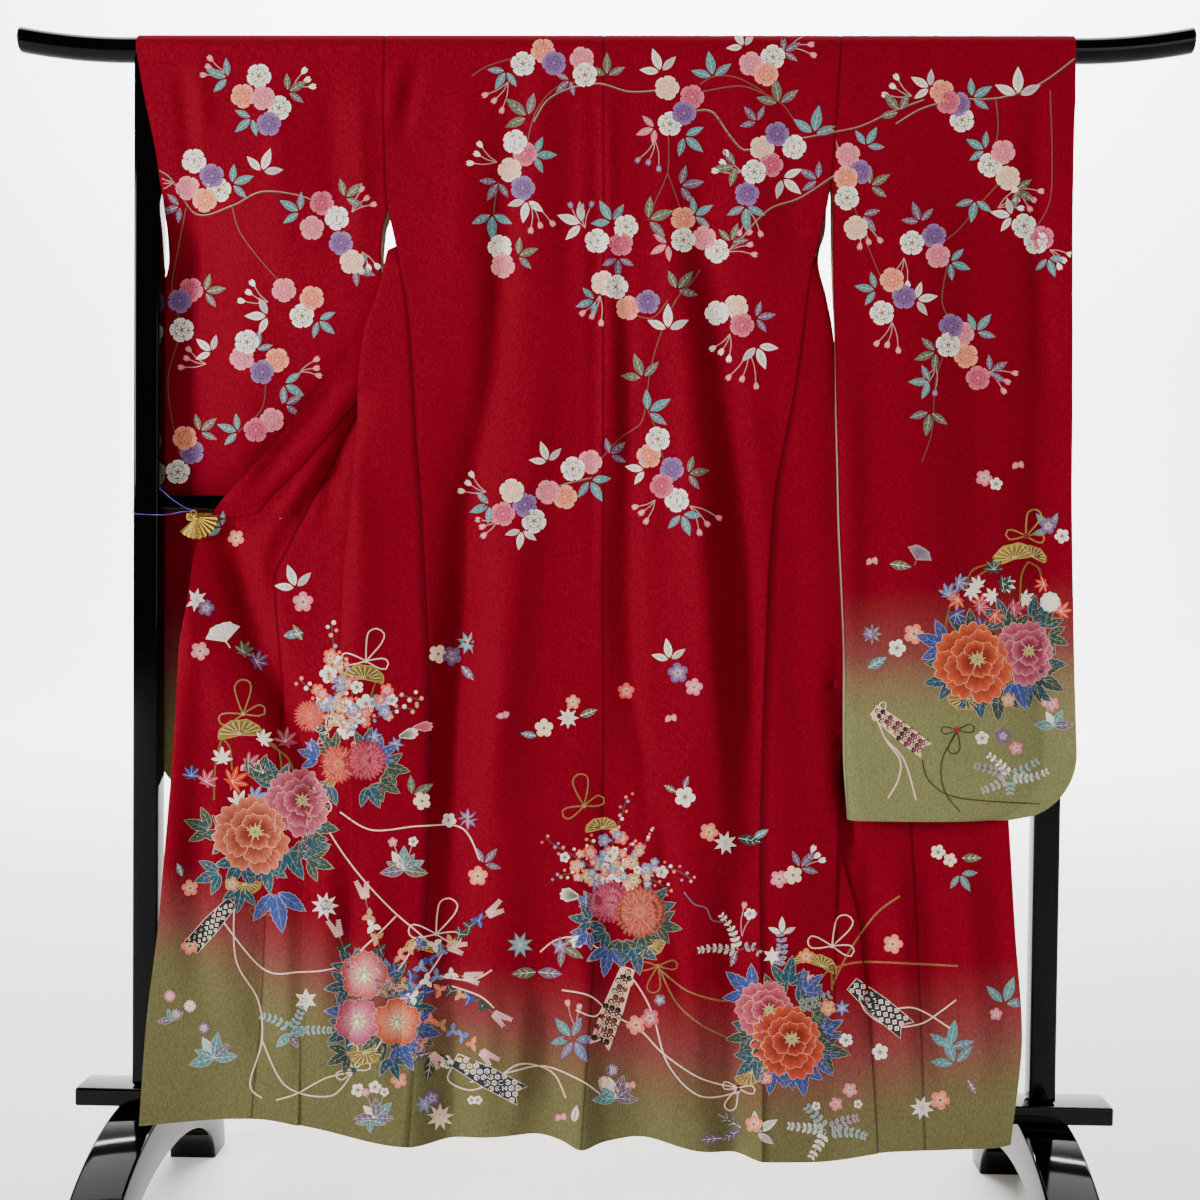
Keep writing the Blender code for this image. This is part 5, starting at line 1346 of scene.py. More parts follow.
# Petals, leaves and single flowers that fall between the branches and the hem. In this table and in
# those below, each row is a function and what it takes.
SCATTERED = (
    (trio, 296, 588, -20, 17, WHITE, 1, PALE_VEIN), (plum, 303, 602, 21, PINK),
    (star, 196, 600, 24, WHITE, 10, 3, 8, VIOLET), (plum, 206, 608, 17, VIOLET, 5),
    (ginkgo, 226, 642, 20, WHITE, -20), (maple, 243, 652, 23, GREY_GREEN, 30),
    (maple, 256, 662, 25, VIOLET, 60, 5), (plum, 200, 651, 19, PINK), (leaf, 284, 636, 80, 20, AQUA, WHITE),
    (leaf, 302, 640, -30, 18, GREY_GREEN, WHITE), (trio, 222, 527, -60, 13, AQUA),
    (plum, 236, 538, 17, PEACH), (plum, 438, 654, 19, CREAM), (plum, 452, 656, 20, VIOLET, 5),
    (star, 468, 643, 24, AQUA, 20), (leaf, 462, 666, 140, 19, MAUVE, WHITE),
    (trio, 670, 660, -10, 15, WHITE, 1, PALE_VEIN), (plum, 678, 673, 21, VIOLET),
    (plum, 694, 687, 18, PINK, 5), (plum, 626, 691, 17, CORAL), (petals, 671, 719),
    (star, 568, 718, 22, WHITE, 0, 3, 8, GREY_GREEN), (plum, 544, 728, 19, CREAM),
    (plum, 573, 702, 15, PEACH), (leaf, 580, 716, 70, 19, GREY_GREEN, WHITE),
    (leaf, 536, 736, -80, 16, AQUA, WHITE), (petals, 503, 716, 40), (trio, 412, 796, 60, 17, GREY_GREEN),
    (plum, 422, 801, 18, CREAM), (plum, 449, 820, 15, WHITE), (star, 468, 819, 23, VIOLET),
    (leaf, 676, 792, -60, 14, GREY_GREEN, WHITE), (leaf, 684, 788, 20, 13, MAUVE, WHITE),
    (plum, 685, 797, 21, WHITE), (plum, 709, 832, 19, PEACH), (star, 725, 843, 24, WHITE, 15, 3, 8, AQUA),
    (leaf, 738, 838, 100, 24, FOREST, WHITE), (leaf, 754, 838, 60, 17, AQUA, WHITE),
    (plum, 779, 879, 18, PINK), (plum, 793, 875, 19, CREAM, 5), (trio, 800, 868, 40, 15, MAUVE),
    (buds, 806, 866, 40, 16, WHITE), (plum, 478, 876, 20, PEACH), (trio, 484, 864, 40, 14, MAUVE),
    (star, 520, 945, 27, AQUA, 22), (leaf, 536, 972, -95, 25, GREY_GREEN, WHITE),
    (leaf, 538, 972, 95, 25, MAUVE, WHITE), (trio, 562, 946, 120, 17, GREY_GREEN),
    (star, 560, 946, 20, VIOLET, 0, 5, 5), (plum, 326, 905, 12, MAUVE),
    (star, 325, 906, 28, WHITE, 8, 3, 9, GREY_GREEN), (plum, 984, 478, 17, PINK),
    (plum, 996, 484, 13, WHITE, 5), (petals, 1018, 466), (petals, 872, 562),
    (leaf, 890, 564, 98, 22, GREY_GREEN, WHITE), (ginkgo, 916, 560, 15, MAUVE, 30),
    (star, 872, 634, 22, GREY_GREEN, 0), (plum, 870, 634, 14, VIOLET, 5), (plum, 897, 648, 18, WHITE),
    (plum, 914, 634, 21, PEACH), (leaf, 868, 668, 60, 22, AQUA, WHITE), (plum, 1048, 526, 17, VIOLET),
    (trio, 1050, 530, -40, 15, AQUA), (plum, 1062, 536, 15, WHITE, 5), (plum, 893, 944, 20, PEACH),
    (plum, 938, 852, 15, WHITE), (plum, 950, 860, 14, CREAM, 5),
    (leaf, 962, 858, 90, 20, GREY_GREEN, WHITE), (trio, 960, 874, 150, 14, AQUA),
    (trio, 1004, 1004, 20, 20, AQUA), (plum, 996, 1014, 13, PINK), (plum, 940, 1100, 20, PEACH),
    (star, 922, 1108, 24, WHITE, 12, 3, 8, MAUVE), (trio, 955, 1064, -20, 20, AQUA),
    (leaf, 968, 1080, 150, 16, MAUVE, WHITE), (plum, 880, 1052, 17, WHITE), (plum, 190, 888, 17, PEACH),
    (leaf, 182, 876, -20, 14, AQUA, WHITE), (plum, 190, 946, 18, PEACH), (petals, 246, 768))


def basket(x, y, size, turn, layer=5):
    """Foot of the flower basket: the same ribbed gilt form, opening upward."""
    cap(x, y, size, turn + 180, layer, "#94743A")


def handles(top, points, colour=GOLD):
    """Gilt cords that run from the cover down round the flowers."""
    for point in points:
        bend = ((top[0] + point[0]) / 2 + (point[0] - top[0]) * 0.3, (top[1] + point[1]) / 2 - 6)
        line((top, bend, point), 1.5, colour, 3, DARK_GOLD)


# Bouquet high on the left front
FRONT_HIGH_BOUQUET = (
    (bow, 366, 661, 34, 8, CORD), (cap, 364, 678, 22, 6), (handles, (352, 680), ((344, 720),)),
    (handles, (376, 680), ((388, 712), (368, 742))),
    (sprig, ((346, 716), (338, 684), (334, 648), (332, 624)), 11),
    (sprig, ((344, 716), (318, 696), (300, 680)), 12), (sprig, ((350, 720), (352, 690), (344, 664)), 13),
    (sprig, ((356, 722), (376, 704), (400, 696), (420, 700)), 14),
    (sprig, ((350, 724), (380, 716), (402, 708), (414, 710)), 15),
    (trio, 330, 732, -70, 17, TEAL, 4, CREAM, CREAM), (plum, 332, 704, 20, SLATE),
    (plum, 366, 704, 20, WHITE), (plum, 346, 730, 19, WHITE), (plum, 360, 744, 18, TAN),
    (mum, 310, 716, 33, "#B2302A", "#DE6E5C"), (plum, 331, 656, 16, CORAL, 5), (plum, 340, 665, 19, TAN, 5),
    (plum, 329, 674, 19, WHITE, 5), (plum, 341, 684, 19, SLATE, 5), (plum, 346, 706, 18, CORAL, 5),
    (plum, 379, 702, 17, SLATE, 5), (plum, 332, 719, 18, TAN, 5), (plum, 387, 690, 14, CORAL, 5),
    (plum, 318, 690, 14, CORAL, 5), (plum, 392, 700, 12, WHITE, 5), (plum, 354, 716, 15, PEACH, 5),
    (plum, 322, 700, 13, WHITE, 5), (star, 312, 746, 18, BLUE, 0, 5, 6),
    (star, 374, 736, 18, BLUE, 20, 5, 6), (star, 396, 744, 17, BLUE, 40, 5, 6),
    (ruffled_petal, 394, 738, 30, 75, 0.2, 0.8, 34, WHITE, GREY_GREEN, 4),
    (ruffled_petal, 408, 728, 30, 85, 0.2, 0.8, 30, PINK, ROSE, 4),
    (leaves, 352, 770, ((38, -4, 100, 22, FOREST), (-26, 16, -150, 22, TEAL), (18, 18, 150, 22, TEAL),
                        (-20, -22, -40, 20, FOREST), (14, -24, 20, 20, TEAL), (30, -16, 60, 20, BLUE),
                        (-38, -14, -70, 20, BLUE), (30, 12, 120, 22, FOREST))),
    (mum, 338, 764, 40, "#AE3026", "#DE7460", 8), (mum, 366, 760, 43, "#98283E", "#D05E6C", 14),
    (basket, 322, 784, 17, -30))

# Bouquet low on the left front
FRONT_LOW_BOUQUET = (
    (bow, 243, 714, 34, -14, "#B99A62", 5, DARK_GOLD), (cap, 240, 734, 24, -6),
    (handles, (222, 738), ((214, 800), (232, 770))), (handles, (258, 738), ((296, 792), (282, 770))),
    (maple, 222, 760, 25, WHITE, 0, 6), (maple, 206, 782, 26, ROSE, 30, 6),
    (maple, 232, 782, 33, ORANGE, 60, 6), (maple, 248, 764, 29, "#A8485C", 90, 6),
    (maple, 263, 773, 27, WHITE, 20, 6), (maple, 262, 740, 22, WHITE, 50, 6),
    (maple, 285, 742, 29, "#A03C4A", 10, 6), (maple, 254, 798, 28, SLATE, 70, 6),
    (maple, 238, 804, 28, WHITE, 25, 6), (maple, 191, 776, 22, BLUE, 5, 6),
    (maple, 276, 786, 24, FOREST, 40, 6),
    (leaves, 250, 830, ((8, -58, 20, 24, FOREST), (38, -52, 60, 22, TEAL), (-46, 0, -70, 24, FOREST),
                        (60, 24, 80, 26, TEAL), (68, 34, 110, 24, FOREST), (-34, 50, -110, 24, TEAL),
                        (30, 72, 170, 36, BLUE), (-10, 68, -170, 22, TEAL), (64, -6, 60, 20, BLUE))),
    (leaves, 262, 818, ((22, -44, -20, 26, TEAL), (40, -34, 30, 24, TEAL), (60, 8, 100, 30, FOREST),
                        (54, 28, 140, 28, FOREST), (34, 44, 150, 30, TEAL), (-44, 24, -90, 26, FOREST),
                        (-28, 58, -150, 28, TEAL), (4, 64, 170, 26, TEAL)), 5, 0.7),
    (peony, 298, 803, 64, "#C25F70", "#861B36", 12, 15), (peony, 252, 836, 74, "#CB6A4C", "#7E1B16", 28, 0),
    (plum, 232, 884, 15, TAN, 9), (basket, 245, 884, 18, 0), (bow, 306, 812, 26, 60, CORD),
    (star, 320, 806, 17, BLUE, 0, 5, 6))

# Cords and the plant beside that bouquet
FRONT_CORDS = (
    (cord, ((340, 812), (372, 830), (420, 826), (462, 828), (480, 860))),
    (cord, ((318, 812), (338, 846), (362, 878), (392, 910), (424, 938), (432, 952))),
    (tuft, 404, 870, 24, 0, (MAUVE, GREY_GREEN, WHITE, AQUA, MAUVE, AQUA, GREY_GREEN), 2))

# Paper strip on the left front and its cords
FRONT_STRIP = (
    (cord, ((232, 902), (216, 910), (214, 922)), 4),
    (cord, ((234, 902), (236, 960), (258, 1000), (262, 1040), (250, 1084), (262, 1098))),
    (cord, ((216, 912), (262, 968), (300, 972), (340, 966), (372, 940), (396, 916))),
    (strip, 232, 902, 222, 62, 17, "lattice", ("#F4E9D8", "#F0D9B8", INK)),
    (bow, 264, 912, 20, 10, "#6E5A34", 4, None, 1.2, BEAD))


# Roses and bush clover at the hem
ROSES_AND_CLOVER = (
    (clover, ((384, 984), (380, 950), (370, 916), (366, 900)), 31),
    (clover, ((392, 984), (400, 956), (420, 944), (446, 946)), 32),
    (clover, ((396, 990), (430, 960), (460, 934), (486, 916)), 33),
    (clover, ((404, 1000), (440, 990), (470, 998), (492, 1012)), 34),
    (clover, ((398, 1010), (430, 1020), (462, 1036), (480, 1050)), 35),
    (clover, ((382, 990), (352, 962), (340, 938)), 36), (clover, ((400, 1000), (436, 976), (462, 976)), 37),
    (clover, ((396, 1000), (412, 1030), (430, 1052)), 38), (bow, 436, 934, 38, 10, CORD),
    (cap, 420, 948, 16, 10), (cord, ((420, 936), (404, 962), (390, 980)), 7),
    (cord, ((444, 950), (430, 972), (398, 1014), (376, 1050)), 7),
    (cord, ((340, 974), (366, 962), (390, 984)), 7), (cord, ((440, 976), (472, 980), (492, 970)), 7),
    (cord, ((452, 986), (480, 996), (494, 1008)), 7),
    (leaves, 378, 1000, ((-34, -18, -100, 22, TEAL), (-30, -36, -30, 22, TEAL), (14, 0, 10, 28, TEAL),
                         (-14, 14, -60, 20, FOREST), (36, 34, 100, 28, BLUE), (24, 52, 150, 26, BLUE),
                         (-34, 62, -120, 22, FOREST), (14, 66, 160, 22, TEAL))),
    (leaves, 380, 1002, ((-16, -44, -30, 24, TEAL), (12, -28, 40, 24, FOREST), (-42, 14, -90, 24, BLUE),
                         (42, 10, 90, 24, TEAL), (-40, 38, -120, 26, TEAL), (2, 46, 180, 26, FOREST),
                         (44, 44, 120, 24, FOREST)), 5, 0.66),
    (rose, 364, 975, 48, "#B0343E", "#D8867C", 10, 10), (rose, 358, 1021, 47, "#A32F50", "#CF7088", 18, 30),
    (rose, 397, 1022, 48, "#BE3A20", "#E08A66", 26, 0), (basket, 366, 1052, 20, -10),
    (bow, 354, 1070, 26, -20, CORD, 5, None, 1.25, FOREST),
    (cord, ((354, 1072), (326, 1078), (296, 1094), (276, 1100))),
    (cord, ((262, 1040), (286, 1086), (330, 1096), (352, 1074))),
    (cord, ((470, 1082), (510, 1072), (544, 1066), (580, 1080), (600, 1094))),
    (cord, ((454, 1064), (448, 1080), (470, 1090), (492, 1082), (520, 1064), (552, 1072), (566, 1098))),
    (trio, 432, 1052, 190, 20, FOREST, 4, CREAM), (plum, 446, 1062, 14, WHITE),
    (strip, 455, 1060, 118, 76, 21, "tortoiseshell", ("#EFE2CC", "#F3ECDD", "#20283A")))

# Chrysanthemum bouquet on the centre seam
CENTRE_BOUQUET = (
    (bow, 584, 806, 32, -22, BRASS, 5, DARK_GOLD), (cap, 601, 828, 17, -8),
    (sprig, ((608, 878), (612, 846), (622, 814), (628, 796)), 61, 4, 8.5),
    (sprig, ((606, 880), (584, 862), (556, 846), (546, 838)), 62, 4, 8.5),
    (sprig, ((606, 886), (580, 874), (556, 876)), 63, 4, 8.5),
    (sprig, ((612, 880), (640, 850), (652, 830)), 64, 4, 8.5),
    (sprig, ((616, 884), (650, 866), (676, 870), (692, 880)), 65, 4, 8.5),
    (sprig, ((618, 890), (650, 880), (670, 892)), 66, 4, 8.5),
    (sprig, ((604, 876), (596, 850), (588, 838)), 67, 4, 8.5),
    (sprig, ((610, 874), (620, 856), (634, 842)), 68, 4, 8.5),
    (leaves, 626, 914, ((-30, 26, -120, 24, TEAL), (24, 30, 150, 24, FOREST), (38, -2, 70, 24, TEAL),
                        (-6, 40, 180, 24, FOREST), (-44, -6, -60, 22, BLUE)), 5, 0.6),
    (leaves, 626, 916, ((-40, 6, -80, 20, TEAL), (30, -12, 40, 20, TEAL), (36, 10, 100, 22, FOREST),
                        (-20, 36, 190, 26, BLUE), (10, 34, 170, 26, TEAL), (-44, 18, -140, 18, BLUE),
                        (-34, -10, -40, 18, FOREST))),
    (star, 586, 900, 18, BLUE, 0, 7, 6), (star, 596, 884, 17, BLUE, 20, 7, 6),
    (ruffled_petal, 586, 898, 34, -80, 0.25, 0.75, 40, WHITE, GREY_GREEN, 6), (plum, 634, 880, 15, TAN, 9),
    (plum, 610, 856, 15, WHITE, 6), (plum, 622, 838, 14, CORAL, 6), (plum, 600, 862, 16, SLATE, 6),
    (plum, 632, 862, 15, TAN, 6), (plum, 590, 852, 14, CORAL, 6), (plum, 646, 870, 15, SLATE, 6),
    (plum, 618, 874, 17, WHITE, 6), (plum, 576, 866, 14, PEACH, 6), (plum, 662, 872, 13, WHITE, 6),
    (plum, 604, 840, 13, SLATE, 6), (plum, 640, 848, 12, CORAL, 6), (plum, 588, 876, 15, TAN, 6),
    (mum, 609, 902, 44, "#A62C50", "#DC6E86", 10, 26), (mum, 640, 912, 54, "#98382A", "#D2765C", 16, 30),
    (basket, 650, 946, 18, -28), (bow, 658, 966, 27, 178, "#9A7A44", 5, DARK_GOLD),
    (line, ((658, 968), (686, 990), (716, 1000), (732, 1000)), 1.4, BRASS, 3, DARK_GOLD),
    (line, ((660, 970), (676, 1002), (700, 1024), (728, 1038)), 1.4, BRASS, 3, DARK_GOLD))

# Strip of scales, with its cords and plums
SCALE_STRIP = (
    (cord, ((540, 952), (556, 940), (578, 938), (606, 954), (632, 978), (652, 1012), (668, 1064), (700, 1096),
            (740, 1092))),
    (cord, ((562, 990), (590, 996), (612, 1014), (640, 1030), (664, 1054), (700, 1078), (738, 1088))),
    (cord, ((576, 1010), (596, 1016), (610, 996), (632, 984), (628, 968))),
    (strip, 628, 968, 200, 84, 20, "scales", (INK, "#7A3A2A", "#F0C0A0"), 5), (plum, 577, 942, 13, WHITE),
    (plum, 650, 1018, 20, ROSE), (plum, 636, 1025, 20, PEACH, 5), (plum, 660, 1000, 12, MAUVE))

# Vine and ferns between the bouquets
VINE_AND_FERNS = (
    (line, ((684, 892), (694, 904), (706, 908), (712, 920), (724, 922)), 1.3, MAUVE, 3),
    (frond, ((738, 950), (732, 930), (722, 916)), WHITE, 7),
    (frond, ((738, 952), (716, 948), (700, 950)), FERN_GREY, 7),
    (frond, ((740, 950), (752, 946), (758, 952)), MAUVE, 7), (leaf, 736, 952, 200, 16, MAUVE, WHITE),
    (buds, 742, 936, 10, 28, PINK, 2), (plum, 750, 914, 12, WHITE), (buds, 578, 1030, -15, 26, PINK, 2),
    (trio, 572, 1038, -40, 18, AQUA), (trio, 574, 1040, 150, 18, SLATE))


# Peonies at the right of the hem
HEM_PEONIES = (
    (bow, 832, 946, 34, 14, CORD), (cap, 822, 966, 17, 24), (cap, 806, 960, 13, -10),
    (handles, (830, 968), ((812, 1020), (832, 990))),
    (line, ((832, 986), (850, 950), (876, 914), (900, 896)), 1.6, "#A9784A", 3, DARK_GOLD),
    (line, ((834, 968), (862, 962), (920, 964), (958, 966)), 1.6, "#A9784A", 3, DARK_GOLD),
    (frond, ((776, 968), (782, 948), (780, 932)), BLUE, 9, 5), (trio, 782, 934, 0, 12, WHITE, 4),
    (star, 772, 956, 19, WHITE, 0, 6, 6), (plum, 806, 956, 16, AMBER, 7),
    (star, 808, 978, 15, CORAL, 0, 6, 6),
    (leaves, 782, 1020, ((-34, -30, -50, 30, BLUE), (6, -40, 10, 26, TEAL), (24, -34, 50, 22, BLUE),
                         (34, -8, 70, 22, FOREST), (-36, 18, -100, 22, FOREST), (42, 34, 100, 28, FOREST),
                         (20, 52, 170, 28, BLUE), (-10, 58, -170, 22, BLUE), (-28, 44, -130, 24, TEAL),
                         (48, 14, 60, 20, BLUE), (38, 40, 140, 24, BLUE))),
    (frond, ((796, 1006), (816, 1002), (828, 996)), FOREST, 9, 5, 8),
    (leaves, 784, 1026, ((-36, 4, -80, 26, TEAL), (30, -30, 40, 26, TEAL), (44, 4, 80, 26, FOREST),
                         (36, 40, 130, 28, TEAL), (-22, 36, -140, 28, FOREST), (6, 56, 170, 26, BLUE),
                         (-14, -38, -20, 26, FOREST)), 5, 0.6),
    (peony, 765, 1012, 58, "#C65866", "#8A1B34", 10, 20),
    (peony, 788, 1043, 70, "#C84A2A", "#7C1814", 26, 0), (plum, 828, 1008, 16, AMBER, 7),
    (star, 842, 1008, 18, BLUE, 0, 6, 6), (plum, 846, 1040, 14, WHITE, 9), (basket, 752, 1072, 20, -24),
    (plum, 766, 1078, 13, PEACH, 12), (bow, 738, 1088, 24, 190, CORD, 5, None, 1.25, INK),
    (cord, ((858, 992), (866, 1012), (890, 1026), (920, 1024), (940, 1012), (956, 1000))),
    (cord, ((852, 984), (876, 1010), (914, 1008), (950, 1028))),
    (strip, 852, 984, 130, 72, 21, "lattice", ("#F1E4D2", "#F3ECDD", "#2A2224")))

# Bouquet on the right sleeve
SLEEVE_BOUQUET = (
    (bow, 1026, 536, 28, 8, "#C2A056", 5, DARK_GOLD, 1.25, BEAD), (cap, 1014, 558, 24, -14, 5, "#B4963E"),
    (cap, 1032, 556, 16, 20, 5), (handles, (1000, 562), ((944, 640), (966, 590))),
    (handles, (1028, 562), ((1020, 600), (1042, 588))), (maples, 998, 596, 5, 10, 44),
    (maples, 975, 598, 8, 8, 30, 8), (maple, 1060, 612, 24, CORAL, 40, 6),
    (leaves, 996, 648, ((-58, -2, -70, 28, BLUE), (-46, 18, -130, 22, BLUE), (12, -34, -70, 22, TEAL),
                        (40, -34, 60, 24, TEAL), (56, -24, 20, 22, FOREST), (-50, 36, -100, 26, TEAL),
                        (-24, 46, 170, 28, TEAL), (44, 30, 120, 30, FOREST), (22, 38, 160, 26, BLUE),
                        (60, -14, 110, 20, FOREST))),
    (paint, place(ring(20, 0.5, 10, 0.1), 1050, 602, 21), WHITE, 10, "#DAD8D2"),
    (leaves, 998, 658, ((-60, 8, -90, 28, TEAL), (-40, -34, -50, 26, FOREST), (0, 46, 180, 28, FOREST),
                        (58, 10, 90, 26, TEAL), (44, 36, 130, 26, TEAL), (20, -40, 0, 24, FOREST)), 5, 0.66),
    (peony, 1024, 653, 60, "#C45F76", "#861C3C", 12, 24),
    (peony, 973, 664, 76, "#D0562C", "#821A14", 28, 0), (basket, 966, 698, 20, 0),
    (plum, 1008, 700, 15, TAN, 12), (bow, 957, 730, 24, 176, DARK_CORD, 5, None, 1.1, BEAD),
    (line, ((957, 732), (942, 760), (944, 790), (960, 812)), 1.2, DARK_CORD, 3),
    (line, ((922, 760), (930, 782), (960, 798), (1040, 804)), 1.2, DARK_CORD, 3),
    (cord, ((874, 712), (886, 740), (900, 760), (898, 780), (888, 798))),
    (cord, ((876, 708), (884, 736), (904, 760), (916, 800))), (bow, 882, 716, 14, -10, CORD),
    (strip, 874, 710, 128, 66, 17, "scales", (INK, "#8E2A52", "#E8C39A"), 5), (plum, 982, 738, 14, WHITE),
    (plum, 1003, 736, 15, VIOLET), (plum, 1016, 748, 14, PINK),
    (frond, ((1010, 776), (1000, 764), (990, 756)), WHITE, 7),
    (frond, ((1010, 776), (1026, 768), (1036, 762)), AQUA, 7),
    (frond, ((1010, 776), (992, 770), (976, 766)), MAUVE, 7),
    (frond, ((1010, 778), (1030, 778), (1046, 772)), FERN_GREY, 7),
    (frond, ((1010, 778), (1010, 792)), AQUA, 7), (frond, ((1008, 778), (994, 786), (984, 790)), RAIN, 7),
    (tuft, 1054, 726, 20, 0, (AQUA, WHITE, AQUA, MAUVE), 1), (plum, 1052, 704, 15, PINK))


# Low plants and flowers on the olive ground
HEM_PLANTS = (
    (tuft, 214, 1058, 26, -10, (AQUA, AQUA, "#B9CFC6", AQUA, MAUVE, AQUA), 0),
    (mum, 170, 996, 13, PINK, WHITE, 4, 12), (mum, 190, 1006, 13, WHITE, WHITE, 4, 12),
    (mum, 176, 1014, 13, MAUVE, WHITE, 4, 12), (mum, 204, 1028, 13, VIOLET, WHITE, 4, 12),
    (tuft, 172, 1020, 15, -20, (MAUVE, AQUA, GREY_GREEN), 0), (star, 306, 1000, 24, WHITE, 0, 3, 6, AQUA),
    (frond, ((290, 1030), (276, 1020), (262, 1016)), AQUA, 7),
    (frond, ((290, 1030), (300, 1014), (304, 1000)), AQUA, 7),
    (frond, ((290, 1032), (312, 1030), (330, 1030)), AQUA, 7),
    (tuft, 290, 1034, 20, 150, (AQUA, MAUVE, AQUA), 0), (plum, 358, 1090, 14, WHITE),
    (plum, 375, 1087, 13, WHITE), (tuft, 376, 1118, 22, 0, (MAUVE, WHITE, MAUVE, AQUA, MAUVE), 2),
    (plum, 399, 1080, 17, PEACH), (tuft, 370, 1120, 16, 180, (AQUA, AQUA, AQUA), 0),
    (plum, 432, 1098, 18, VIOLET), (star, 425, 1104, 20, SLATE, 10, 5, 7),
    (star, 440, 1117, 28, CREAM, 0, 5, 9), (plum, 472, 1100, 9, WHITE), (plum, 478, 1100, 9, WHITE),
    (petals, 561, 1118), (leaf, 574, 1122, 10, 17, WHITE, INK),
    (tuft, 616, 1098, 24, 0, (AQUA, AQUA, WHITE, MAUVE, MAUVE, MAUVE), 0),
    (mum, 612, 1070, 14, VIOLET, WHITE, 4, 14), (mum, 604, 1082, 13, CREAM, WHITE, 4, 14),
    (petals, 630, 1086), (leaf, 722, 1138, -95, 22, MAUVE, WHITE),
    (leaf, 742, 1128, -60, 30, GREY_GREEN, WHITE), (leaf, 740, 1130, -120, 22, MAUVE, WHITE),
    (plum, 754, 1124, 18, PEACH), (trio, 756, 1132, 60, 17, WHITE, 1, PALE_VEIN),
    (frond, ((826, 1130), (816, 1116), (808, 1108)), AQUA, 8),
    (frond, ((826, 1130), (806, 1128), (790, 1126)), "#B9C3B4", 8),
    (frond, ((828, 1132), (850, 1132), (864, 1136)), AQUA, 8),
    (frond, ((826, 1132), (818, 1146), (812, 1156)), WHITE, 8),
    (frond, ((828, 1130), (842, 1122), (856, 1118)), MAUVE, 8), (plum, 850, 1090, 15, PINK),
    (plum, 836, 1104, 14, PINK), (plum, 858, 1104, 9, WHITE), (plum, 816, 1106, 9, WHITE),
    (trio, 950, 1048, 10, 20, AQUA))


def draw_all():
    """Draw the branches and blossoms, then every row: its function and what that takes."""
    draw_blossoms()
    for rows in (SCATTERED, FRONT_HIGH_BOUQUET, FRONT_LOW_BOUQUET, FRONT_CORDS, FRONT_STRIP, ROSES_AND_CLOVER,
                 CENTRE_BOUQUET, SCALE_STRIP, VINE_AND_FERNS, HEM_PEONIES, SLEEVE_BOUQUET, HEM_PLANTS):
        for draw, *values in rows:
            draw(*values)


def add_node(material, kind, settings=(), links=()):
    """Add a node with its settings, and link outputs of other nodes to its inputs."""
    node = material.node_tree.nodes.new(kind)
    for name, value in settings:
        if name in node.inputs:
            node.inputs[name].default_value = value
        else:
            setattr(node, name, value)
    for source, name in links:
        material.node_tree.links.new(source, node.inputs[name])
    return node


def new_material(name):
    material = bpy.data.materials.new(name)
    material.use_nodes = True
    return material, material.node_tree.nodes["Principled BSDF"]


def link(material, source, target):
    material.node_tree.links.new(source, target)


def crepe_grain(material, distance):
    """Bump of silk crepe: hard-twisted weft pulls the cloth into pebbles.

    The pebbles are about 0.7 mm across on the real silk. They are drawn 2 mm across, so that they show.
    """
    place = add_node(material, "ShaderNodeTexCoord")
    stretch = add_node(material, "ShaderNodeMapping", (("Scale", (1.0, 1.0, 0.55)),),
                       ((place.outputs["Object"], "Vector"),))
    pebbles = add_node(material, "ShaderNodeTexNoise", (("Scale", 1000 / 2.2), ("Detail", 2.0)),
                       ((stretch.outputs["Vector"], "Vector"),))
    bump = add_node(material, "ShaderNodeBump", (("Strength", 0.75), ("Distance", distance)),
                    ((pebbles.outputs["Fac"], "Height"),))
    return pebbles, bump


def make_dye(name, grain, painted_hollow_shade, painted_top_highlight, roughness, specular):
    """Dye painted lighter on the pebbles' tops and darker in their hollows: painted highlight and shade."""
    material, shader = new_material(name)
    dye = add_node(material, "ShaderNodeAttribute", (("attribute_name", "dye"),))
    pebbles, bump = crepe_grain(material, grain)
    # Painted highlight and shade: the colour follows the same noise as the bump, darkest in the pebbles'
    # hollows
    shade = add_node(material, "ShaderNodeMapRange",
                     (("From Min", 0.3), ("From Max", 0.7), ("To Min", painted_hollow_shade), ("To Max", painted_top_highlight)),
                     ((pebbles.outputs["Fac"], "Value"),))
    tone = add_node(material, "ShaderNodeVectorMath", (("operation", "SCALE"),),
                    ((dye.outputs["Color"], 0), (shade.outputs["Result"], "Scale")))
    link(material, tone.outputs["Vector"], shader.inputs["Base Color"])
    link(material, bump.outputs["Normal"], shader.inputs["Normal"])
    shader.inputs["Roughness"].default_value = roughness
    shader.inputs["Specular IOR Level"].default_value = specular
    return material


def make_dyed_crepe():
    """Silk crepe dyed by hand: nearly matt, so that its red stays deep in the folds."""
    return make_dye("dyed silk crepe", 0.0006, 0.76, 1.20, 0.75, 0.03)


def make_painted_dye():
    """Pictures in paste-resist dye and couched silk thread: smoother than the crepe under them."""
    return make_dye("painted dye and silk thread", 0.0004, 0.82, 1.10, 0.65, 0.2)


def make_lining_silk():
    """Plain-weave lining silk: smooth and pale, darker where the hem's colour runs up inside."""
    material, shader = new_material("lining silk")
    dye = add_node(material, "ShaderNodeAttribute", (("attribute_name", "dye"),))
    link(material, dye.outputs["Color"], shader.inputs["Base Color"])
    shader.inputs["Roughness"].default_value = 0.5
    shader.inputs["Sheen Weight"].default_value = 0.1
    return material


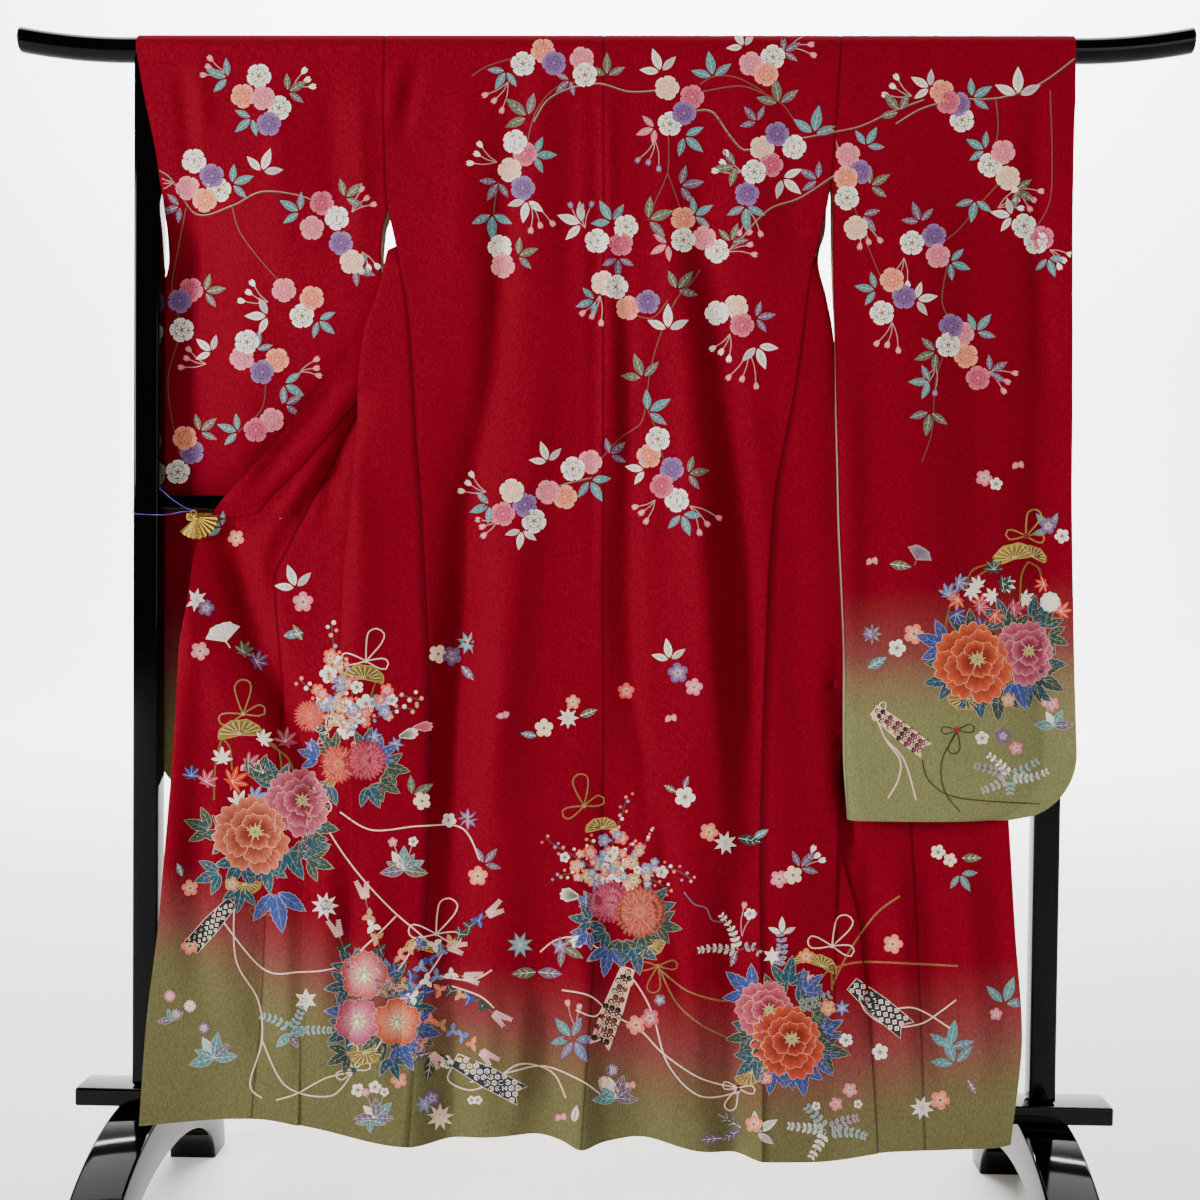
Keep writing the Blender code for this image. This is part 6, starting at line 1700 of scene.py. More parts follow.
def make_black_lacquer():
    """Roiro lacquer on wood: deep black, polished to a wet gloss, with a faint ripple from the brush."""
    material, shader = new_material("black lacquer")
    shader.inputs["Base Color"].default_value = (*linear(LACQUER_BLACK), 1)
    shader.inputs["Roughness"].default_value = 0.07
    shader.inputs["Specular IOR Level"].default_value = 0.12
    place = add_node(material, "ShaderNodeTexCoord")
    ripple = add_node(material, "ShaderNodeTexNoise", (("Scale", 1000 / 60), ("Detail", 1.0)),
                      ((place.outputs["Object"], "Vector"),))
    bump = add_node(material, "ShaderNodeBump", (("Strength", 0.12), ("Distance", 0.0010)),
                    ((ripple.outputs["Fac"], "Height"),))
    link(material, bump.outputs["Normal"], shader.inputs["Normal"])
    return material


def make_gold_plate():
    """Gold-plated sheet brass: bright, with soft wear."""
    material, shader = new_material("gold plate")
    shader.inputs["Base Color"].default_value = (*linear(PLATE_GOLD), 1)
    shader.inputs["Metallic"].default_value = 1.0
    place = add_node(material, "ShaderNodeTexCoord")
    wear = add_node(material, "ShaderNodeTexNoise", (("Scale", 1000 / 5), ("Detail", 3.0)),
                    ((place.outputs["Object"], "Vector"),))
    rough = add_node(material, "ShaderNodeMapRange", (("To Min", 0.16), ("To Max", 0.36)),
                     ((wear.outputs["Fac"], "Value"),))
    link(material, rough.outputs["Result"], shader.inputs["Roughness"])
    return material


def make_silk_cord():
    """Fine braided silk cord: matt, with the braid's slant drawn at 1.5 mm."""
    material, shader = new_material("violet silk cord")
    shader.inputs["Roughness"].default_value = 0.6
    place = add_node(material, "ShaderNodeTexCoord")
    braid = add_node(material, "ShaderNodeTexWave", (("Scale", 1000 / 1.5 / 20), ("wave_profile", "SIN"),
                                                     ("bands_direction", "DIAGONAL")),
                     ((place.outputs["Object"], "Vector"),))
    ramp = add_node(material, "ShaderNodeMix", (("data_type", "RGBA"),), ((braid.outputs["Fac"], 0),))
    ramp.inputs[6].default_value = (*linear(VIOLET_DARK), 1)
    ramp.inputs[7].default_value = (*linear(VIOLET_LIGHT), 1)
    link(material, ramp.outputs[2], shader.inputs["Base Color"])
    return material


def make_studio_floor():
    """Seamless paper: flat, pale and without gloss."""
    material, shader = new_material("pale paper floor")
    shader.inputs["Base Color"].default_value = (*linear(PAPER_WHITE), 1)
    shader.inputs["Roughness"].default_value = 0.9
    return material


def camera_axes():
    """Right, up and ahead of the camera."""
    ahead = np.array((sin(CAMERA_YAW) * cos(CAMERA_PITCH), cos(CAMERA_YAW) * cos(CAMERA_PITCH),
                      -sin(CAMERA_PITCH)))
    level = np.array((cos(CAMERA_YAW), -sin(CAMERA_YAW), 0.0))
    over = np.cross(level, ahead)
    right = cos(CAMERA_ROLL) * level + sin(CAMERA_ROLL) * over
    up = -sin(CAMERA_ROLL) * level + cos(CAMERA_ROLL) * over
    return right, up, ahead


def seen_at(points):
    """Where points show in the view."""
    right, up, ahead = camera_axes()
    away = points - CAMERA_PLACE
    depth = away @ ahead
    half = VIEW_POINTS / 2
    return np.stack([half + FOCAL_POINTS * (away @ right) / depth, half - FOCAL_POINTS * (away @ up) / depth],
                    -1)


def sight(x, y):
    """Direction from the camera to a point of the view."""
    right, up, ahead = camera_axes()
    half = VIEW_POINTS / 2
    way = ahead + right * (x - half) / FOCAL_POINTS + up * (half - y) / FOCAL_POINTS
    return way / np.linalg.norm(way)


def make_camera():
    right, up, ahead = camera_axes()
    data = bpy.data.cameras.new("camera")
    data.sensor_width = SENSOR_MM
    data.lens = SENSOR_MM * FOCAL_POINTS / VIEW_POINTS
    camera = bpy.data.objects.new("camera", data)
    turn = Matrix((right, up, -ahead)).transposed().to_4x4()
    camera.matrix_world = Matrix.Translation(CAMERA_PLACE) @ turn
    bpy.context.collection.objects.link(camera)
    bpy.context.scene.camera = camera


def add_piece(name, points, faces, materials, face_materials=None, smooth_angle=45, dye=None):
    mesh = bpy.data.meshes.new(name)
    mesh.from_pydata(np.asarray(points).tolist(), [], faces)
    for material in materials:
        mesh.materials.append(material)
    if face_materials is not None:
        mesh.polygons.foreach_set("material_index", face_materials)
    if dye is not None:
        colours = mesh.attributes.new("dye", "FLOAT_COLOR", "POINT")
        colours.data.foreach_set("color", np.hstack([dye, np.ones((len(dye), 1))]).ravel())
    mesh.shade_smooth()
    if smooth_angle is not None:
        mesh.set_sharp_from_angle(angle=radians(smooth_angle))
    piece = bpy.data.objects.new(name, mesh)
    bpy.context.collection.objects.link(piece)
    return piece


def lift_of_folds(points, on_sleeve):
    """How far the fine folds push each point forward.

    Sleeves take only the hollows of the left front's folds, and broader, so that they stay behind it.
    """
    folds = FOLDS
    if on_sleeve:
        folds += tuple((rise, max(half, HOLLOW), route) for rise, half, route in FRONT_FOLDS if rise < 0)
    else:
        folds += FRONT_FOLDS
    seen = seen_at(points.reshape(-1, 3))
    total = np.zeros(len(seen))
    for rise_mm, half_width, route in folds:
        route = np.array(route, float)
        nearest = np.full(len(seen), 1e9)
        along = np.zeros(len(seen))
        lengths = np.hypot(*np.diff(route, axis=0).T)
        reached = 0.0
        for start, end, length in zip(route, route[1:], lengths):
            way = (end - start) / length
            place = (seen - start) @ way
            held = np.clip(place, 0, length)
            gap = seen - start - held[:, None] * way
            distance = np.hypot(gap[:, 0], gap[:, 1])
            closer = distance < nearest
            nearest[closer] = distance[closer]
            along[closer] = (reached + held[closer]) / lengths.sum()
            reached += length
        taper = ease(along / FOLD_TAPER) * ease((1 - along) / FOLD_TAPER) * (1 - FOLD_END) + FOLD_END
        total += rise_mm / 1000 * np.exp(-(nearest / half_width)**2) * taper
    return total.reshape(points.shape[:-1])


def grid_normals(middle, guide):
    """Directions square to the cloth, on the side of the guide."""
    across = np.gradient(middle, axis=1)
    down = np.gradient(middle, axis=0)
    square = np.cross(across, down)
    size = np.linalg.norm(square, axis=2, keepdims=True)
    square = square / np.maximum(size, 1e-12)
    same = (square * guide).sum(axis=2, keepdims=True)
    return np.where(same > 0.15, square, np.where(same < -0.15, -square, guide))


def fade_at(points, on_sleeve):
    """Share of the way from red to olive at each point."""
    seen = seen_at(points)
    fade = SLEEVE_FADE if on_sleeve else BODY_FADE
    start = read(fade, "start", seen[:, 0], "x")
    end = read(fade, "end", seen[:, 0], "x")
    return ease((seen[:, 1] - start + FADE_SOFT) / (end - start + 2 * FADE_SOFT))[:, None]


def make_cloth(name, grid, flat, area=None, held="hung", sewn="", on_sleeve=False):
    """A closed wall of lined silk from its grid of middle points, with its outer side dyed."""
    middle, guide = grid
    rows, columns = middle.shape[:2]
    middle = middle.copy()
    calm = ease((RAIL_HEIGHT - middle[..., 2]) / FOLDS_SET_IN)
    middle[..., 1] -= lift_of_folds(middle, on_sleeve) * calm * FOLD_DEPTH
    across = np.linalg.norm(np.diff(middle, axis=1), axis=2)
    from_first = np.hstack([np.zeros((rows, 1)), np.cumsum(across, axis=1)])
    from_last = from_first[:, -1:] - from_first
    dip = np.zeros((rows, columns))
    if "first" in sewn:
        dip = np.maximum(dip, np.clip(1 - from_first / SEAM_EASE, 0, 1)**2)
    if "last" in sewn:
        dip = np.maximum(dip, np.clip(1 - from_last / SEAM_EASE, 0, 1)**2)
    outward = grid_normals(middle, guide)
    outer = (middle + outward * (CLOTH / 2 - SEAM_DIP * dip[..., None])).reshape(-1, 3)
    inner = (middle - outward * (CLOTH / 2 + SEAM_DIP * dip[..., None])).reshape(-1, 3)
    count = rows * columns
    a = (np.arange(rows - 1)[:, None] * columns + np.arange(columns - 1)).ravel()
    cells = np.stack([a, a + 1, a + 1 + columns, a + columns], 1)
    border = list(range(columns)) + [r * columns + columns - 1 for r in range(1, rows)]
    border += [(rows - 1) * columns + c for c in range(columns - 2, -1, -1)]
    border += [r * columns for r in range(rows - 2, 0, -1)]
    rim = [(a, b, count + b, count + a) for a, b in zip(border, border[1:] + border[:1])]
    turned = facing_of(outer, inner, cells[0]) < 0
    if turned:
        cells = cells[:, ::-1]
    else:
        rim = [face[::-1] for face in rim]
    faces = cells.tolist() + (cells[:, ::-1] + count).tolist() + rim
    kinds = [0] * len(cells) + [1] * len(cells) + [0] * len(rim)
    olive = np.array(linear(SLEEVE_OLIVE if on_sleeve else OLIVE))
    red = np.array(linear(RED))
    rosy = np.array(linear(ROSY))
    fade = fade_at(outer, on_sleeve)
    dye_out = np.where(fade < 0.5, red + (rosy - red) * fade * 2, rosy + (olive - rosy) * (fade * 2 - 1))
    pale = np.array(linear(LINING))
    dye_in = pale + (np.array(linear(LINING_OLIVE)) - pale) * fade
    # Painted shade: the dye is darkened along the seams, where their dip lies in shade
    dye_out = dye_out * (1 - SEAM_PAINTED_SHADE * dip.reshape(-1, 1))
    dye_in[border] = dye_out[border]
    piece = add_piece(name, np.vstack([outer, inner]), faces, [SILK["crepe"], SILK["lining"]], kinds,
                      dye=np.vstack([dye_out, dye_in]))
    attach(piece, "root")
    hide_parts(name.replace("silk_", ""))
    CLOTHS.append((piece, np.vstack([outer, inner]), faces[:2 * len(cells)], len(cells), (flat, held, area)))


def facing_of(outer, inner, cell):
    """More than 0 where a cell, as listed, faces out."""
    a, b, c = (outer[k] for k in cell[:3])
    return float(np.dot(np.cross(b - a, c - a), outer[cell[0]] - inner[cell[0]]))


def heights_down_to(low):
    count = int(ceil((RAIL_HEIGHT - FIRST_DROP - low) / ROW_STEP))
    return np.linspace(RAIL_HEIGHT - FIRST_DROP, low, count + 1)


def rail_rows(side):
    rows = []
    for angle in np.radians(np.arange(0, 90.1, RAIL_STEP)):
        outward = np.array((0.0, side * sin(angle), cos(angle)))
        rows.append((np.array((0.0, 0.0, RAIL_HEIGHT)) + DRAPE_RADIUS * outward, outward))
    return rows


def shares_across(count):
    """Evenly spaced shares with a few close to both seams."""
    return np.concatenate([[0, 0.005, 0.012, 0.02], np.linspace(0.035, 0.965, count),
                           [0.98, 0.988, 0.995, 1]])


def hung_grid(low, side, edges, depth, count, on_hem):
    """Grid of a layer that hangs from the rail's top on one side, between two edges."""
    points = []
    outward = []
    share = shares_across(count)
    width = len(share)
    for on_rail, direction in rail_rows(side):
        left, right = edges(RAIL_HEIGHT)
        row = np.tile(on_rail, (width, 1))
        row[:, 0] = left + (right - left) * share
        points.append(row)
        outward.append(np.tile(direction, (width, 1)))
    for z in heights_down_to(low):
        left, right = edges(z)
        x = left + (right - left) * share
        points.append(np.stack([x, depth(x, z, share), at_hem(x, z) if on_hem else x * 0 + z], 1))
        outward.append(np.tile((0.0, side, 0.0), (width, 1)))
    return np.array(points), np.array(outward)


def make_back(name, left_column, right_column, flat):
    def edges(z):
        left = float(read(SEAMS, left_column, z)) - LAP
        right = float(read(SEAMS, right_column, z)) + LAP
        return left, right

    grid = hung_grid(HEM, -1, edges, lambda x, z, share: back_depth(x, z), BACK_COLUMNS, True)
    make_cloth(name, grid, flat, sewn="first last")


def make_sleeve(name, side, rows, armhole_end, layer, flat):
    facing = -1 if layer == "near" else 1
    seam_column = "left" if side < 0 else "right"

    def edges(z):
        outer = float(read(rows, layer + "_x", z))
        low = SLEEVE_BOTTOM + SLEEVE_ROUND - z
        if low > 0:
            outer -= side * (SLEEVE_ROUND - (SLEEVE_ROUND**2 - low**2)**0.5)
        bulge = read(SLIT_EDGE, "bulge", z) if side > 0 and layer == "far" else 0.0
        seam = float(read(SEAMS, seam_column, z) + bulge) + side * -LAP
        free = float(read(rows, "inner", z))
        joined = ease((z - armhole_end + ARMHOLE_EASE) / ARMHOLE_EASE)
        return free + (seam - free) * joined, outer

    def depth(x, z, share):
        bend = 1 - np.minimum(share / BENDING_SHARE, 1)**4
        near = read(rows, "near_out", z) + (read(rows, "near_in", z) - read(rows, "near_out", z)) * bend
        far = read(rows, "far_out", z) + (read(rows, "far_in", z) - read(rows, "far_out", z)) * bend
        open_here = ease((z - SLEEVE_BOTTOM) / SLEEVE_CLOSING)
        half = SHUT + ((far - near) / 2 - SHUT) * open_here
        return (near + far) / 2 + facing * half

    grid = hung_grid(SLEEVE_BOTTOM, facing, edges, depth, SLEEVE_COLUMNS, False)
    make_cloth(name, grid, flat, sewn="first", on_sleeve=True)


def spaced(marks, counts, least=0.0008):
    """Lengths that divide each stretch between marks evenly, none closer than the least spacing."""
    steps = []
    for start, end, count in zip(marks, marks[1:], counts):
        steps += [max((end - start) / count, least)] * count
    places = np.concatenate([[0.0], np.cumsum(steps)])
    return marks[0] + places * (marks[-1] - marks[0]) / places[-1]


def front_lengths(front, z):
    marks = front.row(z)[2]
    end = marks["okumi"] + LAP if z < OKUMI_TOP else marks["collar"] + LAP
    return spaced([0.0, marks["e1"], marks["e2"], marks["r1"], marks["r2"], end], FRONT_COLUMNS)


def make_front(front, name, flat):
    points = []
    outward = []
    for on_rail, direction in rail_rows(1):
        start = front.side_edge(RAIL_HEIGHT)[0] + front.side * LAP
        end = float(read(front.plan, "c", RAIL_HEIGHT)) - front.side * LAP
        lengths = front_lengths(front, RAIL_HEIGHT)
        row = np.tile(on_rail, (len(lengths), 1))
        row[:, 0] = start + (end - start) * lengths / lengths[-1]
        points.append(row)
        outward.append(np.tile(direction, (len(lengths), 1)))
    for z in heights_down_to(HEM):
        row, direction = front.points(z, front_lengths(front, z))
        points.append(row)
        outward.append(direction)
    make_cloth(name, (np.array(points), np.array(outward)), flat, sewn="first last")


def make_okumi(front, name, collar_end, flat, area):
    points = []
    outward = []
    heights = [z for z in heights_down_to(HEM) if z < OKUMI_TOP]
    for z in sorted(heights + [collar_end, collar_end - COLLAR_SLANT], reverse=True):
        length, marks = front.row(z)[1:]
        beside_collar = min(max((z - collar_end) / COLLAR_SLANT + 1, 0), 1)
        end = length[-1] + (marks["collar"] + LAP - length[-1]) * beside_collar
        start = marks["okumi"] - LAP
        row, direction = front.points(z, start + (end - start) * shares_across(OKUMI_COLUMNS))
        points.append(row)
        outward.append(direction)
    make_cloth(name, (np.array(points), np.array(outward)), flat, area, sewn="first")


def collar_side(front, collar_end):
    """Rows of the collar on one side, from its lower end up to the rail."""
    rows = []
    for z in [collar_end] + [z for z in reversed(heights_down_to(HEM)) if z > collar_end + 0.003]:
        length, marks = front.row(z)[1:]
        row, direction = front.points(z, np.linspace(marks["collar"] - LAP, length[-1], COLLAR_COLUMNS))
        if z == collar_end:
            row[:, 2] -= COLLAR_SLANT * np.linspace(0, 1, COLLAR_COLUMNS)
        rows.append((row, direction))
    return rows


def collar_over_rail(front, top_row):
    """Rows that fan from the last level row of one side round to the back of the neck."""
    rows = []
    quarter = DRAPE_RADIUS * pi / 2
    level = top_row[-1]
    first_free = np.array((level[0], quarter + RAIL_HEIGHT - level[2], level[1] - DRAPE_RADIUS))
    last_free = np.array((front.side * NECK_HALF, COLLAR_WIDE, COLLAR_OFF))
    seam_x = float(read(front.plan, "c", RAIL_HEIGHT))
    angles = np.radians(np.arange(90, -0.1, -RAIL_STEP))
    for step, angle in enumerate(angles):
        free = first_free + (last_free - first_free) * (step + 1) / len(angles)
        rows.append(unrolled(np.array((seam_x + front.side * LAP, angle * DRAPE_RADIUS, 0.0)), free))
    return rows


def unrolled(fixed, free):
    """A row of the collar given by x, length down from the rail's top, and how far it stands off."""
    points = []
    outward = []
    quarter = DRAPE_RADIUS * pi / 2
    for share in np.linspace(0, 1, COLLAR_COLUMNS):
        x, down, off = fixed + (free - fixed) * share
        angle = min(down / DRAPE_RADIUS, pi / 2)
        direction = np.array((0.0, sin(angle), cos(angle)))
        centre = np.array((x, 0.0, RAIL_HEIGHT - max(down - quarter, 0.0)))
        points.append(centre + direction * (DRAPE_RADIUS + off))
        outward.append(direction)
    return np.array(points), np.array(outward)


def make_collar(left, right, flat):
    left_rows = collar_side(left, LEFT_COLLAR_END)
    right_rows = collar_side(right, RIGHT_COLLAR_END)
    left_rows += collar_over_rail(left, left_rows[-1][0])
    right_rows += collar_over_rail(right, right_rows[-1][0])
    neck = []
    for share in np.linspace(0, 1, NECK_ROWS)[1:-1]:
        fixed = left_rows[-1][0][0] * (1 - share) + right_rows[-1][0][0] * share
        free_x = left_rows[-1][0][-1][0] * (1 - share) + right_rows[-1][0][-1][0] * share
        neck.append(unrolled(np.array((fixed[0], 0.0, 0.0)), np.array((free_x, COLLAR_WIDE, NECK_OFF))))
    rows = left_rows + neck + right_rows[::-1]
    grid = np.array([row for row, direction in rows]), np.array([direction for row, direction in rows])
    make_cloth("silk_collar", grid, flat, sewn="first")


def lay_pictures():
    """Lay the drawn plates on the silk, where lines of sight through their points meet its outer side."""
    points = np.vstack([cloth[1] for cloth in CLOTHS])
    starts = np.cumsum([0] + [len(cloth[1]) for cloth in CLOTHS])
    faces = []
    owner = []
    for k, (piece, corners, cells, outer_count, cut) in enumerate(CLOTHS):
        faces += (np.array(cells) + starts[k]).tolist()
        owner += [k] * outer_count + [-1] * (len(cells) - outer_count)
    tree = BVHTree.FromPolygons(points.tolist(), faces)
    laid = [([], [], []) for cloth in CLOTHS]
    on_sleeve = ["sleeve" in cloth[0].name for cloth in CLOTHS]
    for drawn, cells, dyes, layer, *anchor in DRAWN:
        tops = []
        owners = []
        home = tree.ray_cast(*from_camera(anchor[0]))[2] if anchor else None
        home = owner[home] if home is not None else -1
        for place_in_view in drawn:
            eye, way = from_camera(place_in_view)
            hit, square, face, distance = tree.ray_cast(eye, way)
            if face is None or owner[face] < 0 or (home >= 0 and on_sleeve[home] != on_sleeve[owner[face]]):
                tops.append(None)
                continue
            if square.dot(way) > 0:
                square = -square
            tops.append((hit, square, distance))
            owners.append(owner[face])
        if not owners:
            continue
        facing = np.cross(drawn[np.array(cells)[:, 1]] - drawn[np.array(cells)[:, 0]],
                          drawn[np.array(cells)[:, 2]] - drawn[np.array(cells)[:, 0]]) > 0
        whole = len(cells)
        cells = [c if same else c[::-1] for c, same in zip(cells, facing)]
        cells = [c for c in cells if all(tops[i] for i in c)
                 and max(tops[i][2] for i in c) - min(tops[i][2] for i in c) < LARGEST_STEP]
        used = sorted({i for c in cells for i in c})
        if len(cells) < SCRAP * whole or not used:
            continue
        spots, corner_faces, colours = laid[max(set(owners), key=owners.count)]
        first = len(spots)
        number = {i: first + n for n, i in enumerate(used)}
        rise = PLATE_RISE + LAYER_RISE * layer
        spots += [tops[i][0] + tops[i][1] * rise for i in used]
        spots += [tops[i][0] - tops[i][1] * PLATE_ROOT for i in used]
        colours += [dyes[i] for i in used] * 2
        sides = {}
        for a, b, c in cells:
            corner_faces.append((number[a], number[c], number[b]))
            corner_faces.append((number[a] + len(used), number[b] + len(used), number[c] + len(used)))
            for i, j in ((a, b), (b, c), (c, a)):
                if (j, i) in sides:
                    del sides[j, i]
                else:
                    sides[i, j] = True
        corner_faces += [(number[i], number[j], number[j] + len(used), number[i] + len(used)) for i,
                         j in sides]
    made = []
    for (spots, corner_faces, colours), (piece, *rest) in zip(laid, CLOTHS):
        if not spots:
            made.append(None)
            continue
        name = piece.name.replace("silk_", "dyed_pictures_")
        plates = add_piece(name, [tuple(s) for s in spots], corner_faces, [SILK["dyes"]], smooth_angle=40,
                           dye=np.array(colours))
        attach(plates, "root")
        made.append(plates)
    return made


def from_camera(place_in_view):
    return Vector(CAMERA_PLACE), Vector(sight(*place_in_view))


def volume_of(points, faces):
    """Volume inside a closed mesh, negative when its faces look inwards."""
    total = 0.0
    for face in faces:
        for k in range(1, len(face) - 1):
            total += np.dot(points[face[0]], np.cross(points[face[k]], points[face[k + 1]]))
    return total / 6


def rounded_outline(wide, deep, radius):
    """A rounded rectangle as pairs of points: down its right side, then back up its left side."""
    turn = np.linspace(0, pi / 2, 6)
    x = wide / 2 - radius + radius * np.sin(turn)
    y = -deep / 2 + radius - radius * np.cos(turn)
    right = np.vstack([np.stack([x, y], 1), np.stack([x, -y], 1)[::-1]])
    return np.vstack([right, (right * (-1, 1))[::-1]])


def add_solid(name, rings, material):
    """A closed body through rings of paired points, its ends filled from pair to pair."""
    rings = np.asarray(rings)
    count, size = rings.shape[:2]
    faces = []
    for ring in range(count - 1):
        for k in range(size):
            a = ring * size + k
            b = ring * size + (k + 1) % size
            faces.append((a, b, b + size, a + size))
    last = (count - 1) * size
    for k in range(size // 2 - 1):
        faces.append((k, size - 1 - k, size - 2 - k, k + 1))
        faces.append((last + k, last + k + 1, last + size - 2 - k, last + size - 1 - k))
    points = rings.reshape(-1, 3)
    if volume_of(points, faces) < 0:
        faces = [face[::-1] for face in faces]
    return add_piece(name, points, faces, [material], smooth_angle=35)


def stand_piece(piece, node):
    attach(piece, "root")
    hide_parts(node)


def bar_rings(low, high, axis, radius):
    """Rings of a straight bar along one axis with all its edges rounded."""
    low = np.array(low)
    high = np.array(high)
    others = [k for k in range(3) if k != axis]
    middle = (low + high) / 2
    rings = []
    turn = np.linspace(0, pi / 2, END_RINGS)
    ends = [(low[axis] + radius * (1 - sin(t)), radius * (1 - cos(t))) for t in turn[::-1]]
    ends += [(high[axis] - radius * (1 - sin(t)), radius * (1 - cos(t))) for t in turn]
    for place, inset in ends:
        wide, deep = high[others] - low[others] - 2 * inset
        outline = rounded_outline(wide, deep, max(radius - inset, 0.0004))
        ring = np.zeros((len(outline), 3))
        ring[:, axis] = place
        ring[:, others[0]] = middle[others[0]] + outline[:, 0]
        ring[:, others[1]] = middle[others[1]] + outline[:, 1]
        rings.append(ring)
    return rings


def round_rings(centres, radii, directions, sides):
    """Rings of a round bar; each ring is square to its direction."""
    rings = []
    turn = 2 * pi * (np.arange(sides) + 0.5) / sides
    over = None
    for centre, radius, way in zip(centres, radii, directions):
        way = np.asarray(way, float) / np.linalg.norm(way)
        if over is None:
            over = np.cross(way, (0.0, 1.0, 0.0)) if abs(way[1]) < 0.9 else np.cross(way, (0.0, 0.0, 1.0))
        over = over - way * np.dot(over, way)
        over /= np.linalg.norm(over)
        aside = np.cross(way, over)
        rings.append(np.asarray(centre) + radius * (np.outer(np.cos(turn), over) + np.outer(np.sin(turn),
                                                                                            aside)))
    return rings


def make_post(side, lacquer):
    """A square post whose top is hollowed to seat the rail."""
    half = POST_WIDTH / 2
    top = RAIL_HEIGHT - POST_TOP_DROP
    rings = bar_rings((side * POST_X - half, -half, BEAM_TOP + GAP), (side * POST_X + half, half, top), 2,
                      POST_EDGE)
    for ring in rings[END_RINGS:]:
        reach = RAIL_RADIUS + 2 * GAP
        seat = RAIL_HEIGHT - np.sqrt(np.maximum(reach**2 - ring[:, 1]**2, 0))
        ring[:, 2] = np.minimum(ring[:, 2], seat)
    name = "post_left" if side < 0 else "post_right"
    stand_piece(add_solid("lacquered_" + name, rings, lacquer), name)


def make_foot(side, lacquer):
    """An arched foot with rounded edges, running towards and away from the viewer."""
    crown = BEAM_TOP - BEAM_TALL - GAP
    rings = []
    for angle in np.linspace(0, pi, 73):
        outer = np.array((-FOOT_HALF_SPAN * cos(angle), crown * sin(angle)))
        inner = np.array((-(FOOT_HALF_SPAN - FOOT_THICK) * cos(angle), (crown - FOOT_THICK) * sin(angle)))
        over = outer - inner
        outline = rounded_outline(FOOT_WIDTH, np.hypot(*over), FOOT_EDGE)
        along = (outer + inner) / 2 + np.outer(outline[:, 1], over / np.hypot(*over))
        rings.append(np.column_stack([side * POST_X + outline[:, 0], along]))
    name = "foot_left" if side < 0 else "foot_right"
    stand_piece(add_solid("lacquered_" + name, rings, lacquer), name)


def make_top_rail(lacquer):
    """A round rail whose ends sweep up a little outside the posts."""
    straight = RAIL_HALF - RAIL_END_BEND
    ease_off = 0.003
    out = [straight * t for t in (0, 0.25, 0.5, 0.75)]
    out += [straight + (RAIL_END_BEND - ease_off) * t for t in np.linspace(0, 1, 17)]
    half = [(x, RAIL_RADIUS) for x in out]
    for t in np.linspace(0, pi / 2, 5)[1:]:
        half.append((RAIL_HALF - ease_off * (1 - sin(t)), RAIL_RADIUS - ease_off * (1 - cos(t))))
    marks = [(-x, radius) for x, radius in reversed(half[1:])] + half
    centres = []
    for x, radius in marks:
        beyond = max(abs(x) - straight, 0) / RAIL_END_BEND
        centres.append((x, 0.0, RAIL_HEIGHT + RAIL_END_LIFT * beyond**2))
    rings = round_rings(centres, [radius for x, radius in marks], [(1, 0, 0)] * len(marks), 48)
    stand_piece(add_solid("lacquered_top_rail", rings, lacquer), "top_rail")


def smooth_route(corners, steps):
    """Points of a smooth line that passes through all the corners."""
    corners = [np.array(p, float) for p in corners]
    line = []
    for i in range(len(corners) - 1):
        before = corners[max(i - 1, 0)]
        start, end = corners[i], corners[i + 1]
        after = corners[min(i + 2, len(corners) - 1)]
        for t in np.arange(steps) / steps:
            line.append(on_curve(before, start, end, after, t))
    return np.array(line + [corners[-1]])


def joined(parts):
    """One list of points and faces from several closed bodies."""
    points = []
    faces = []
    for more, cells in parts:
        faces += [tuple(len(points) + k for k in cell) for cell in cells]
        points += [tuple(p) for p in more]
    return np.array(points), faces


def body_of(rings, looped=False):
    """Points and faces of a closed body through rings of points."""
    rings = np.asarray(rings)
    count, size = rings.shape[:2]
    faces = []
    for ring in range(count if looped else count - 1):
        after = (ring + 1) % count
        for k in range(size):
            b = (k + 1) % size
            faces.append((ring * size + k, ring * size + b, after * size + b, after * size + k))
    if not looped:
        faces.append(tuple(range(size))[::-1])
        faces.append(tuple((count - 1) * size + k for k in range(size)))
    points = rings.reshape(-1, 3)
    if volume_of(points, faces) < 0:
        faces = [face[::-1] for face in faces]
    return points, faces


def loop_rings(centre, radius, thick, sides=10, steps=28):
    """Rings of a wire loop that stands square to the viewer's line."""
    rings = []
    for angle in 2 * pi * np.arange(steps) / steps:
        out = np.array((cos(angle), 0.0, sin(angle)))
        turn = 2 * pi * np.arange(sides) / sides
        rings.append(np.array(centre) + out * radius + thick * (np.outer(np.cos(turn), out)
                                                                + np.outer(np.sin(turn), (0.0, 1.0, 0.0))))
    return rings


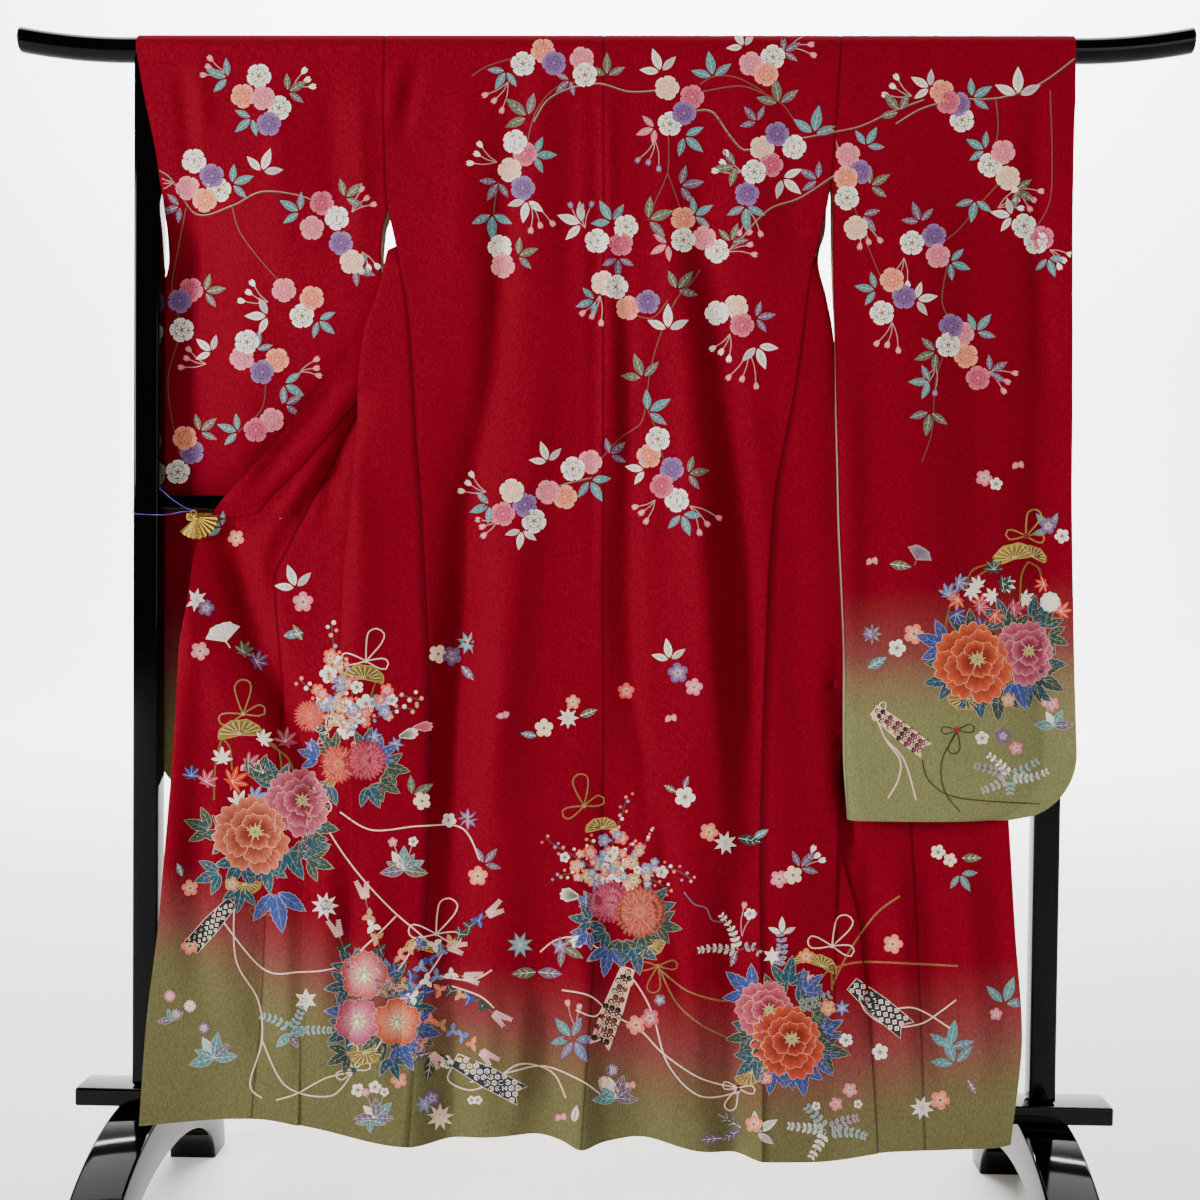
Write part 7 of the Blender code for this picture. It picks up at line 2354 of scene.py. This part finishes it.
def fan_leaf():
    """Points and faces of the pleated fan, a sheet folded sharply at each rib."""
    sharp = 4
    angles = np.radians(np.linspace(-139, 7, 2 * FAN_FOLDS * sharp + 1))
    radii = (0.0045, 0.008, 0.014, 0.020, 0.026, 0.0305)
    front = []
    back = []
    for k, angle in enumerate(angles):
        swing = abs((k / sharp) % 2 - 1) * 2 - 1
        for radius in radii:
            reach = radius * (1 - 0.035 * (swing < 0)) if radius == radii[-1] else radius
            depth = FAN_DEPTH + PLEAT * swing * radius / radii[-1]
            for row, thick in ((front, -FAN_HALF_THICK), (back, FAN_HALF_THICK)):
                row.append((CLIP_X + reach * cos(angle), depth + thick, CLIP_HEIGHT + reach * sin(angle)))
    across = len(radii)
    count = len(angles)
    faces = []
    for k in range(count - 1):
        for j in range(across - 1):
            a = k * across + j
            faces.append((a, a + 1, a + across + 1, a + across))
            faces.append(tuple(count * across + v for v in (a, a + across, a + across + 1, a + 1)))
    edge = [k * across for k in range(count)] + [(count - 1) * across + j for j in range(1, across)]
    edge += [k * across + across - 1 for k in range(count - 2, -1, -1)] + list(range(across - 2, 0, -1))
    for a, b in zip(edge, edge[1:] + edge[:1]):
        faces.append((b, count * across + b, count * across + a, a))
    points = np.array(front + back)
    if volume_of(points, faces) < 0:
        faces = [face[::-1] for face in faces]
    return points, faces


def make_fan_clip(gold):
    """A little folding fan of gilt sheet with a ring at its pivot and a jaw behind it for the silk."""
    pivot = np.array((CLIP_X, PIVOT_DEPTH, CLIP_HEIGHT))
    boss = round_rings([pivot + (0, y, 0) for y in (-0.0006, -0.0004, 0.0016)], (0.0028, 0.0034, 0.0034),
                       [(0, 1, 0)] * 3, 24)
    ring = loop_rings(pivot + (-0.0030, -0.0002, 0.0058), 0.0038, 0.0008)
    parts = [fan_leaf(), body_of(boss), body_of(ring, True)]
    for (low, high), axis in ((CLIP_JAW, 0), (CLIP_NECK, 1), (CLIP_ARM, 0)):
        lift = np.array((0, 0, CLIP_HEIGHT))
        parts.append(body_of(bar_rings(lift + low, lift + high, axis, CLIP_EDGE)))
    points, faces = joined(parts)
    stand_piece(add_piece("gilt_fan_clip", points, faces, [gold], smooth_angle=25), "fan_clip")


def make_clip_cord(violet):
    """Thin cord looped once round the post, tied at the clip's ring with a small knot."""
    line = smooth_route(CORD_ROUTE, 8)
    ways = np.gradient(line, axis=0)
    cord = round_rings(line, [CORD_RADIUS] * len(line), ways, 12)
    ball = []
    for t in np.linspace(-1, 1, 9):
        swell = 0.0004 + 0.0011 * (1 - t * t)**0.5
        ball.append((KNOT_MIDDLE - (KNOT_HALF * t, 0, 0), swell))
    knot = round_rings([p for p, r in ball], [r for p, r in ball], [(1, 0, 0)] * len(ball), 12)
    points, faces = joined([body_of(cord), body_of(knot)])
    stand_piece(add_piece("silk_clip_cord", points, faces, [violet], smooth_angle=50), "clip_cord")


def make_stand():
    lacquer = make_black_lacquer()
    make_top_rail(lacquer)
    for side in (-1, 1):
        make_post(side, lacquer)
        make_foot(side, lacquer)
    inner = POST_X - POST_WIDTH / 2 - GAP
    half = CROSSBAR_TALL / 2
    crossbar = bar_rings((-inner, -half, CROSSBAR_HEIGHT - half), (inner, half, CROSSBAR_HEIGHT + half), 0,
                         CROSSBAR_EDGE)
    stand_piece(add_solid("lacquered_crossbar", crossbar, lacquer), "crossbar")
    half = BEAM_DEPTH / 2
    beam = bar_rings((-BEAM_HALF, -half, BEAM_TOP - BEAM_TALL), (BEAM_HALF, half, BEAM_TOP), 0, BEAM_EDGE)
    stand_piece(add_solid("lacquered_base_beam", beam, lacquer), "base_beam")
    make_fan_clip(make_gold_plate())
    make_clip_cord(make_silk_cord())


# Materials of the silk, and the cloths made so far: piece, points, faces, how many of these look out,
# and the cut of its sheet
SILK = {}
CLOTHS = []


def main():
    make_camera()
    SILK["crepe"] = make_dyed_crepe()
    SILK["lining"] = make_lining_silk()
    SILK["dyes"] = make_painted_dye()
    left = Front(-1, LEFT_FRONT, LEFT_OKUMI)
    right = Front(1, RIGHT_FRONT, RIGHT_OKUMI)
    make_back("silk_back_left", "left", "centre", BACK_CUT)
    make_back("silk_back_right", "centre", "right", BACK_CUT)
    make_front(left, "silk_front_left", FRONT_CUT)
    make_front(right, "silk_front_right", FRONT_CUT)
    make_okumi(left, "silk_okumi_left", LEFT_COLLAR_END, OKUMI_CUT, OKUMI_AREA)
    make_okumi(right, "silk_okumi_right", RIGHT_COLLAR_END, OKUMI_CUT, OKUMI_AREA)
    make_collar(left, right, COLLAR_CUT)
    for layer in ("near", "far"):
        make_sleeve("silk_sleeve_left_" + layer, -1, LEFT_SLEEVE, ARMHOLE_END, layer, SLEEVE_CUT)
        make_sleeve("silk_sleeve_right_" + layer, 1, RIGHT_SLEEVE, RIGHT_ARMHOLE_END, layer, SLEEVE_CUT)
    draw_all()
    DRAWN.sort(key=lambda plate: plate[3])
    lay_pictures()
    make_stand()
    make_studio()


def add_light(name, place, aim, size, power):
    data = bpy.data.lights.new(name, "AREA")
    data.shape = "RECTANGLE"
    data.size, data.size_y = size
    data.energy = power
    light = bpy.data.objects.new(name, data)
    light.location = place
    light.rotation_mode = "QUATERNION"
    light.rotation_quaternion = (Vector(aim) - Vector(place)).to_track_quat("-Z", "Y")
    bpy.context.collection.objects.link(light)


def make_studio():
    """Pale paper floor that sweeps up far behind, a key and a fill in front, and lights for the paper."""
    flat_end = PAPER_WALL - PAPER_BEND
    sweep = [(PAPER_NEAR, 0.0), (flat_end, 0.0)]
    sweep += [(flat_end + PAPER_BEND * sin(t), PAPER_BEND - PAPER_BEND * cos(t))
              for t in np.linspace(0.1, pi / 2, 20)]
    sweep += [(PAPER_WALL, PAPER_TOP)]
    points = [(x, y, z) for y, z in sweep for x in (-PAPER_HALF, PAPER_HALF)]
    faces = [(2 * k, 2 * k + 1, 2 * k + 3, 2 * k + 2) for k in range(len(sweep) - 1)]
    floor = add_piece("studio_floor", points, faces, [make_studio_floor()])
    world = bpy.data.worlds.new("studio")
    world.use_nodes = True
    sky = world.node_tree.nodes["Background"]
    sky.inputs["Color"].default_value = (1, 1, 1, 1)
    sky.inputs["Strength"].default_value = ALL_ROUND
    bpy.context.scene.world = world
    for light in LIGHTS:
        add_light(*light)


main()
